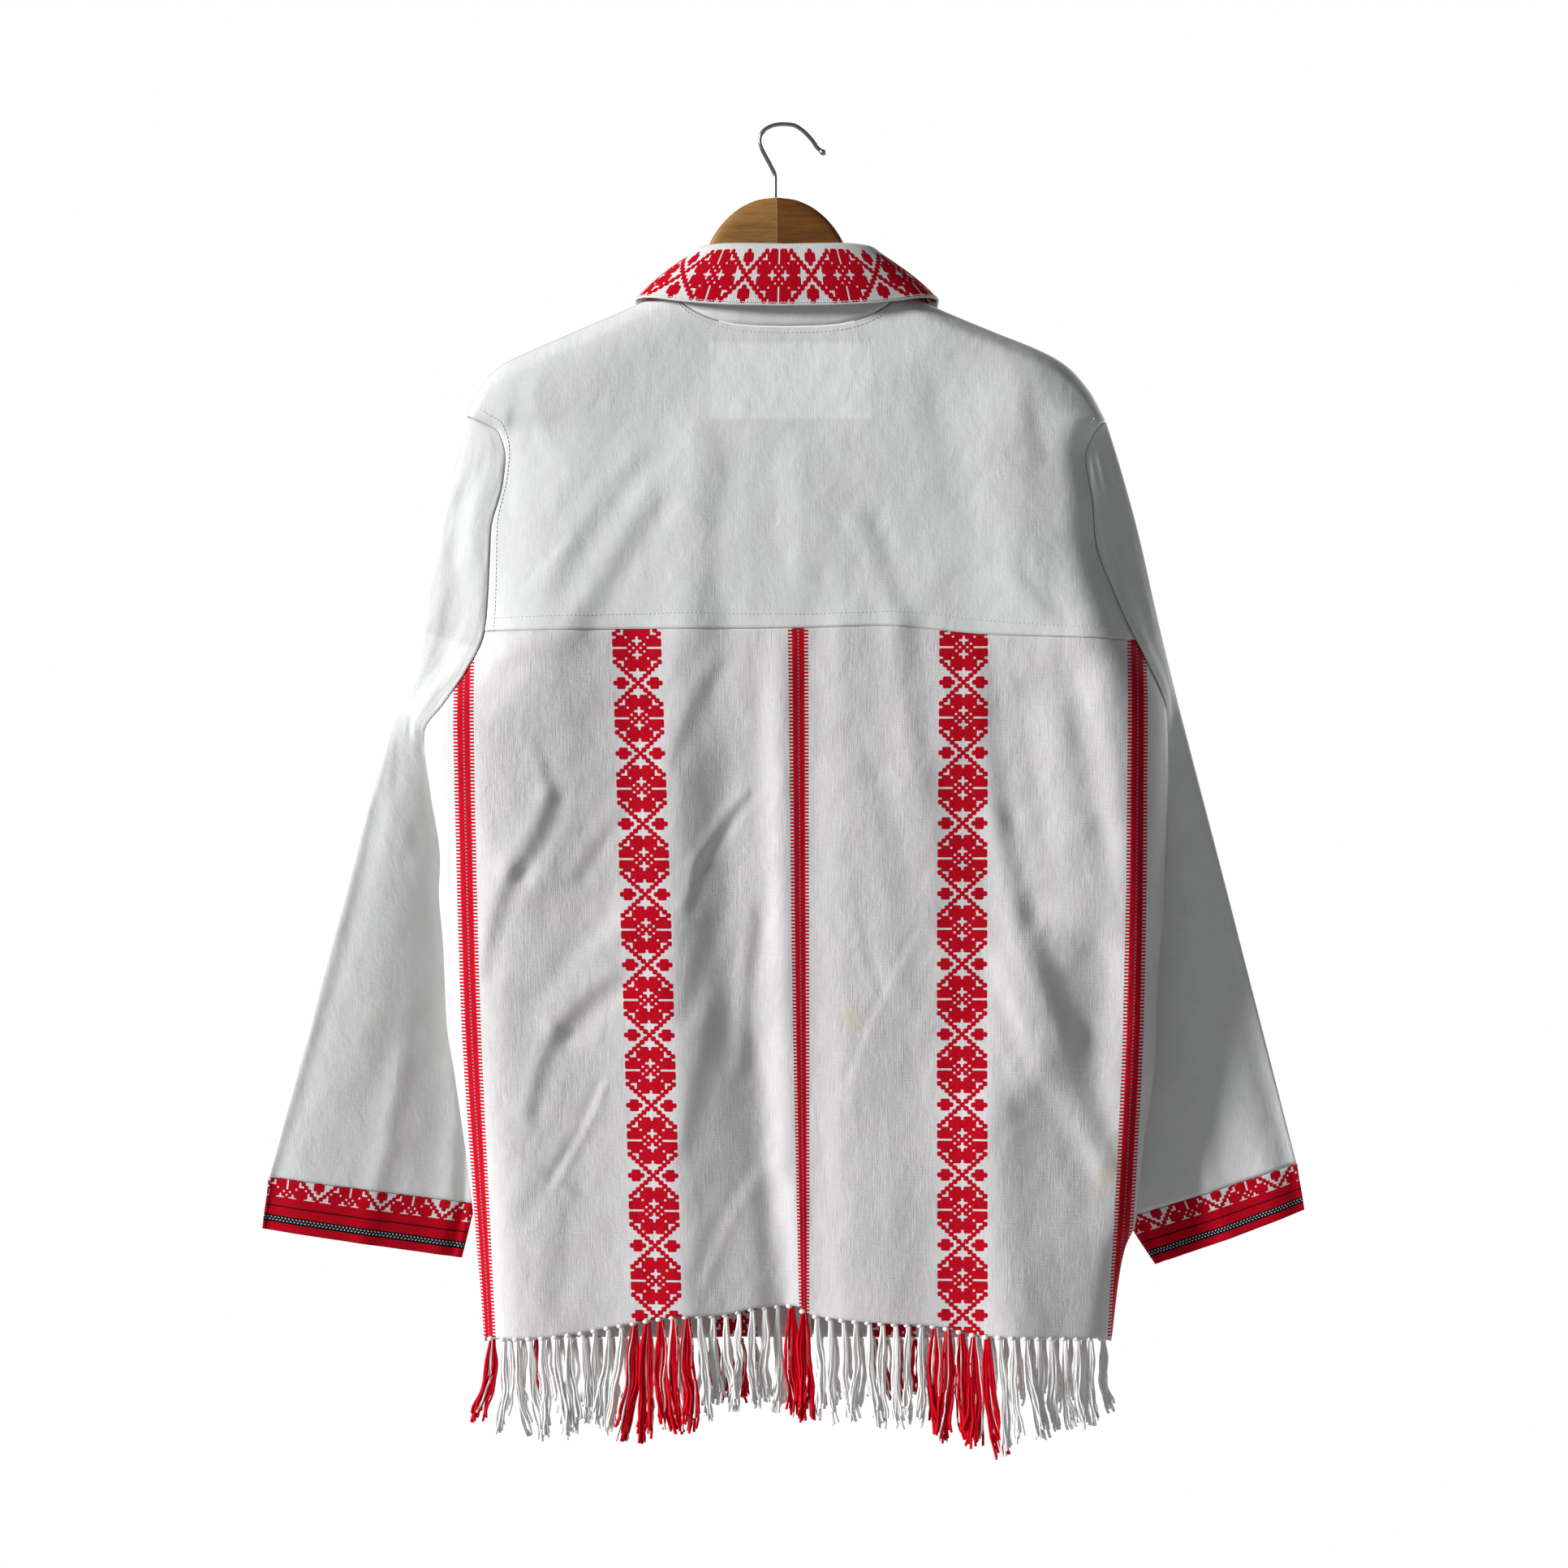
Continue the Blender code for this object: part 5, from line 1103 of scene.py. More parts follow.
def sheet_mesh(name: str, grid: Array, uv: Array, inward: Array, thickness: float,
               closed: bool = False) -> Piece:
    """Make one sheet with a thickness from a grid of points in mm.

    Args:
        name: Name of the piece.
        grid: Outer points by row and column, in mm.
        uv: Cloth coordinates of the same points, in metres.
        inward: Vectors that mostly point to the sheet's inner side.
        thickness: Thickness of the cloth in mm.
        closed: Whether the last column joins the first.

    Returns:
        The new object, at the origin.
    """
    rows, columns = grid.shape[:2]
    mesh = bpy.data.meshes.new(name)
    index = np.arange(rows * columns).reshape(rows, columns)
    a, b = index[:-1, :-1], index[:-1, 1:]
    c, d = index[1:, 1:], index[1:, :-1]
    faces = np.stack([a, b, c, d], axis=-1).reshape(-1, 4)
    normals = np.cross(np.gradient(grid, axis=1), np.gradient(grid, axis=0))
    if np.sum(normals * inward) > 0.0:
        faces = faces[:, ::-1]
    flat_uv = uv.reshape(-1, 2)
    points = grid.reshape(-1, 3)
    mesh.from_pydata((points * MM).tolist(), [], faces.tolist())
    layer = mesh.uv_layers.new(name="UVMap")
    layer.data.foreach_set("uv", flat_uv[faces.reshape(-1)].astype(np.float32).reshape(-1))
    if closed:
        join_ends(mesh, index)
    mesh.shade_smooth()
    made = add_object(name, mesh)
    wall = made.modifiers.new("wall", "SOLIDIFY")
    wall.thickness = thickness * MM
    wall.offset = -1.0
    wall.use_rim = True
    return made


def join_ends(mesh: bpy.types.Mesh, index: Array) -> None:
    """Merge the last column of a grid mesh into its first."""
    work = bmesh.new()
    work.from_mesh(mesh)
    work.verts.ensure_lookup_table()
    pairs = {work.verts[int(b)]: work.verts[int(a)] for a, b in zip(index[:, 0], index[:, -1])}
    bmesh.ops.weld_verts(work, targetmap=pairs)
    work.to_mesh(mesh)
    work.free()


def add_object(name: str, data: bpy.types.ID) -> Piece:
    """Put a new object with its data into the scene."""
    made = bpy.data.objects.new(name, data)
    bpy.context.scene.collection.objects.link(made)
    return made


def dress(piece: Piece, material: Paint,
          nodes: Sequence[str] = ()) -> None:
    """Give a piece its material and body, and hide the solids it stands for."""
    piece.data.materials.clear()
    piece.data.materials.append(material)
    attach(piece, BODY)
    if nodes:
        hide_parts(*nodes)
    LOG.info("%s: %d faces", piece.name, len(piece.data.polygons))


@dataclass(frozen=True)
class Dressing:
    """What a sheet of cloth is made of, what it stands for and how it is cut and held."""

    finish: Paint
    slot: str
    solid: str
    flat: tuple[float, float]
    rests_on: tuple[str, ...]
    held: str = "hung"


def cloth(name: str, grid: Array, uv: Array, inward: Array, wall: float, dressing: Dressing,
          closed: bool = False) -> Piece:
    """Make and dress one sheet of cloth.

    Args:
        name: Name of the piece.
        grid: Outer points by row and column, in mm.
        uv: Cloth coordinates of the same points, in metres.
        inward: Vectors that mostly point to the sheet's inner side.
        wall: Thickness of the cloth in mm.
        dressing: Finish, solid and cut of the sheet.
        closed: Whether the last column joins the first.

    Returns:
        The finished piece.
    """
    made = sheet_mesh(name, grid, uv, inward, wall, closed)
    dress(made, dressing.finish, [dressing.solid])
    return made


def facing(grid: Array, side: Side) -> Array:
    """Vectors from one side's sheet to the middle plane."""
    inward = np.zeros_like(grid)
    inward[..., 1] = -side.value
    return inward


def socket_id(tree: Tree, name: str) -> str:
    """Identifier of a group's input by its name."""
    return next(item.identifier for item in tree.interface.items_tree
                if item.name == name and item.in_out == "INPUT")


def splines(name: str, lines: Sequence[Array]) -> Piece:
    """Make a curve object of open polylines given in mm."""
    data = bpy.data.curves.new(name, "CURVE")
    data.dimensions = "3D"
    for line in lines:
        spline = data.splines.new("POLY")
        spline.points.add(len(line) - 1)
        flat = np.concatenate([np.asarray(line) * MM, np.ones((len(line), 1))], axis=1)
        spline.points.foreach_set("co", flat.astype(np.float32).reshape(-1))
    return add_object(name, data)


def bake(source: Piece, tree: Tree, values: dict[str, object],
         name: str) -> Piece:
    """Run a Geometry Nodes tree on an object and keep the result as a plain mesh.

    Args:
        source: Object that carries the paths or points; it is removed.
        tree: The tree to run.
        values: The tree's inputs by name.
        name: Name of the finished piece.

    Returns:
        The finished piece.
    """
    modifier = source.modifiers.new("build", "NODES")
    modifier.node_group = tree
    for key, value in values.items():
        modifier[socket_id(tree, key)] = value
    depsgraph = bpy.context.evaluated_depsgraph_get()
    depsgraph.update()
    mesh = bpy.data.meshes.new_from_object(source.evaluated_get(depsgraph))
    bpy.data.objects.remove(source, do_unlink=True)
    mesh.name = name
    return add_object(name, mesh)


def new_tree(name: str, inputs: dict[str, str]) -> Tree:
    """Start a Geometry Nodes tree with named inputs and one geometry output."""
    tree = bpy.data.node_groups.new(name, "GeometryNodeTree")
    tree.interface.new_socket("Paths", in_out="INPUT", socket_type="NodeSocketGeometry")
    for key, kind in inputs.items():
        tree.interface.new_socket(key, in_out="INPUT", socket_type=kind)
    tree.interface.new_socket("Mesh", in_out="OUTPUT", socket_type="NodeSocketGeometry")
    return tree


def yarn_tree() -> Tree:
    """Tree that gives each path a round section."""
    tree = new_tree("yarn", {"Radius": "NodeSocketFloat", "Sides": "NodeSocketInt",
                             "Finish": "NodeSocketMaterial"})
    given = tree.nodes.new(GROUP_IN)
    circle = node(tree, "GeometryNodeCurvePrimitiveCircle",
                  named={"Resolution": given.outputs["Sides"], "Radius": given.outputs["Radius"]})
    tube = node(tree, "GeometryNodeCurveToMesh", given.outputs["Paths"], circle, named={"Fill Caps": True})
    finish = node(tree, "GeometryNodeSetMaterial", tube, named={"Material": given.outputs["Finish"]})
    smooth_faces = node(tree, "GeometryNodeSetShadeSmooth", finish)
    node(tree, GROUP_OUT, smooth_faces)
    return tree


def bead_tree() -> Tree:
    """Tree that lays one long bead after another along each path, such as stitches or knots."""
    tree = new_tree("beads", {"Pitch": "NodeSocketFloat", "Size": "NodeSocketVector",
                              "Finish": "NodeSocketMaterial"})
    given = tree.nodes.new(GROUP_IN)
    points = tree.nodes.new("GeometryNodeCurveToPoints")
    points.mode = "LENGTH"
    tree.links.new(given.outputs["Paths"], points.inputs["Curve"])
    tree.links.new(given.outputs["Pitch"], points.inputs["Length"])
    ball = node(tree, "GeometryNodeMeshIcoSphere", 1.0, 2)
    placed = node(tree, "GeometryNodeInstanceOnPoints", points.outputs["Points"],
                  named={"Instance": ball, "Rotation": points.outputs["Rotation"],
                         "Scale": given.outputs["Size"]})
    real = node(tree, "GeometryNodeRealizeInstances", placed)
    finish = node(tree, "GeometryNodeSetMaterial", real, named={"Material": given.outputs["Finish"]})
    smooth_faces = node(tree, "GeometryNodeSetShadeSmooth", finish)
    node(tree, GROUP_OUT, smooth_faces)
    return tree


@dataclass
class Workshop:
    """Materials and trees that several pieces share."""

    yarn: Tree
    beads: Tree
    plain: Paint
    stitch: Paint
    white_thread: Paint
    red_thread: Paint

    def stitches(self, name: str, lines: Sequence[Array], pitch: float = 3.1,
                 size: tuple[float, float, float] = (0.3, 0.3, 1.15)) -> Piece:
        """Sew rows of stitches along lines in mm and let them ride on the garment."""
        values = {"Pitch": pitch * MM, "Size": tuple(s * MM for s in size), "Finish": self.stitch}
        made = bake(splines(name, lines), self.beads, values, name)
        dress(made, self.stitch)
        return made


def cloth_u(x: Array, drop: Array) -> Array:
    """Cloth coordinate across the lower back, in which every stripe runs straight."""
    at = [np.full_like(x, -420.0)]
    to = [-0.420]
    for (name, rows), middle in zip(STRIPE_ROWS, STRIPE_MIDDLES):
        centre = read(drop, rows, 1)
        half = read(drop, rows, 2)
        width = (ROSETTE_HALF if name.startswith("rosette") else NARROW_HALF) * MM
        at.extend([centre - half, centre + half])
        to.extend([middle - width, middle + width])
    at.append(np.full_like(x, 420.0))
    to.append(0.420)
    made = np.zeros_like(x)
    for k in range(len(to) - 1):
        share = (x - at[k]) / (at[k + 1] - at[k])
        inside = (share >= 0.0) & (share <= 1.0)
        made = np.where(inside, to[k] + share * (to[k + 1] - to[k]), made)
    return made


def side_curves(table: Table, down: Array) -> list[Array]:
    """Left and right side of a back sheet as x and drop, at shares of its rows."""
    sides = []
    for half, column in ((Half.LEFT, 1), (Half.RIGHT, 2)):
        drop = rows_at(table, column, down)
        sides.append(np.stack([FORM.edge(half, drop), drop], axis=-1))
    return sides


@dataclass
class BackYoke:
    """Plain upper back from the shoulders to the cross seam."""

    shop: Workshop
    shoulder_columns: int = 46
    neck_columns: int = 44
    rows: int = 100
    wall: float = 0.9
    flat: tuple[float, float] = (0.52, 0.29)

    def build(self) -> Piece:
        """Make the yoke and its stitching."""
        shares = np.linspace(0, 1, self.shoulder_columns)
        neck_shares = np.linspace(0, 1, self.neck_columns)
        left = FORM.shoulder(Half.LEFT, shares)
        right = FORM.shoulder(Half.RIGHT, shares)
        neck_left = FORM.neck(BACK_NECK, Half.LEFT, neck_shares)[::-1]
        neck_right = FORM.neck(BACK_NECK, Half.RIGHT, neck_shares)
        top = np.concatenate([left, neck_left[1:], neck_right[1:], right[::-1][1:]])
        across = lengths(top)
        down = np.linspace(0, 1, self.rows) ** 1.15
        sides = side_curves(YOKE_ROWS, down)
        x = sides[0][-1, 0] + (sides[1][-1, 0] - sides[0][-1, 0]) * across
        bottom = np.stack([x, read(x, CROSS_SEAM) + 0.6], axis=-1)
        flat = patch(top, bottom, sides[0], sides[1], across, down, FADE[Side.BACK])
        seam = read(flat[..., 0], CROSS_SEAM) - flat[..., 1]
        swell = 0.55 * smooth(1.0 - seam / 9.0)
        grid = FORM.points(flat[..., 0], flat[..., 1], Side.BACK)
        grid[..., 1] -= swell
        dressing = Dressing(self.shop.plain, "cotton_plain", "back_yoke", self.flat,
                            ("hanger_left", "hanger_right"))
        made = cloth("yoke_cloth", grid, flat * MM, facing(grid, Side.BACK), self.wall, dressing)
        self.sew(grid)
        return made

    def sew(self, grid: Array) -> None:
        """Sew the cross seam, the neck and the armholes."""
        proud = np.array([0.0, -0.25, 0.0])
        neck = slice(self.shoulder_columns - 1, len(grid[0]) - self.shoulder_columns + 1)
        lines = (grid[-5], grid[3, neck], grid[6:, 2], grid[6:, -3])
        self.shop.stitches("yoke_stitches", [line + proud for line in lines])


@dataclass
class BackPanel:
    """Heavy lower back with its woven stripes."""

    shop: Workshop
    columns: int = 230
    rows: int = 190
    wall: float = 1.0
    flat: tuple[float, float] = (0.61, 0.56)
    stains: tuple[tuple[float, float, float], ...] = ((0.246, 0.789, 0.018), (0.051, 0.668, 0.014))

    def build(self) -> Piece:
        """Make the panel."""
        across = np.linspace(0, 1, self.columns)
        down = np.linspace(0, 1, self.rows)
        sides = side_curves(PANEL_ROWS, down)
        top_x = sides[0][0, 0] + (sides[1][0, 0] - sides[0][0, 0]) * across
        top = np.stack([top_x, read(top_x, CROSS_SEAM) + 0.4], axis=-1)
        hem_x = sides[0][-1, 0] + (sides[1][-1, 0] - sides[0][-1, 0]) * across
        bottom = np.stack([hem_x, read(hem_x, BACK_HEM)], axis=-1)
        flat = patch(top, bottom, sides[0], sides[1], across, down, FADE[Side.BACK])
        grid = FORM.points(flat[..., 0], flat[..., 1], Side.BACK)
        uv = np.stack([cloth_u(flat[..., 0], flat[..., 1]), flat[..., 1] * MM], axis=-1)
        phases = (None, LEFT_PHASE, None, RIGHT_PHASE, None)
        stripes = tuple(StripeAt(middle, phase is not None, phase or 0.0)
                        for middle, phase in zip(STRIPE_MIDDLES, phases))
        finish = WovenCotton("heavy_hand_woven_cotton_striped", "#E9E5E5", "#E1DFE0", 1.9, 0.05, 0.55,
                             0.0014, stripes, stains=self.stains)
        dressing = Dressing(finish.make(), "cotton_heavy", "back_panel", self.flat, ("yoke_cloth",))
        return cloth("back_cloth", grid, uv, facing(grid, Side.BACK), self.wall, dressing)


@dataclass
class Front:
    """One front, plain above its seam and striped below it."""

    shop: Workshop
    half: Half
    finish: Paint
    shoulder_columns: int = 36
    neck_columns: int = 44
    rows: int = 190
    wall: float = 0.9
    gap: float = 0.5
    seam_drop: float = 380.0
    flat: tuple[float, float] = (0.33, 0.83)

    def build(self) -> Piece:
        """Make the front and its stitching."""
        sign = self.half.value
        shoulder = FORM.shoulder(self.half, np.linspace(0, 1, self.shoulder_columns))
        neck = FORM.neck(FRONT_NECK, self.half, np.linspace(0, 1, self.neck_columns))
        top = np.concatenate([shoulder, neck[1:]])
        across = lengths(top)
        down = np.linspace(0, 1, self.rows)
        drop = rows_at(FRONT_ROWS, 1 if self.half is Half.LEFT else 2, down)
        outside = np.stack([FORM.edge(self.half, drop), drop], axis=-1)
        middle_drop = top[-1, 1] + (FRONT_HEM_DROP - top[-1, 1]) * down
        middle = np.stack([read(middle_drop, FRONT_LINE) + sign * self.gap, middle_drop], axis=-1)
        top[-1] = middle[0]
        hem_x = outside[-1, 0] + (middle[-1, 0] - outside[-1, 0]) * across
        bottom = np.stack([hem_x, np.full_like(hem_x, FRONT_HEM_DROP)], axis=-1)
        flat = patch(top, bottom, outside, middle, across, down, FADE[Side.FRONT])
        grid = FORM.points(flat[..., 0], flat[..., 1], Side.FRONT)
        ridge = 0.9 * np.exp(-((flat[..., 1] - self.seam_drop) / 2.2) ** 2)
        grid[..., 1] += ridge
        line = read(flat[..., 1], FRONT_LINE)
        uv = np.stack([np.abs(flat[..., 0] - line) * MM, flat[..., 1] * MM], axis=-1)
        name = self.half.name.lower()
        dressing = Dressing(self.finish, "cotton_plain", "front_" + name, self.flat, ("hanger_" + name,))
        made = cloth("front_cloth_" + name, grid, uv, facing(grid, Side.FRONT), self.wall, dressing)
        row = int(np.argmin(np.abs(flat[:, len(across) // 2, 1] - self.seam_drop)))
        proud = np.array([0.0, 0.3, 0.0])
        hole = grid[6:int(self.rows * 0.35), 2]
        self.shop.stitches("front_stitches_" + name, [grid[row - 2] + proud, hole + proud])
        return made


# Half of a button's section: share of its radius, lift in mm
BUTTON_PROFILE = (
    (0, 0), (0.6, 0), (0.9, 0.4), (1, 1), (0.97, 1.7), (0.88, 2.1), (0.76, 2), (0.66, 1.5), (0.4, 1.3),
    (0, 1.3),
)


@dataclass
class FrontBand:
    """Button band with six buttons."""

    shop: Workshop
    half_width: float = 17.0
    top: float = 217.0
    bottom: float = 911.0
    gap: float = 0.8
    wall: float = 1.3
    button_count: int = 6
    button_first: float = 236.0
    button_pitch: float = 112.0
    button_radius: float = 5.9
    button_gap: float = 0.8
    button_sides: int = 36
    cross_lift: float = 1.5
    cross_reach: float = 1.3
    cross_radius: float = 0.32
    flat: tuple[float, float] = (0.036, 0.71)

    def build(self) -> list[Piece]:
        """Make the band, its stitches and its buttons."""
        drops = np.linspace(self.top, self.bottom, 150)
        sides = np.linspace(-self.half_width, self.half_width, 15)
        drop = np.repeat(drops[:, None], len(sides), axis=1)
        x = read(drop, FRONT_LINE) + sides[None]
        out = self.gap + self.wall - 0.5 * (np.abs(sides[None]) / self.half_width) ** 8
        grid = FORM.points(x, drop, Side.FRONT, out)
        uv = np.stack([x, drop], axis=-1) * MM
        dressing = Dressing(self.shop.plain, "cotton_plain", "front_placket", self.flat,
                            ("front_cloth_left",))
        made = cloth("band_cloth", grid, uv, facing(grid, Side.FRONT), self.wall, dressing)
        rows = [grid[2:-2, 1], grid[2:-2, -2]]
        self.shop.stitches("band_stitches", [r + np.array([0.0, 0.25, 0.0]) for r in rows])
        buttons = [made]
        finish = ShellButton("cut_shell").make()
        for index in range(self.button_count):
            buttons.append(self.button(index, finish))
        return buttons

    def button(self, index: int, finish: Paint) -> Piece:
        """Turn one dished button with a crossed thread."""
        drop = self.button_first + index * self.button_pitch
        x = float(read(drop, FRONT_LINE))
        face = float(FORM.depth(np.array(x), np.array(drop), Side.FRONT, fine=False))
        base = face + self.gap + self.wall + self.button_gap
        turns = np.linspace(0, 2 * math.pi, self.button_sides + 1)
        grid = []
        for share, lift in BUTTON_PROFILE:
            ring = share * self.button_radius
            grid.append(np.stack([x + ring * np.cos(turns), np.full_like(turns, base + lift),
                                  -drop + ring * np.sin(turns)], axis=-1))
        grid = np.array(grid)
        name = f"button_shell_{index + 1}"
        mesh = bpy.data.meshes.new(name)
        count = len(turns) - 1
        points = [grid[0, 0]] + [p for ring in grid[1:-1] for p in ring[:-1]] + [grid[-1, 0]]
        faces = []
        bands = len(BUTTON_PROFILE) - 3
        for k in range(count):
            after = (k + 1) % count
            faces.append((0, 1 + k, 1 + after))
            for ring in range(bands):
                a = 1 + ring * count
                faces.append((a + k, a + count + k, a + count + after, a + after))
            last = 1 + bands * count
            faces.append((last + k, len(points) - 1, last + after))
        mesh.from_pydata((np.array(points) * MM).tolist(), [], faces)
        mesh.shade_smooth()
        made = add_object(name, mesh)
        face_out(made)
        dress(made, finish, [f"button_{index + 1}"])
        lines = []
        for sign in (-1.0, 1.0):
            shares = np.linspace(-1, 1, 7)[:, None]
            lines.append(np.array([x, base + self.cross_lift, -drop])
                         + shares * np.array([self.cross_reach, 0.0, self.cross_reach * sign]))
        values = {"Radius": self.cross_radius * MM, "Sides": 6, "Finish": self.shop.stitch}
        name = f"button_cross_{index + 1}"
        cross = bake(splines(name, lines), self.shop.yarn, values, name)
        dress(cross, self.shop.stitch)
        return made


def face_out(piece: Piece) -> None:
    """Turn a closed mesh's faces outwards."""
    work = bmesh.new()
    work.from_mesh(piece.data)
    bmesh.ops.recalc_face_normals(work, faces=work.faces)
    if work.calc_volume(signed=True) < 0.0:
        bmesh.ops.reverse_faces(work, faces=work.faces)
    work.to_mesh(piece.data)
    work.free()


@dataclass
class Collar:
    """Stand and turned-down leaf of the collar."""

    shop: Workshop
    columns: int = 190
    leaf_wall: float = 1.2
    stand_wall: float = 1.2
    stand_top: float = 3.6
    seam_gap: float = 0.6
    crest: float = 2.6
    crest_out: float = 2.2
    belly: float = 3.0
    clear: float = 2.2
    column_pitch: float = 2.6
    stand_rows: int = 14
    leaf_rows_count: int = 44
    stand_flat: tuple[float, float] = (0.52, 0.07)
    leaf_flat: tuple[float, float] = (0.66, 0.09)

    def stations(self) -> Array:
        """Seam, fold and leaf edge points round the neck, from the left front end."""
        half_rows = []
        halves = ((COLLAR_BACK, BACK_NECK, Side.BACK), (COLLAR_FRONT, FRONT_NECK, Side.FRONT))
        for table, neck, side in halves:
            for share in np.linspace(0, 1, 13)[0 if side is Side.BACK else 1:]:
                place = [float(read(share, table, c)) for c in range(1, 7)]
                half_rows.append((side, share, neck, place))
        halves = []
        for half in Half:
            run = []
            for side, share, neck, place in half_rows:
                seam = FORM.neck(neck, half, np.array([share]))[0]
                depth = float(FORM.depth(seam[0], seam[1], side, fine=False))
                run.append([
                    [seam[0], side.value * depth, -seam[1]],
                    [COLLAR_X + half.value * place[0], place[1], -place[2]],
                    [COLLAR_X + half.value * place[3], place[4], -place[5]],
                ])
            halves.append(run)
        return np.array(halves[0][::-1] + halves[1][1:])

    def build(self) -> list[Piece]:
        """Make the stand and the leaf with its stitches."""
        places = run_along(self.stations(), np.linspace(0, 1, self.columns))
        seam, fold, edge = places[:, 0], places[:, 1], places[:, 2]
        top = fold - np.array([0.0, 0.0, self.stand_top])
        first = seam + unit(top - seam) * self.seam_gap
        shares = np.linspace(0, 1, self.stand_rows)[:, None, None]
        stand = first[None] + (top - first)[None] * shares
        centre = np.array([COLLAR_X, 0.0, 0.0])
        inward = (centre - stand) * np.array([1.0, 1.0, 0.0])
        length = running(top)
        along = length - length[self.columns // 2]
        uv = np.stack(np.broadcast_arrays(along[None], stand[..., 2]), axis=-1) * MM
        dressing = Dressing(self.shop.plain, "cotton_plain", "collar_stand", self.stand_flat,
                            ("yoke_cloth",), "folded")
        made = cloth("collar_stand_cloth", stand, uv, inward, self.stand_wall, dressing)
        tangent = np.gradient(top, axis=0)
        out = unit(np.cross(tangent, np.array([0.0, 0.0, 1.0])) * np.array([1.0, 1.0, 0.0]))
        if np.sum(out * -inward[0]) < 0.0:
            out = -out
        leaf = self.leaf_rows(top, edge, out)
        leaf_inward = np.zeros_like(leaf) - out[None]
        return [made, self.leaf(leaf, leaf_inward)]

    def leaf_rows(self, top: Array, edge: Array, out: Array) -> Array:
        """Points of the leaf from its inner root over the fold to its edge."""
        up = np.array([0.0, 0.0, 1.0])
        base = top - out * self.stand_wall + up * 0.5
        crest_in = base + up * (self.crest - 0.5) + out * 0.3
        crest_top = base + up * (self.crest + 1.2) + out * (self.stand_wall + self.crest_out) * 0.5
        crest_out = crest_in + out * (self.stand_wall + self.crest_out - 0.3) + up * 0.5
        rows = [base, crest_in, crest_top, crest_out]
        for share in np.linspace(0, 1, 7)[1:]:
            swell = out * self.belly * math.sin(math.pi * share)
            rows.append(crest_out + (edge - crest_out) * share + swell)
        leaf = run_along(np.array(rows), np.linspace(0, 1, self.leaf_rows_count))
        wave = ripple(np.arange(self.columns)[None] * self.column_pitch, -leaf[..., 2], 40.0, 5)
        share = np.linspace(0, 1, self.leaf_rows_count)[:, None]
        leaf = leaf + out[None] * (wave * share)[..., None]
        x, drop = leaf[..., 0], -leaf[..., 2]
        side = np.where(leaf[..., 1] > 0.0, 1.0, -1.0)
        before, behind = (FORM.depth(x, drop, part, False) for part in (Side.FRONT, Side.BACK))
        face = np.where(side > 0, before, behind)
        need = face + self.clear
        low = (drop > FORM.ridge(x)) & (np.abs(leaf[..., 1]) < need)
        leaf[..., 1] = np.where(low, side * need, leaf[..., 1])
        return leaf

    def leaf(self, leaf: Array, inward: Array) -> Piece:
        """Make the leaf with its woven band and its edge stitches."""
        steps = np.linalg.norm(np.diff(leaf, axis=0), axis=-1)
        depth = np.concatenate([np.zeros((1, self.columns)), np.cumsum(steps, axis=0)])
        depth = depth[-1:] - depth
        line = leaf[len(leaf) * 2 // 3]
        length = running(line)
        along = length - length[self.columns // 2]
        uv = np.stack(np.broadcast_arrays(along[None], depth), axis=-1) * MM
        band = RosetteBand(column=0.0031, row=0.0025, phase=-0.0068, puff=0.27)
        finish = BandCotton("hand_woven_collar_band", band, 0.0225, cuff=False).make()
        dressing = Dressing(finish, "band_woven", "collar_leaf", self.leaf_flat,
                            ("collar_stand_cloth",), "folded")
        made = cloth("collar_leaf_cloth", leaf, uv, inward, self.leaf_wall, dressing)
        push = -unit(inward[-3]) * 0.25
        self.shop.stitches("collar_stitches", [leaf[-3, 2:-2] + push[2:-2]], pitch=2.6)
        return made


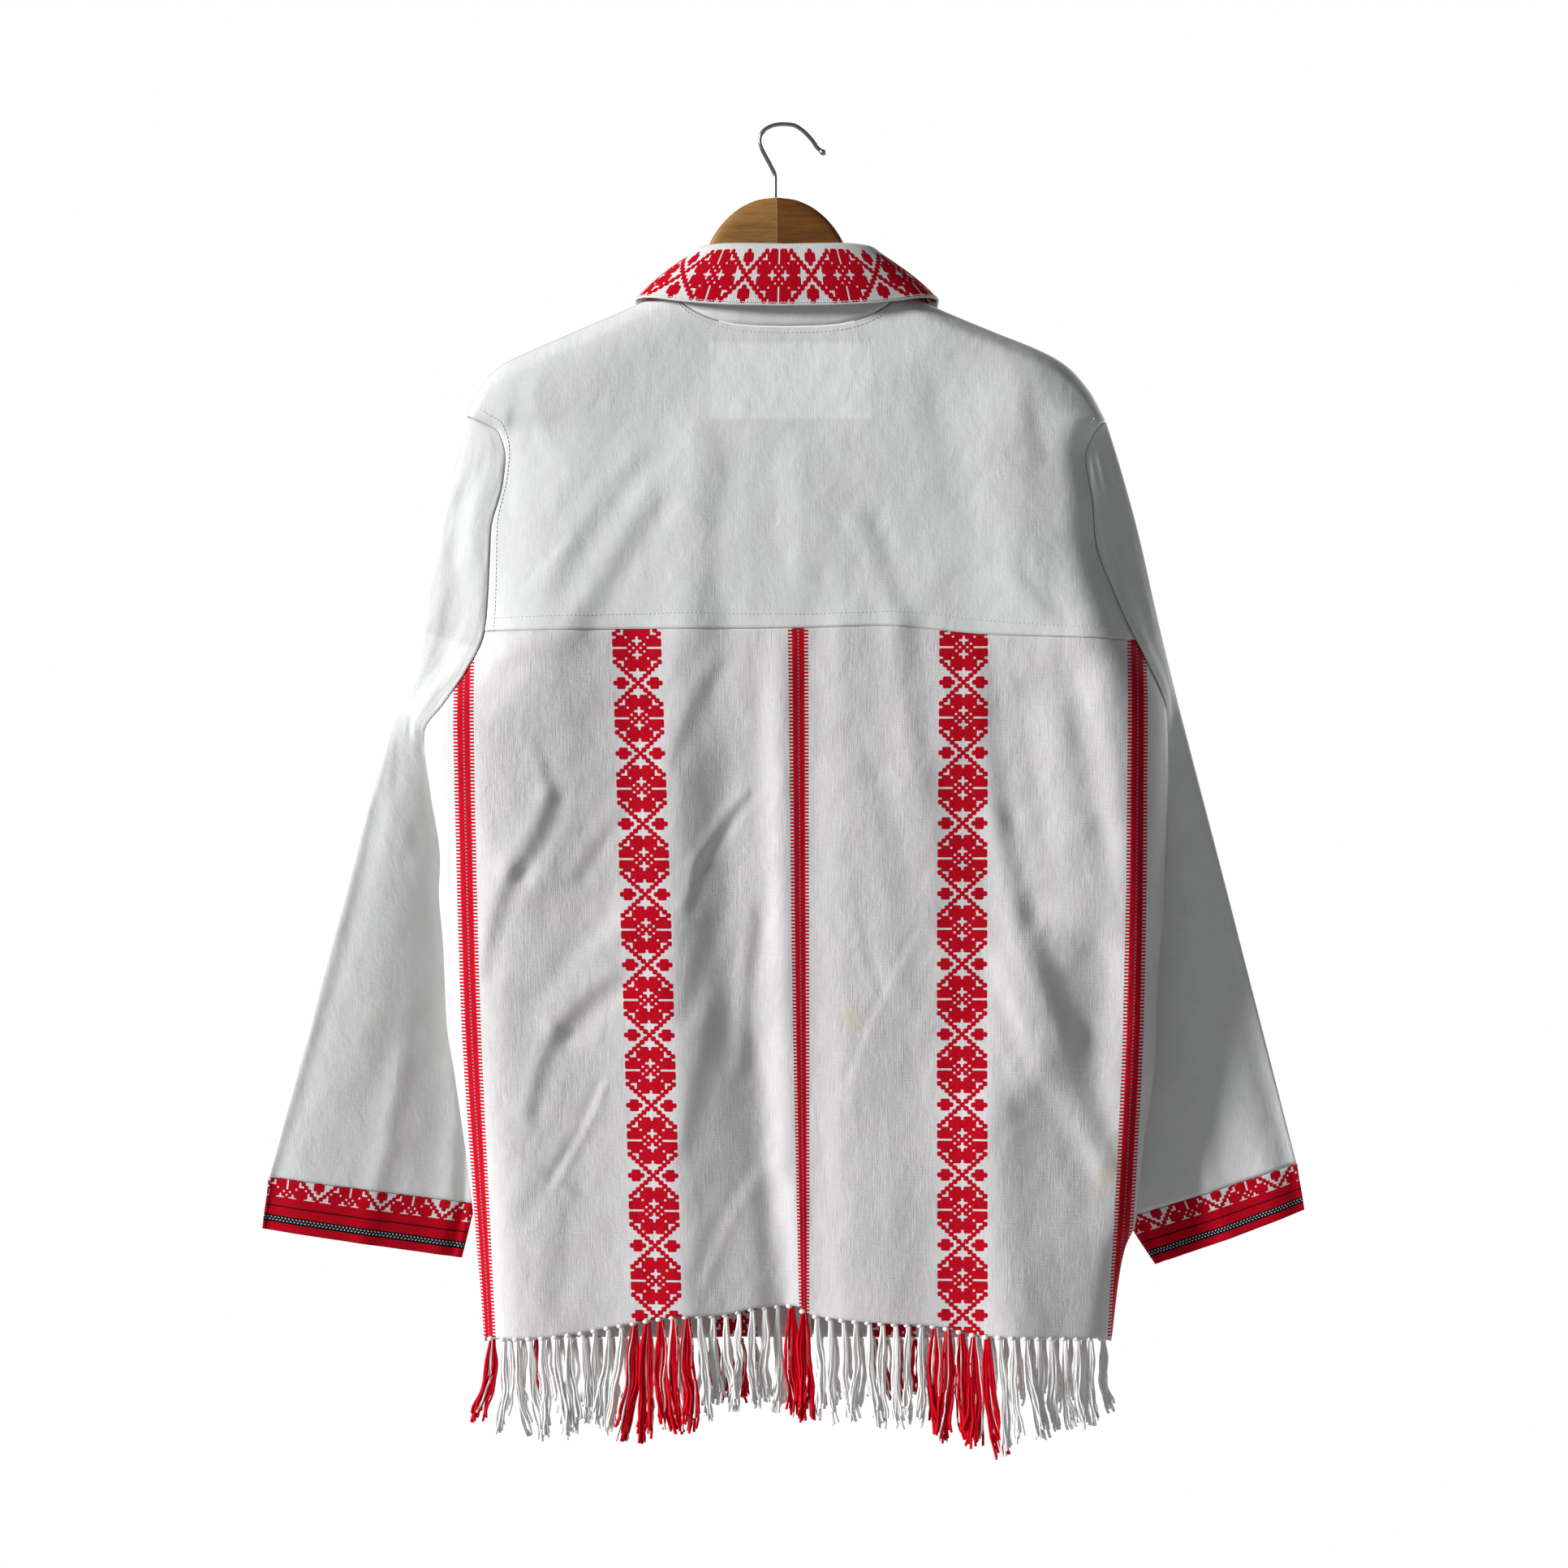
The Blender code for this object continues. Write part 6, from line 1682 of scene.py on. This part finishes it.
@dataclass
class Sleeve:
    """One long plain sleeve with its cuff."""

    shop: Workshop
    half: Half
    columns: int = 97
    rows: int = 200
    wall: float = 0.9
    gap: float = 0.15
    power: float = 0.95
    clear: float = 3.0
    tuck: float = 12.0
    thin: float = 0.34
    flat_cap: float = 0.3
    flat_run: float = 130.0
    puff: float = 0.3
    puff_turn: float = 0.05
    clear_slope: float = 0.8
    armpit_run: float = 40.0
    tuck_end: float = 560.0
    tuck_fade: float = 180.0
    back_start: float = 225.0
    back_run: float = 190.0
    girth: float = 330.0
    flat: tuple[float, float] = (0.36, 0.64)

    def slices(self) -> Array:
        """Slices of the sleeve: outer drop, inner drop, inner x, inner y, outer y, half, hole."""
        cap = np.array(SLEEVE_CAP[self.half])
        arm = np.array(SLEEVE_ARM[self.half])
        made = np.zeros((len(cap) + len(arm), 7))
        count = len(cap)
        made[:count, [0, 1, 4, 5]] = cap[:, :4]
        made[count:, :6] = arm[:, :6]
        made[:count, 2] = FORM.edge(self.half, cap[:, 1])
        places = lengths(made[:, :2]) ** 0.9
        shares = np.linspace(0, 1, self.rows)
        fine = np.stack([flow(shares, places, made[:, c]) for c in range(7)], axis=-1)
        on_hole = fine[:, 1] < ARMPIT_DROP[self.half]
        edge = FORM.edge(self.half, fine[:, 1])
        below = np.clip((fine[:, 1] - ARMPIT_DROP[self.half]) / self.armpit_run, 0.0, 1.0)
        tuck = self.tuck * below * (1.0 - smooth((fine[:, 1] - self.tuck_end) / self.tuck_fade))
        fine[:, 2] = np.where(on_hole, edge, fine[:, 2] - self.half.value * tuck)
        inner_back, outer_back = SLEEVE_BACK[self.half]
        fine[:, 3] += inner_back * below
        fine[:, 4] += outer_back * smooth((fine[:, 0] - self.back_start) / self.back_run)
        fine[:, 5] *= 1.0 - self.thin * below
        hole = FORM.depth(edge, fine[:, 1], Side.BACK, fine=False)
        fine[:, 6] = np.where(on_hole, hole, 0.0)
        return fine

    def grid(self) -> Array:
        """Outer points of the sleeve, one row for each slice."""
        turn = np.linspace(0.0, 1.0, self.columns)[None]
        out = (1.0 - np.cos(2 * np.pi * turn)) / 2
        swell = np.sin(2 * np.pi * turn)
        swell = np.sign(swell) * np.abs(swell) ** self.power
        swell[:, [0, -1]] = 0.0
        table = self.slices()
        outer_drop, inner_drop, inner_x, inner_y, outer_y, half, hole = [table[:, c:c + 1] for c in range(7)]
        outer_x = read(outer_drop, SLEEVE_OUTLINE[self.half])
        x = inner_x + (outer_x - inner_x) * out
        below = smooth((inner_drop - ARMPIT_DROP[self.half]) / self.flat_run)
        flat_back = self.flat_cap + (1.0 - self.flat_cap) * below
        y = inner_y + (outer_y - inner_y) * out - hole * np.cos(np.pi * turn)
        y = y - half * swell * np.where(turn < 0.5, flat_back, 1.0)
        drop = inner_drop + (outer_drop - inner_drop) * out
        share = np.linspace(0, 1, self.rows)[:, None]
        for place, begin, end, depth, width in SLEEVE_FOLDS:
            fade_in = smooth((share - begin) / FOLD_END_FADE)
            run = fade_in * smooth((end + FOLD_END_FADE - share) / FOLD_END_FADE)
            bent = place + 0.05 * np.sin(share * 3.0 + place * 9.0)
            y = y + np.sign(swell) * depth * run * np.exp(-((turn - bent) / width) ** 2)
        near = np.minimum(turn, 1.0 - turn) / self.puff_turn
        y = y - np.sign(0.5 - turn) * self.puff * near * np.exp(1.0 - near) * smooth(hole / 6.0)
        room = smooth(share / 0.1) * np.sqrt(np.abs(swell))
        seed = 21 if self.half is Half.LEFT else 33
        around = turn * self.girth
        y = y - np.sign(swell) * room * 1.4 * ripple(around, drop * 0.45, 34.0, seed)
        y = y - np.sign(swell) * room * 0.5 * ripple(around, drop * 0.7, 15.0, seed + 1)
        made = np.stack([x + self.half.value * self.gap, y, -drop], axis=-1)
        return self.lift(made)

    def lift(self, grid: Array) -> Array:
        """Move the sleeve behind the front where it passes the body's side."""
        drop = -grid[..., 2]
        side_x = FORM.edge(self.half, drop)
        beyond = self.half.value * (grid[..., 0] - side_x)
        inside_x = np.where(beyond > 0.0, side_x, grid[..., 0])
        face = FORM.depth(inside_x, drop, Side.FRONT)
        need = face + self.clear - self.clear_slope * np.maximum(beyond, 0.0)
        below = smooth((drop - ARMPIT_DROP[self.half]) / 20.0)
        low = np.minimum(grid[..., 1], grid[:, ::-1, 1])
        lift = np.maximum(need - low, 0.0) * below
        grid = grid.copy()
        grid[..., 1] += np.maximum(lift, lift[:, ::-1])
        return grid

    def build(self) -> list[Piece]:
        """Make the sleeve and its cuff."""
        grid = self.grid()
        name = self.half.name.lower()
        steps = np.linalg.norm(np.diff(grid, axis=1), axis=-1)
        around = np.concatenate([np.zeros((self.rows, 1)), np.cumsum(steps, axis=1)], axis=1)
        down = running(grid[:, self.columns // 2])
        uv = np.stack(np.broadcast_arrays(around, down[:, None]), axis=-1) * MM
        inward = grid.mean(axis=1, keepdims=True) - grid
        dressing = Dressing(self.shop.plain, "cotton_plain", "sleeve_" + name, self.flat, ("yoke_cloth",))
        made = cloth("sleeve_cloth_" + name, grid, uv, inward, self.wall, dressing)
        return [made, Cuff(self.shop, self.half).build(grid[-1, :-1])]


@dataclass
class Cuff:
    """A straight cuff cut from the woven band."""

    shop: Workshop
    half: Half
    rows: int = 26
    wall: float = 1.6
    step: float = 0.5
    overlap: float = 0.4
    cloth_length: float = 40.0
    cut_length: float = 0.041

    def build(self, last_ring: Array) -> Piece:
        """Carry on the sleeve's last ring.

        Args:
            last_ring: The sleeve's last ring of points in mm, without its repeated end.

        Returns:
            The cuff.
        """
        data = np.array(CUFF_ROWS[self.half])
        centre = last_ring.mean(axis=0)
        ring = last_ring + unit(last_ring - centre) * self.step
        reach = abs(data[0, 1] - data[0, 4])
        share = np.clip(np.abs(ring[:, 0] - data[0, 1]) / reach, 0.0, 1.0)[:, None]
        rows = []
        for k in range(len(data)):
            outer = (data[k, [1, 2, 0]] - data[0, [1, 2, 0]]) * np.array([1.0, 1.0, -1.0])
            inner = (data[k, [4, 5, 3]] - data[0, [4, 5, 3]]) * np.array([1.0, 1.0, -1.0])
            rows.append(ring + outer * (1.0 - share) + inner * share)
        grid = run_along(np.array(rows), np.linspace(0, 1, self.rows))
        axis = unit(grid[-1].mean(axis=0) - grid[0].mean(axis=0))
        grid[0] += axis * self.overlap
        grid = np.concatenate([grid, grid[:, :1]], axis=1)
        along = running(grid[0])
        drop = running(grid[:, 0])
        drop = drop / drop[-1] * self.cloth_length
        uv = np.stack(np.broadcast_arrays(along[None], drop[:, None]), axis=-1) * MM
        inward = grid.mean(axis=1, keepdims=True) - grid
        name = self.half.name.lower()
        band = RosetteBand(column=0.0024, row=0.0024, phase=0.0)
        finish = BandCotton("hand_woven_cuff_band_" + name, band, CUFF_GROUND, cuff=True).make()
        flat = (float(along[-1]) * MM, self.cut_length)
        dressing = Dressing(finish, "band_woven", "cuff_" + name, flat, ("sleeve_cloth_" + name,),
                            "stretched")
        return cloth("cuff_cloth_" + name, grid, uv, inward, self.wall, dressing, closed=True)


# Left and right ends of the fringes, mm
BACK_SPAN = (-223.4, 244.0)
FRONT_SPANS = {Half.LEFT: (-211.4, 20.0), Half.RIGHT: (24.0, 232.0)}
# Pitch of the knots, longer than one knot's path so that each has a single bead, and their size, mm
KNOT_PITCH = 20.0
KNOT_SIZE = (1.9, 1.9, 2.6)
# Spread of a strand's threads as a share of the pitch and their fray in mm, by whether they are red
YARN_SPREAD = {False: 0.25, True: 0.46}
YARN_FRAY = {False: 2.2, True: 3.4}
FULL_TURN = 6.28


@dataclass
class Fringe:
    """Knotted fringe: bundles of yarn that hang from a row of knots."""

    shop: Workshop
    name: str
    nodes: tuple[str, ...]
    side: Side
    low: float
    high: float
    ends: Table
    red: Table
    seed: int
    pitch: float = 9.8
    threads: int = 13
    red_threads: int = 24
    pale_threads: int = 3
    points: int = 13
    radius: float = 1.05

    def hem(self, x: float) -> float:
        """Drop of the hem above a strand."""
        if self.side is Side.FRONT:
            return FRONT_HEM_DROP
        return float(read(x, BACK_HEM))

    def build(self) -> list[Piece]:
        """Make the knots and the yarn."""
        chance = np.random.default_rng(self.seed)
        count = max(1, round((self.high - self.low) / self.pitch))
        pitch = (self.high - self.low) / count
        groups: dict[bool, list[Array]] = {False: [], True: []}
        knots = []
        for k in range(count):
            x = self.low + (k + 0.5) * pitch
            drop = self.hem(x)
            depth = max(float(FORM.depth(x, drop - 1.0, self.side, fine=False)), 3.2)
            root = np.array([x, self.side.value * (depth - 0.6), -(drop + 1.2)])
            red = any(low - 1.0 < x < high + 1.0 for low, high in self.red)
            knots.append(np.stack([root + [-1.4, 0.0, 0.6], root + [1.4, 0.0, 0.6]]))
            strand = self.bundle(chance, root, x, pitch, red)
            pale = self.pale_threads if red else 0
            groups[False].extend(strand[:pale])
            groups[red].extend(strand[pale:])
        made = []
        for red, lines in groups.items():
            if not lines:
                continue
            finish = self.shop.red_thread if red else self.shop.white_thread
            name = self.name + ("_red_yarn" if red else "_white_yarn")
            values = {"Radius": self.radius * MM, "Sides": 4, "Finish": finish}
            yarn = bake(splines(name, lines), self.shop.yarn, values, name)
            dress(yarn, finish, self.nodes if not red else ())
            made.append(yarn)
        values = {"Pitch": KNOT_PITCH * MM, "Size": tuple(size * MM for size in KNOT_SIZE),
                  "Finish": self.shop.white_thread}
        beads = bake(splines(self.name + "_knots", knots), self.shop.beads, values, self.name + "_knots")
        dress(beads, self.shop.white_thread)
        made.append(beads)
        return made

    def bundle(self, chance: np.random.Generator, root: Array, x: float, pitch: float,
               red: bool) -> list[Array]:
        """Paths of the threads of one strand, in mm."""
        end = float(read(x, self.ends)) + chance.uniform(-6.0, 5.0)
        lean = float(read(x, self.ends, 2)) + chance.uniform(-4.0, 4.0)
        phase = chance.uniform(0.0, FULL_TURN)
        turns = chance.uniform(0.6, 1.3)
        lines = []
        for _ in range(self.red_threads if red else self.threads):
            length = (end + root[2]) * chance.uniform(0.8, 1.0)
            spot = chance.uniform(-1.0, 1.0, 2)
            width = pitch * YARN_SPREAD[red]
            fray = chance.uniform(-1.0, 1.0, 2) * YARN_FRAY[red]
            wobble = chance.uniform(0.0, FULL_TURN)
            share = np.linspace(0.0, 1.0, self.points)
            neck = 0.35 + 0.65 * smooth(share / 0.3)
            twist = phase + share * FULL_TURN * turns
            sway = 2.2 * share * np.sin(twist) + 0.8 * share * np.sin(share * 17.0 + wobble)
            px = root[0] + spot[0] * width * neck + lean * share ** 1.5 + sway + fray[0] * share ** 2.5
            py = root[1] + spot[1] * 0.6 * neck + 0.9 * share * np.cos(twist) + fray[1] * 0.5 * share ** 2.5
            pz = root[2] - length * share
            lines.append(np.stack([px, py, pz], axis=-1))
        return lines


# Ball on the hook's tip, mm: distance past the wire's end, radius
HOOK_BALL = ((0.3, 1.7), (0.9, 2.05), (1.8, 2.3), (2.7, 2.25), (3.6, 1.85), (4.2, 1.3), (4.6, 0.5))


@dataclass
class Hanger:
    """Wooden hanger of two halves with its steel hook."""

    shop: Workshop
    half_thick: float = 6.0
    seam: float = 0.04
    ridge_gap: float = 4.2
    end_round: float = 0.55
    end_run: float = 3.0
    squareness: float = 0.6
    sides: int = 32
    stations: int = 90
    hook_radius: float = 1.5
    hook_sides: int = 16

    def build(self) -> list[Piece]:
        """Make both halves and the hook."""
        # The paler left half and the darker right half are one beech, painted lit on the left and painted in
        # shade on the right.
        light = VarnishedBeech("varnished_beech_painted_lit", "#B5854A", "#8F6430", 0.25)
        dark = VarnishedBeech("varnished_beech_painted_shade", "#8A5519", "#633A0C", -0.35)
        return [self.half(Half.LEFT, light.make(), "wood_light"),
                self.half(Half.RIGHT, dark.make(), "wood_dark"),
                self.hook()]

    def half(self, half: Half, finish: Paint, slot: str) -> Piece:
        """Make one half: its arch and its arm."""
        sign = half.value
        rows = [(HANGER_X + sign * max(x, self.seam), top, low, 1.0) for x, top, low in HANGER_ARCH]
        for x, low in HANGER_ARM:
            place = HANGER_X + sign * x
            rows.append((place, float(np.interp(place, FORM.ridge_data[:, 0], FORM.ridge_data[:, 1]))
                         + self.ridge_gap, low, 1.0))
        x, top, low, _ = rows[-1]
        middle, reach = (top + low) / 2, (low - top) / 2 * self.end_round
        rows.append((x + sign * self.end_run, middle - reach, middle + reach, self.end_round))
        fine = run_along(np.array(rows), np.linspace(0, 1, self.stations))
        turn = 2 * math.pi * (np.arange(self.sides + 1) + 0.5) / self.sides
        wide = np.sign(np.cos(turn)) * np.abs(np.cos(turn)) ** self.squareness
        centre = (fine[:, 1] + fine[:, 2])[:, None] / 2
        reach = (fine[:, 2] - fine[:, 1])[:, None] / 2
        depth = self.half_thick * fine[:, 3:4] * wide[None]
        height = -(centre - reach * np.sin(turn)[None])
        grid = np.stack(np.broadcast_arrays(fine[:, :1], depth, height), axis=-1)
        name = "hanger_wood_" + half.name.lower()
        made = self.closed_tube(name, grid[:, :-1])
        dress(made, finish, ["hanger_" + half.name.lower()])
        return made

    def closed_tube(self, name: str, grid: Array) -> Piece:
        """Make a closed tube with flat ends from rings of points in mm."""
        rows, columns = grid.shape[:2]
        faces = [tuple(range(columns)), tuple((rows - 1) * columns + k for k in range(columns))[::-1]]
        for i in range(rows - 1):
            for k in range(columns):
                a, b = i * columns + k, i * columns + (k + 1) % columns
                faces.append((a, b, b + columns, a + columns))
        mesh = bpy.data.meshes.new(name)
        mesh.from_pydata((grid.reshape(-1, 3) * MM).tolist(), [], faces)
        mesh.shade_smooth()
        mesh.set_sharp_from_angle(angle=math.radians(40.0))
        made = add_object(name, mesh)
        face_out(made)
        return made

    def hook(self) -> Piece:
        """Bend the wire and put the small ball on its tip."""
        path = np.array([(x, 0.0, -drop) for x, drop in HOOK_PATH])
        line = run_along(path, np.linspace(0, 1, self.stations))
        ahead = unit(line[-1] - line[-2])
        side = unit(np.cross(np.gradient(line, axis=0), np.array([0.0, 1.0, 0.0])))
        rings = []
        turn = 2 * math.pi * np.arange(self.hook_sides) / self.hook_sides
        places = [(p, d, self.hook_radius) for p, d in zip(line, side)]
        places += [(line[-1] + ahead * forward, side[-1], radius) for forward, radius in HOOK_BALL]
        for place, direction, radius in places:
            rings.append(place + radius * (np.cos(turn)[:, None] * direction
                                           + np.sin(turn)[:, None] * np.array([0.0, 1.0, 0.0])))
        made = self.closed_tube("hook_wire", np.array(rings))
        dress(made, DrawnSteel("drawn_steel_wire").make(), ["hanger_hook"])
        return made


@dataclass
class Studio:
    """Plain floor, soft light and the camera at the photograph's angle."""

    distance: float = 3.2
    frame_width: float = 1.1785
    middle_drop: float = 494.4
    sensor: float = 36.0
    floor_z: float = -1.9
    floor_radius: float = 3.0
    window_angle: float = 0.22
    window_away: tuple[float, float, float] = (-0.92, -0.36, 0.26)
    window_strength: float = 4.5
    sky_strength: float = 0.085
    lamps: tuple[tuple[str, tuple[float, float, float], float, float], ...] = (
        ("fill", (1.6, -3.2, 0.4), 2.6, 5.0),
        ("front", (2.2, 2.0, 0.4), 1.4, 46.0),
    )

    def build(self) -> None:
        """Make the stage."""
        self.floor()
        self.world()
        self.window(self.window_away, self.window_strength)
        for lamp in self.lamps:
            self.light(*lamp)
        data = bpy.data.cameras.new("camera")
        data.sensor_width = self.sensor
        data.lens = self.sensor * self.distance / self.frame_width
        camera = add_object("camera", data)
        camera.location = (0.0, -self.distance, -self.middle_drop * MM)
        camera.rotation_euler = (math.pi / 2, 0.0, 0.0)
        bpy.context.scene.camera = camera
        bpy.context.scene.view_settings.view_transform = "Standard"

    def floor(self) -> None:
        """Lay a round floor well below the garment."""
        turn = np.linspace(0, 2 * math.pi, 97)[:-1]
        points = [(self.floor_radius * math.cos(t), self.floor_radius * math.sin(t), self.floor_z)
                  for t in turn]
        mesh = bpy.data.meshes.new("floor")
        mesh.from_pydata(points, [], [tuple(range(len(points)))])
        made = add_object("floor", mesh)
        made.data.materials.append(PalePlaster("pale_plaster").make())

    def world(self) -> None:
        """Light the scene from a soft white sky that shows as plain white."""
        world = bpy.data.worlds.new("sky")
        world.use_nodes = True
        tree = world.node_tree
        tree.nodes.clear()
        shown = node(tree, "ShaderNodeBackground", (1.0, 1.0, 1.0, 1.0), 1.0)
        given = node(tree, "ShaderNodeBackground", (0.93, 0.96, 1.0, 1.0), self.sky_strength)
        camera = node(tree, "ShaderNodeLightPath", out="Is Camera Ray")
        mixed = node(tree, "ShaderNodeMixShader", camera, given, shown)
        node(tree, "ShaderNodeOutputWorld", mixed)
        bpy.context.scene.world = world

    def window(self, away: tuple[float, float, float], strength: float) -> None:
        """Shine soft daylight across the cloth from one side.

        Args:
            away: Direction from the garment to the window.
            strength: Light on a face that looks at the window.
        """
        data = bpy.data.lights.new("window", "SUN")
        data.energy = strength
        data.angle = self.window_angle
        made = add_object("window", data)
        place = unit(np.array(away))
        self.aim(made, place)

    def light(self, name: str, place: tuple[float, float, float], size: float, power: float) -> None:
        """Hang one square soft light that faces the garment's middle."""
        data = bpy.data.lights.new(name, "AREA")
        data.size = size
        data.energy = power
        made = add_object(name, data)
        target = np.array([0.0, 0.0, -self.middle_drop * MM])
        away = unit(np.array(place) - target)
        made.location = place
        self.aim(made, away)

    def aim(self, made: Piece, away: Array) -> None:
        """Turn a light so that it shines from a direction back to the garment."""
        made.rotation_euler = (math.pi / 2 - math.asin(away[2]), 0.0, math.atan2(away[0], -away[1]))


def main() -> None:
    """Build every piece in order."""
    logging.basicConfig(level=logging.INFO, format="%(message)s")
    plain = WovenCotton("fine_hand_woven_cotton", WHITE_WARM, WHITE_COOL, 1.5, 0.035, 0.3,
                        pale_patch=(-0.0567, 0.0653, 0.1638, 0.2230))
    front = WovenCotton("hand_woven_cotton_front", "#E8E4E2", "#E2E0DF", 1.9, 0.05, 0.5, 0.0014,
                        (StripeAt(0.060, True, LEFT_PHASE), StripeAt(0.209, False)), stripes_from=0.382)
    shop = Workshop(
        yarn=yarn_tree(), beads=bead_tree(), plain=plain.make(),
        stitch=CottonThread("sewing_cotton_white", "#EDEDEA", "#DCDCD9").make(),
        white_thread=CottonThread("warp_cotton_white", "#FCFBFA", "#EFEDEB").make(),
        red_thread=CottonThread("warp_cotton_red", "#E4001E", "#BC0018").make(),
    )
    BackYoke(shop).build()
    BackPanel(shop).build()
    front_finish = front.make()
    for half in Half:
        Front(shop, half, front_finish).build()
    FrontBand(shop).build()
    Collar(shop).build()
    for half in Half:
        Sleeve(shop, half).build()
    Fringe(shop, "fringe_back", ("fringe_back",), Side.BACK, *BACK_SPAN, BACK_STRANDS, BACK_RED,
           3).build()
    for half, seed in ((Half.LEFT, 4), (Half.RIGHT, 5)):
        name = half.name.lower()
        Fringe(shop, "fringe_" + name, ("fringe_front_" + name,), Side.FRONT, *FRONT_SPANS[half],
               FRONT_STRANDS, FRONT_RED, seed, threads=6, red_threads=9).build()
    Hanger(shop).build()
    Studio().build()


if __name__ == "__main__":
    main()
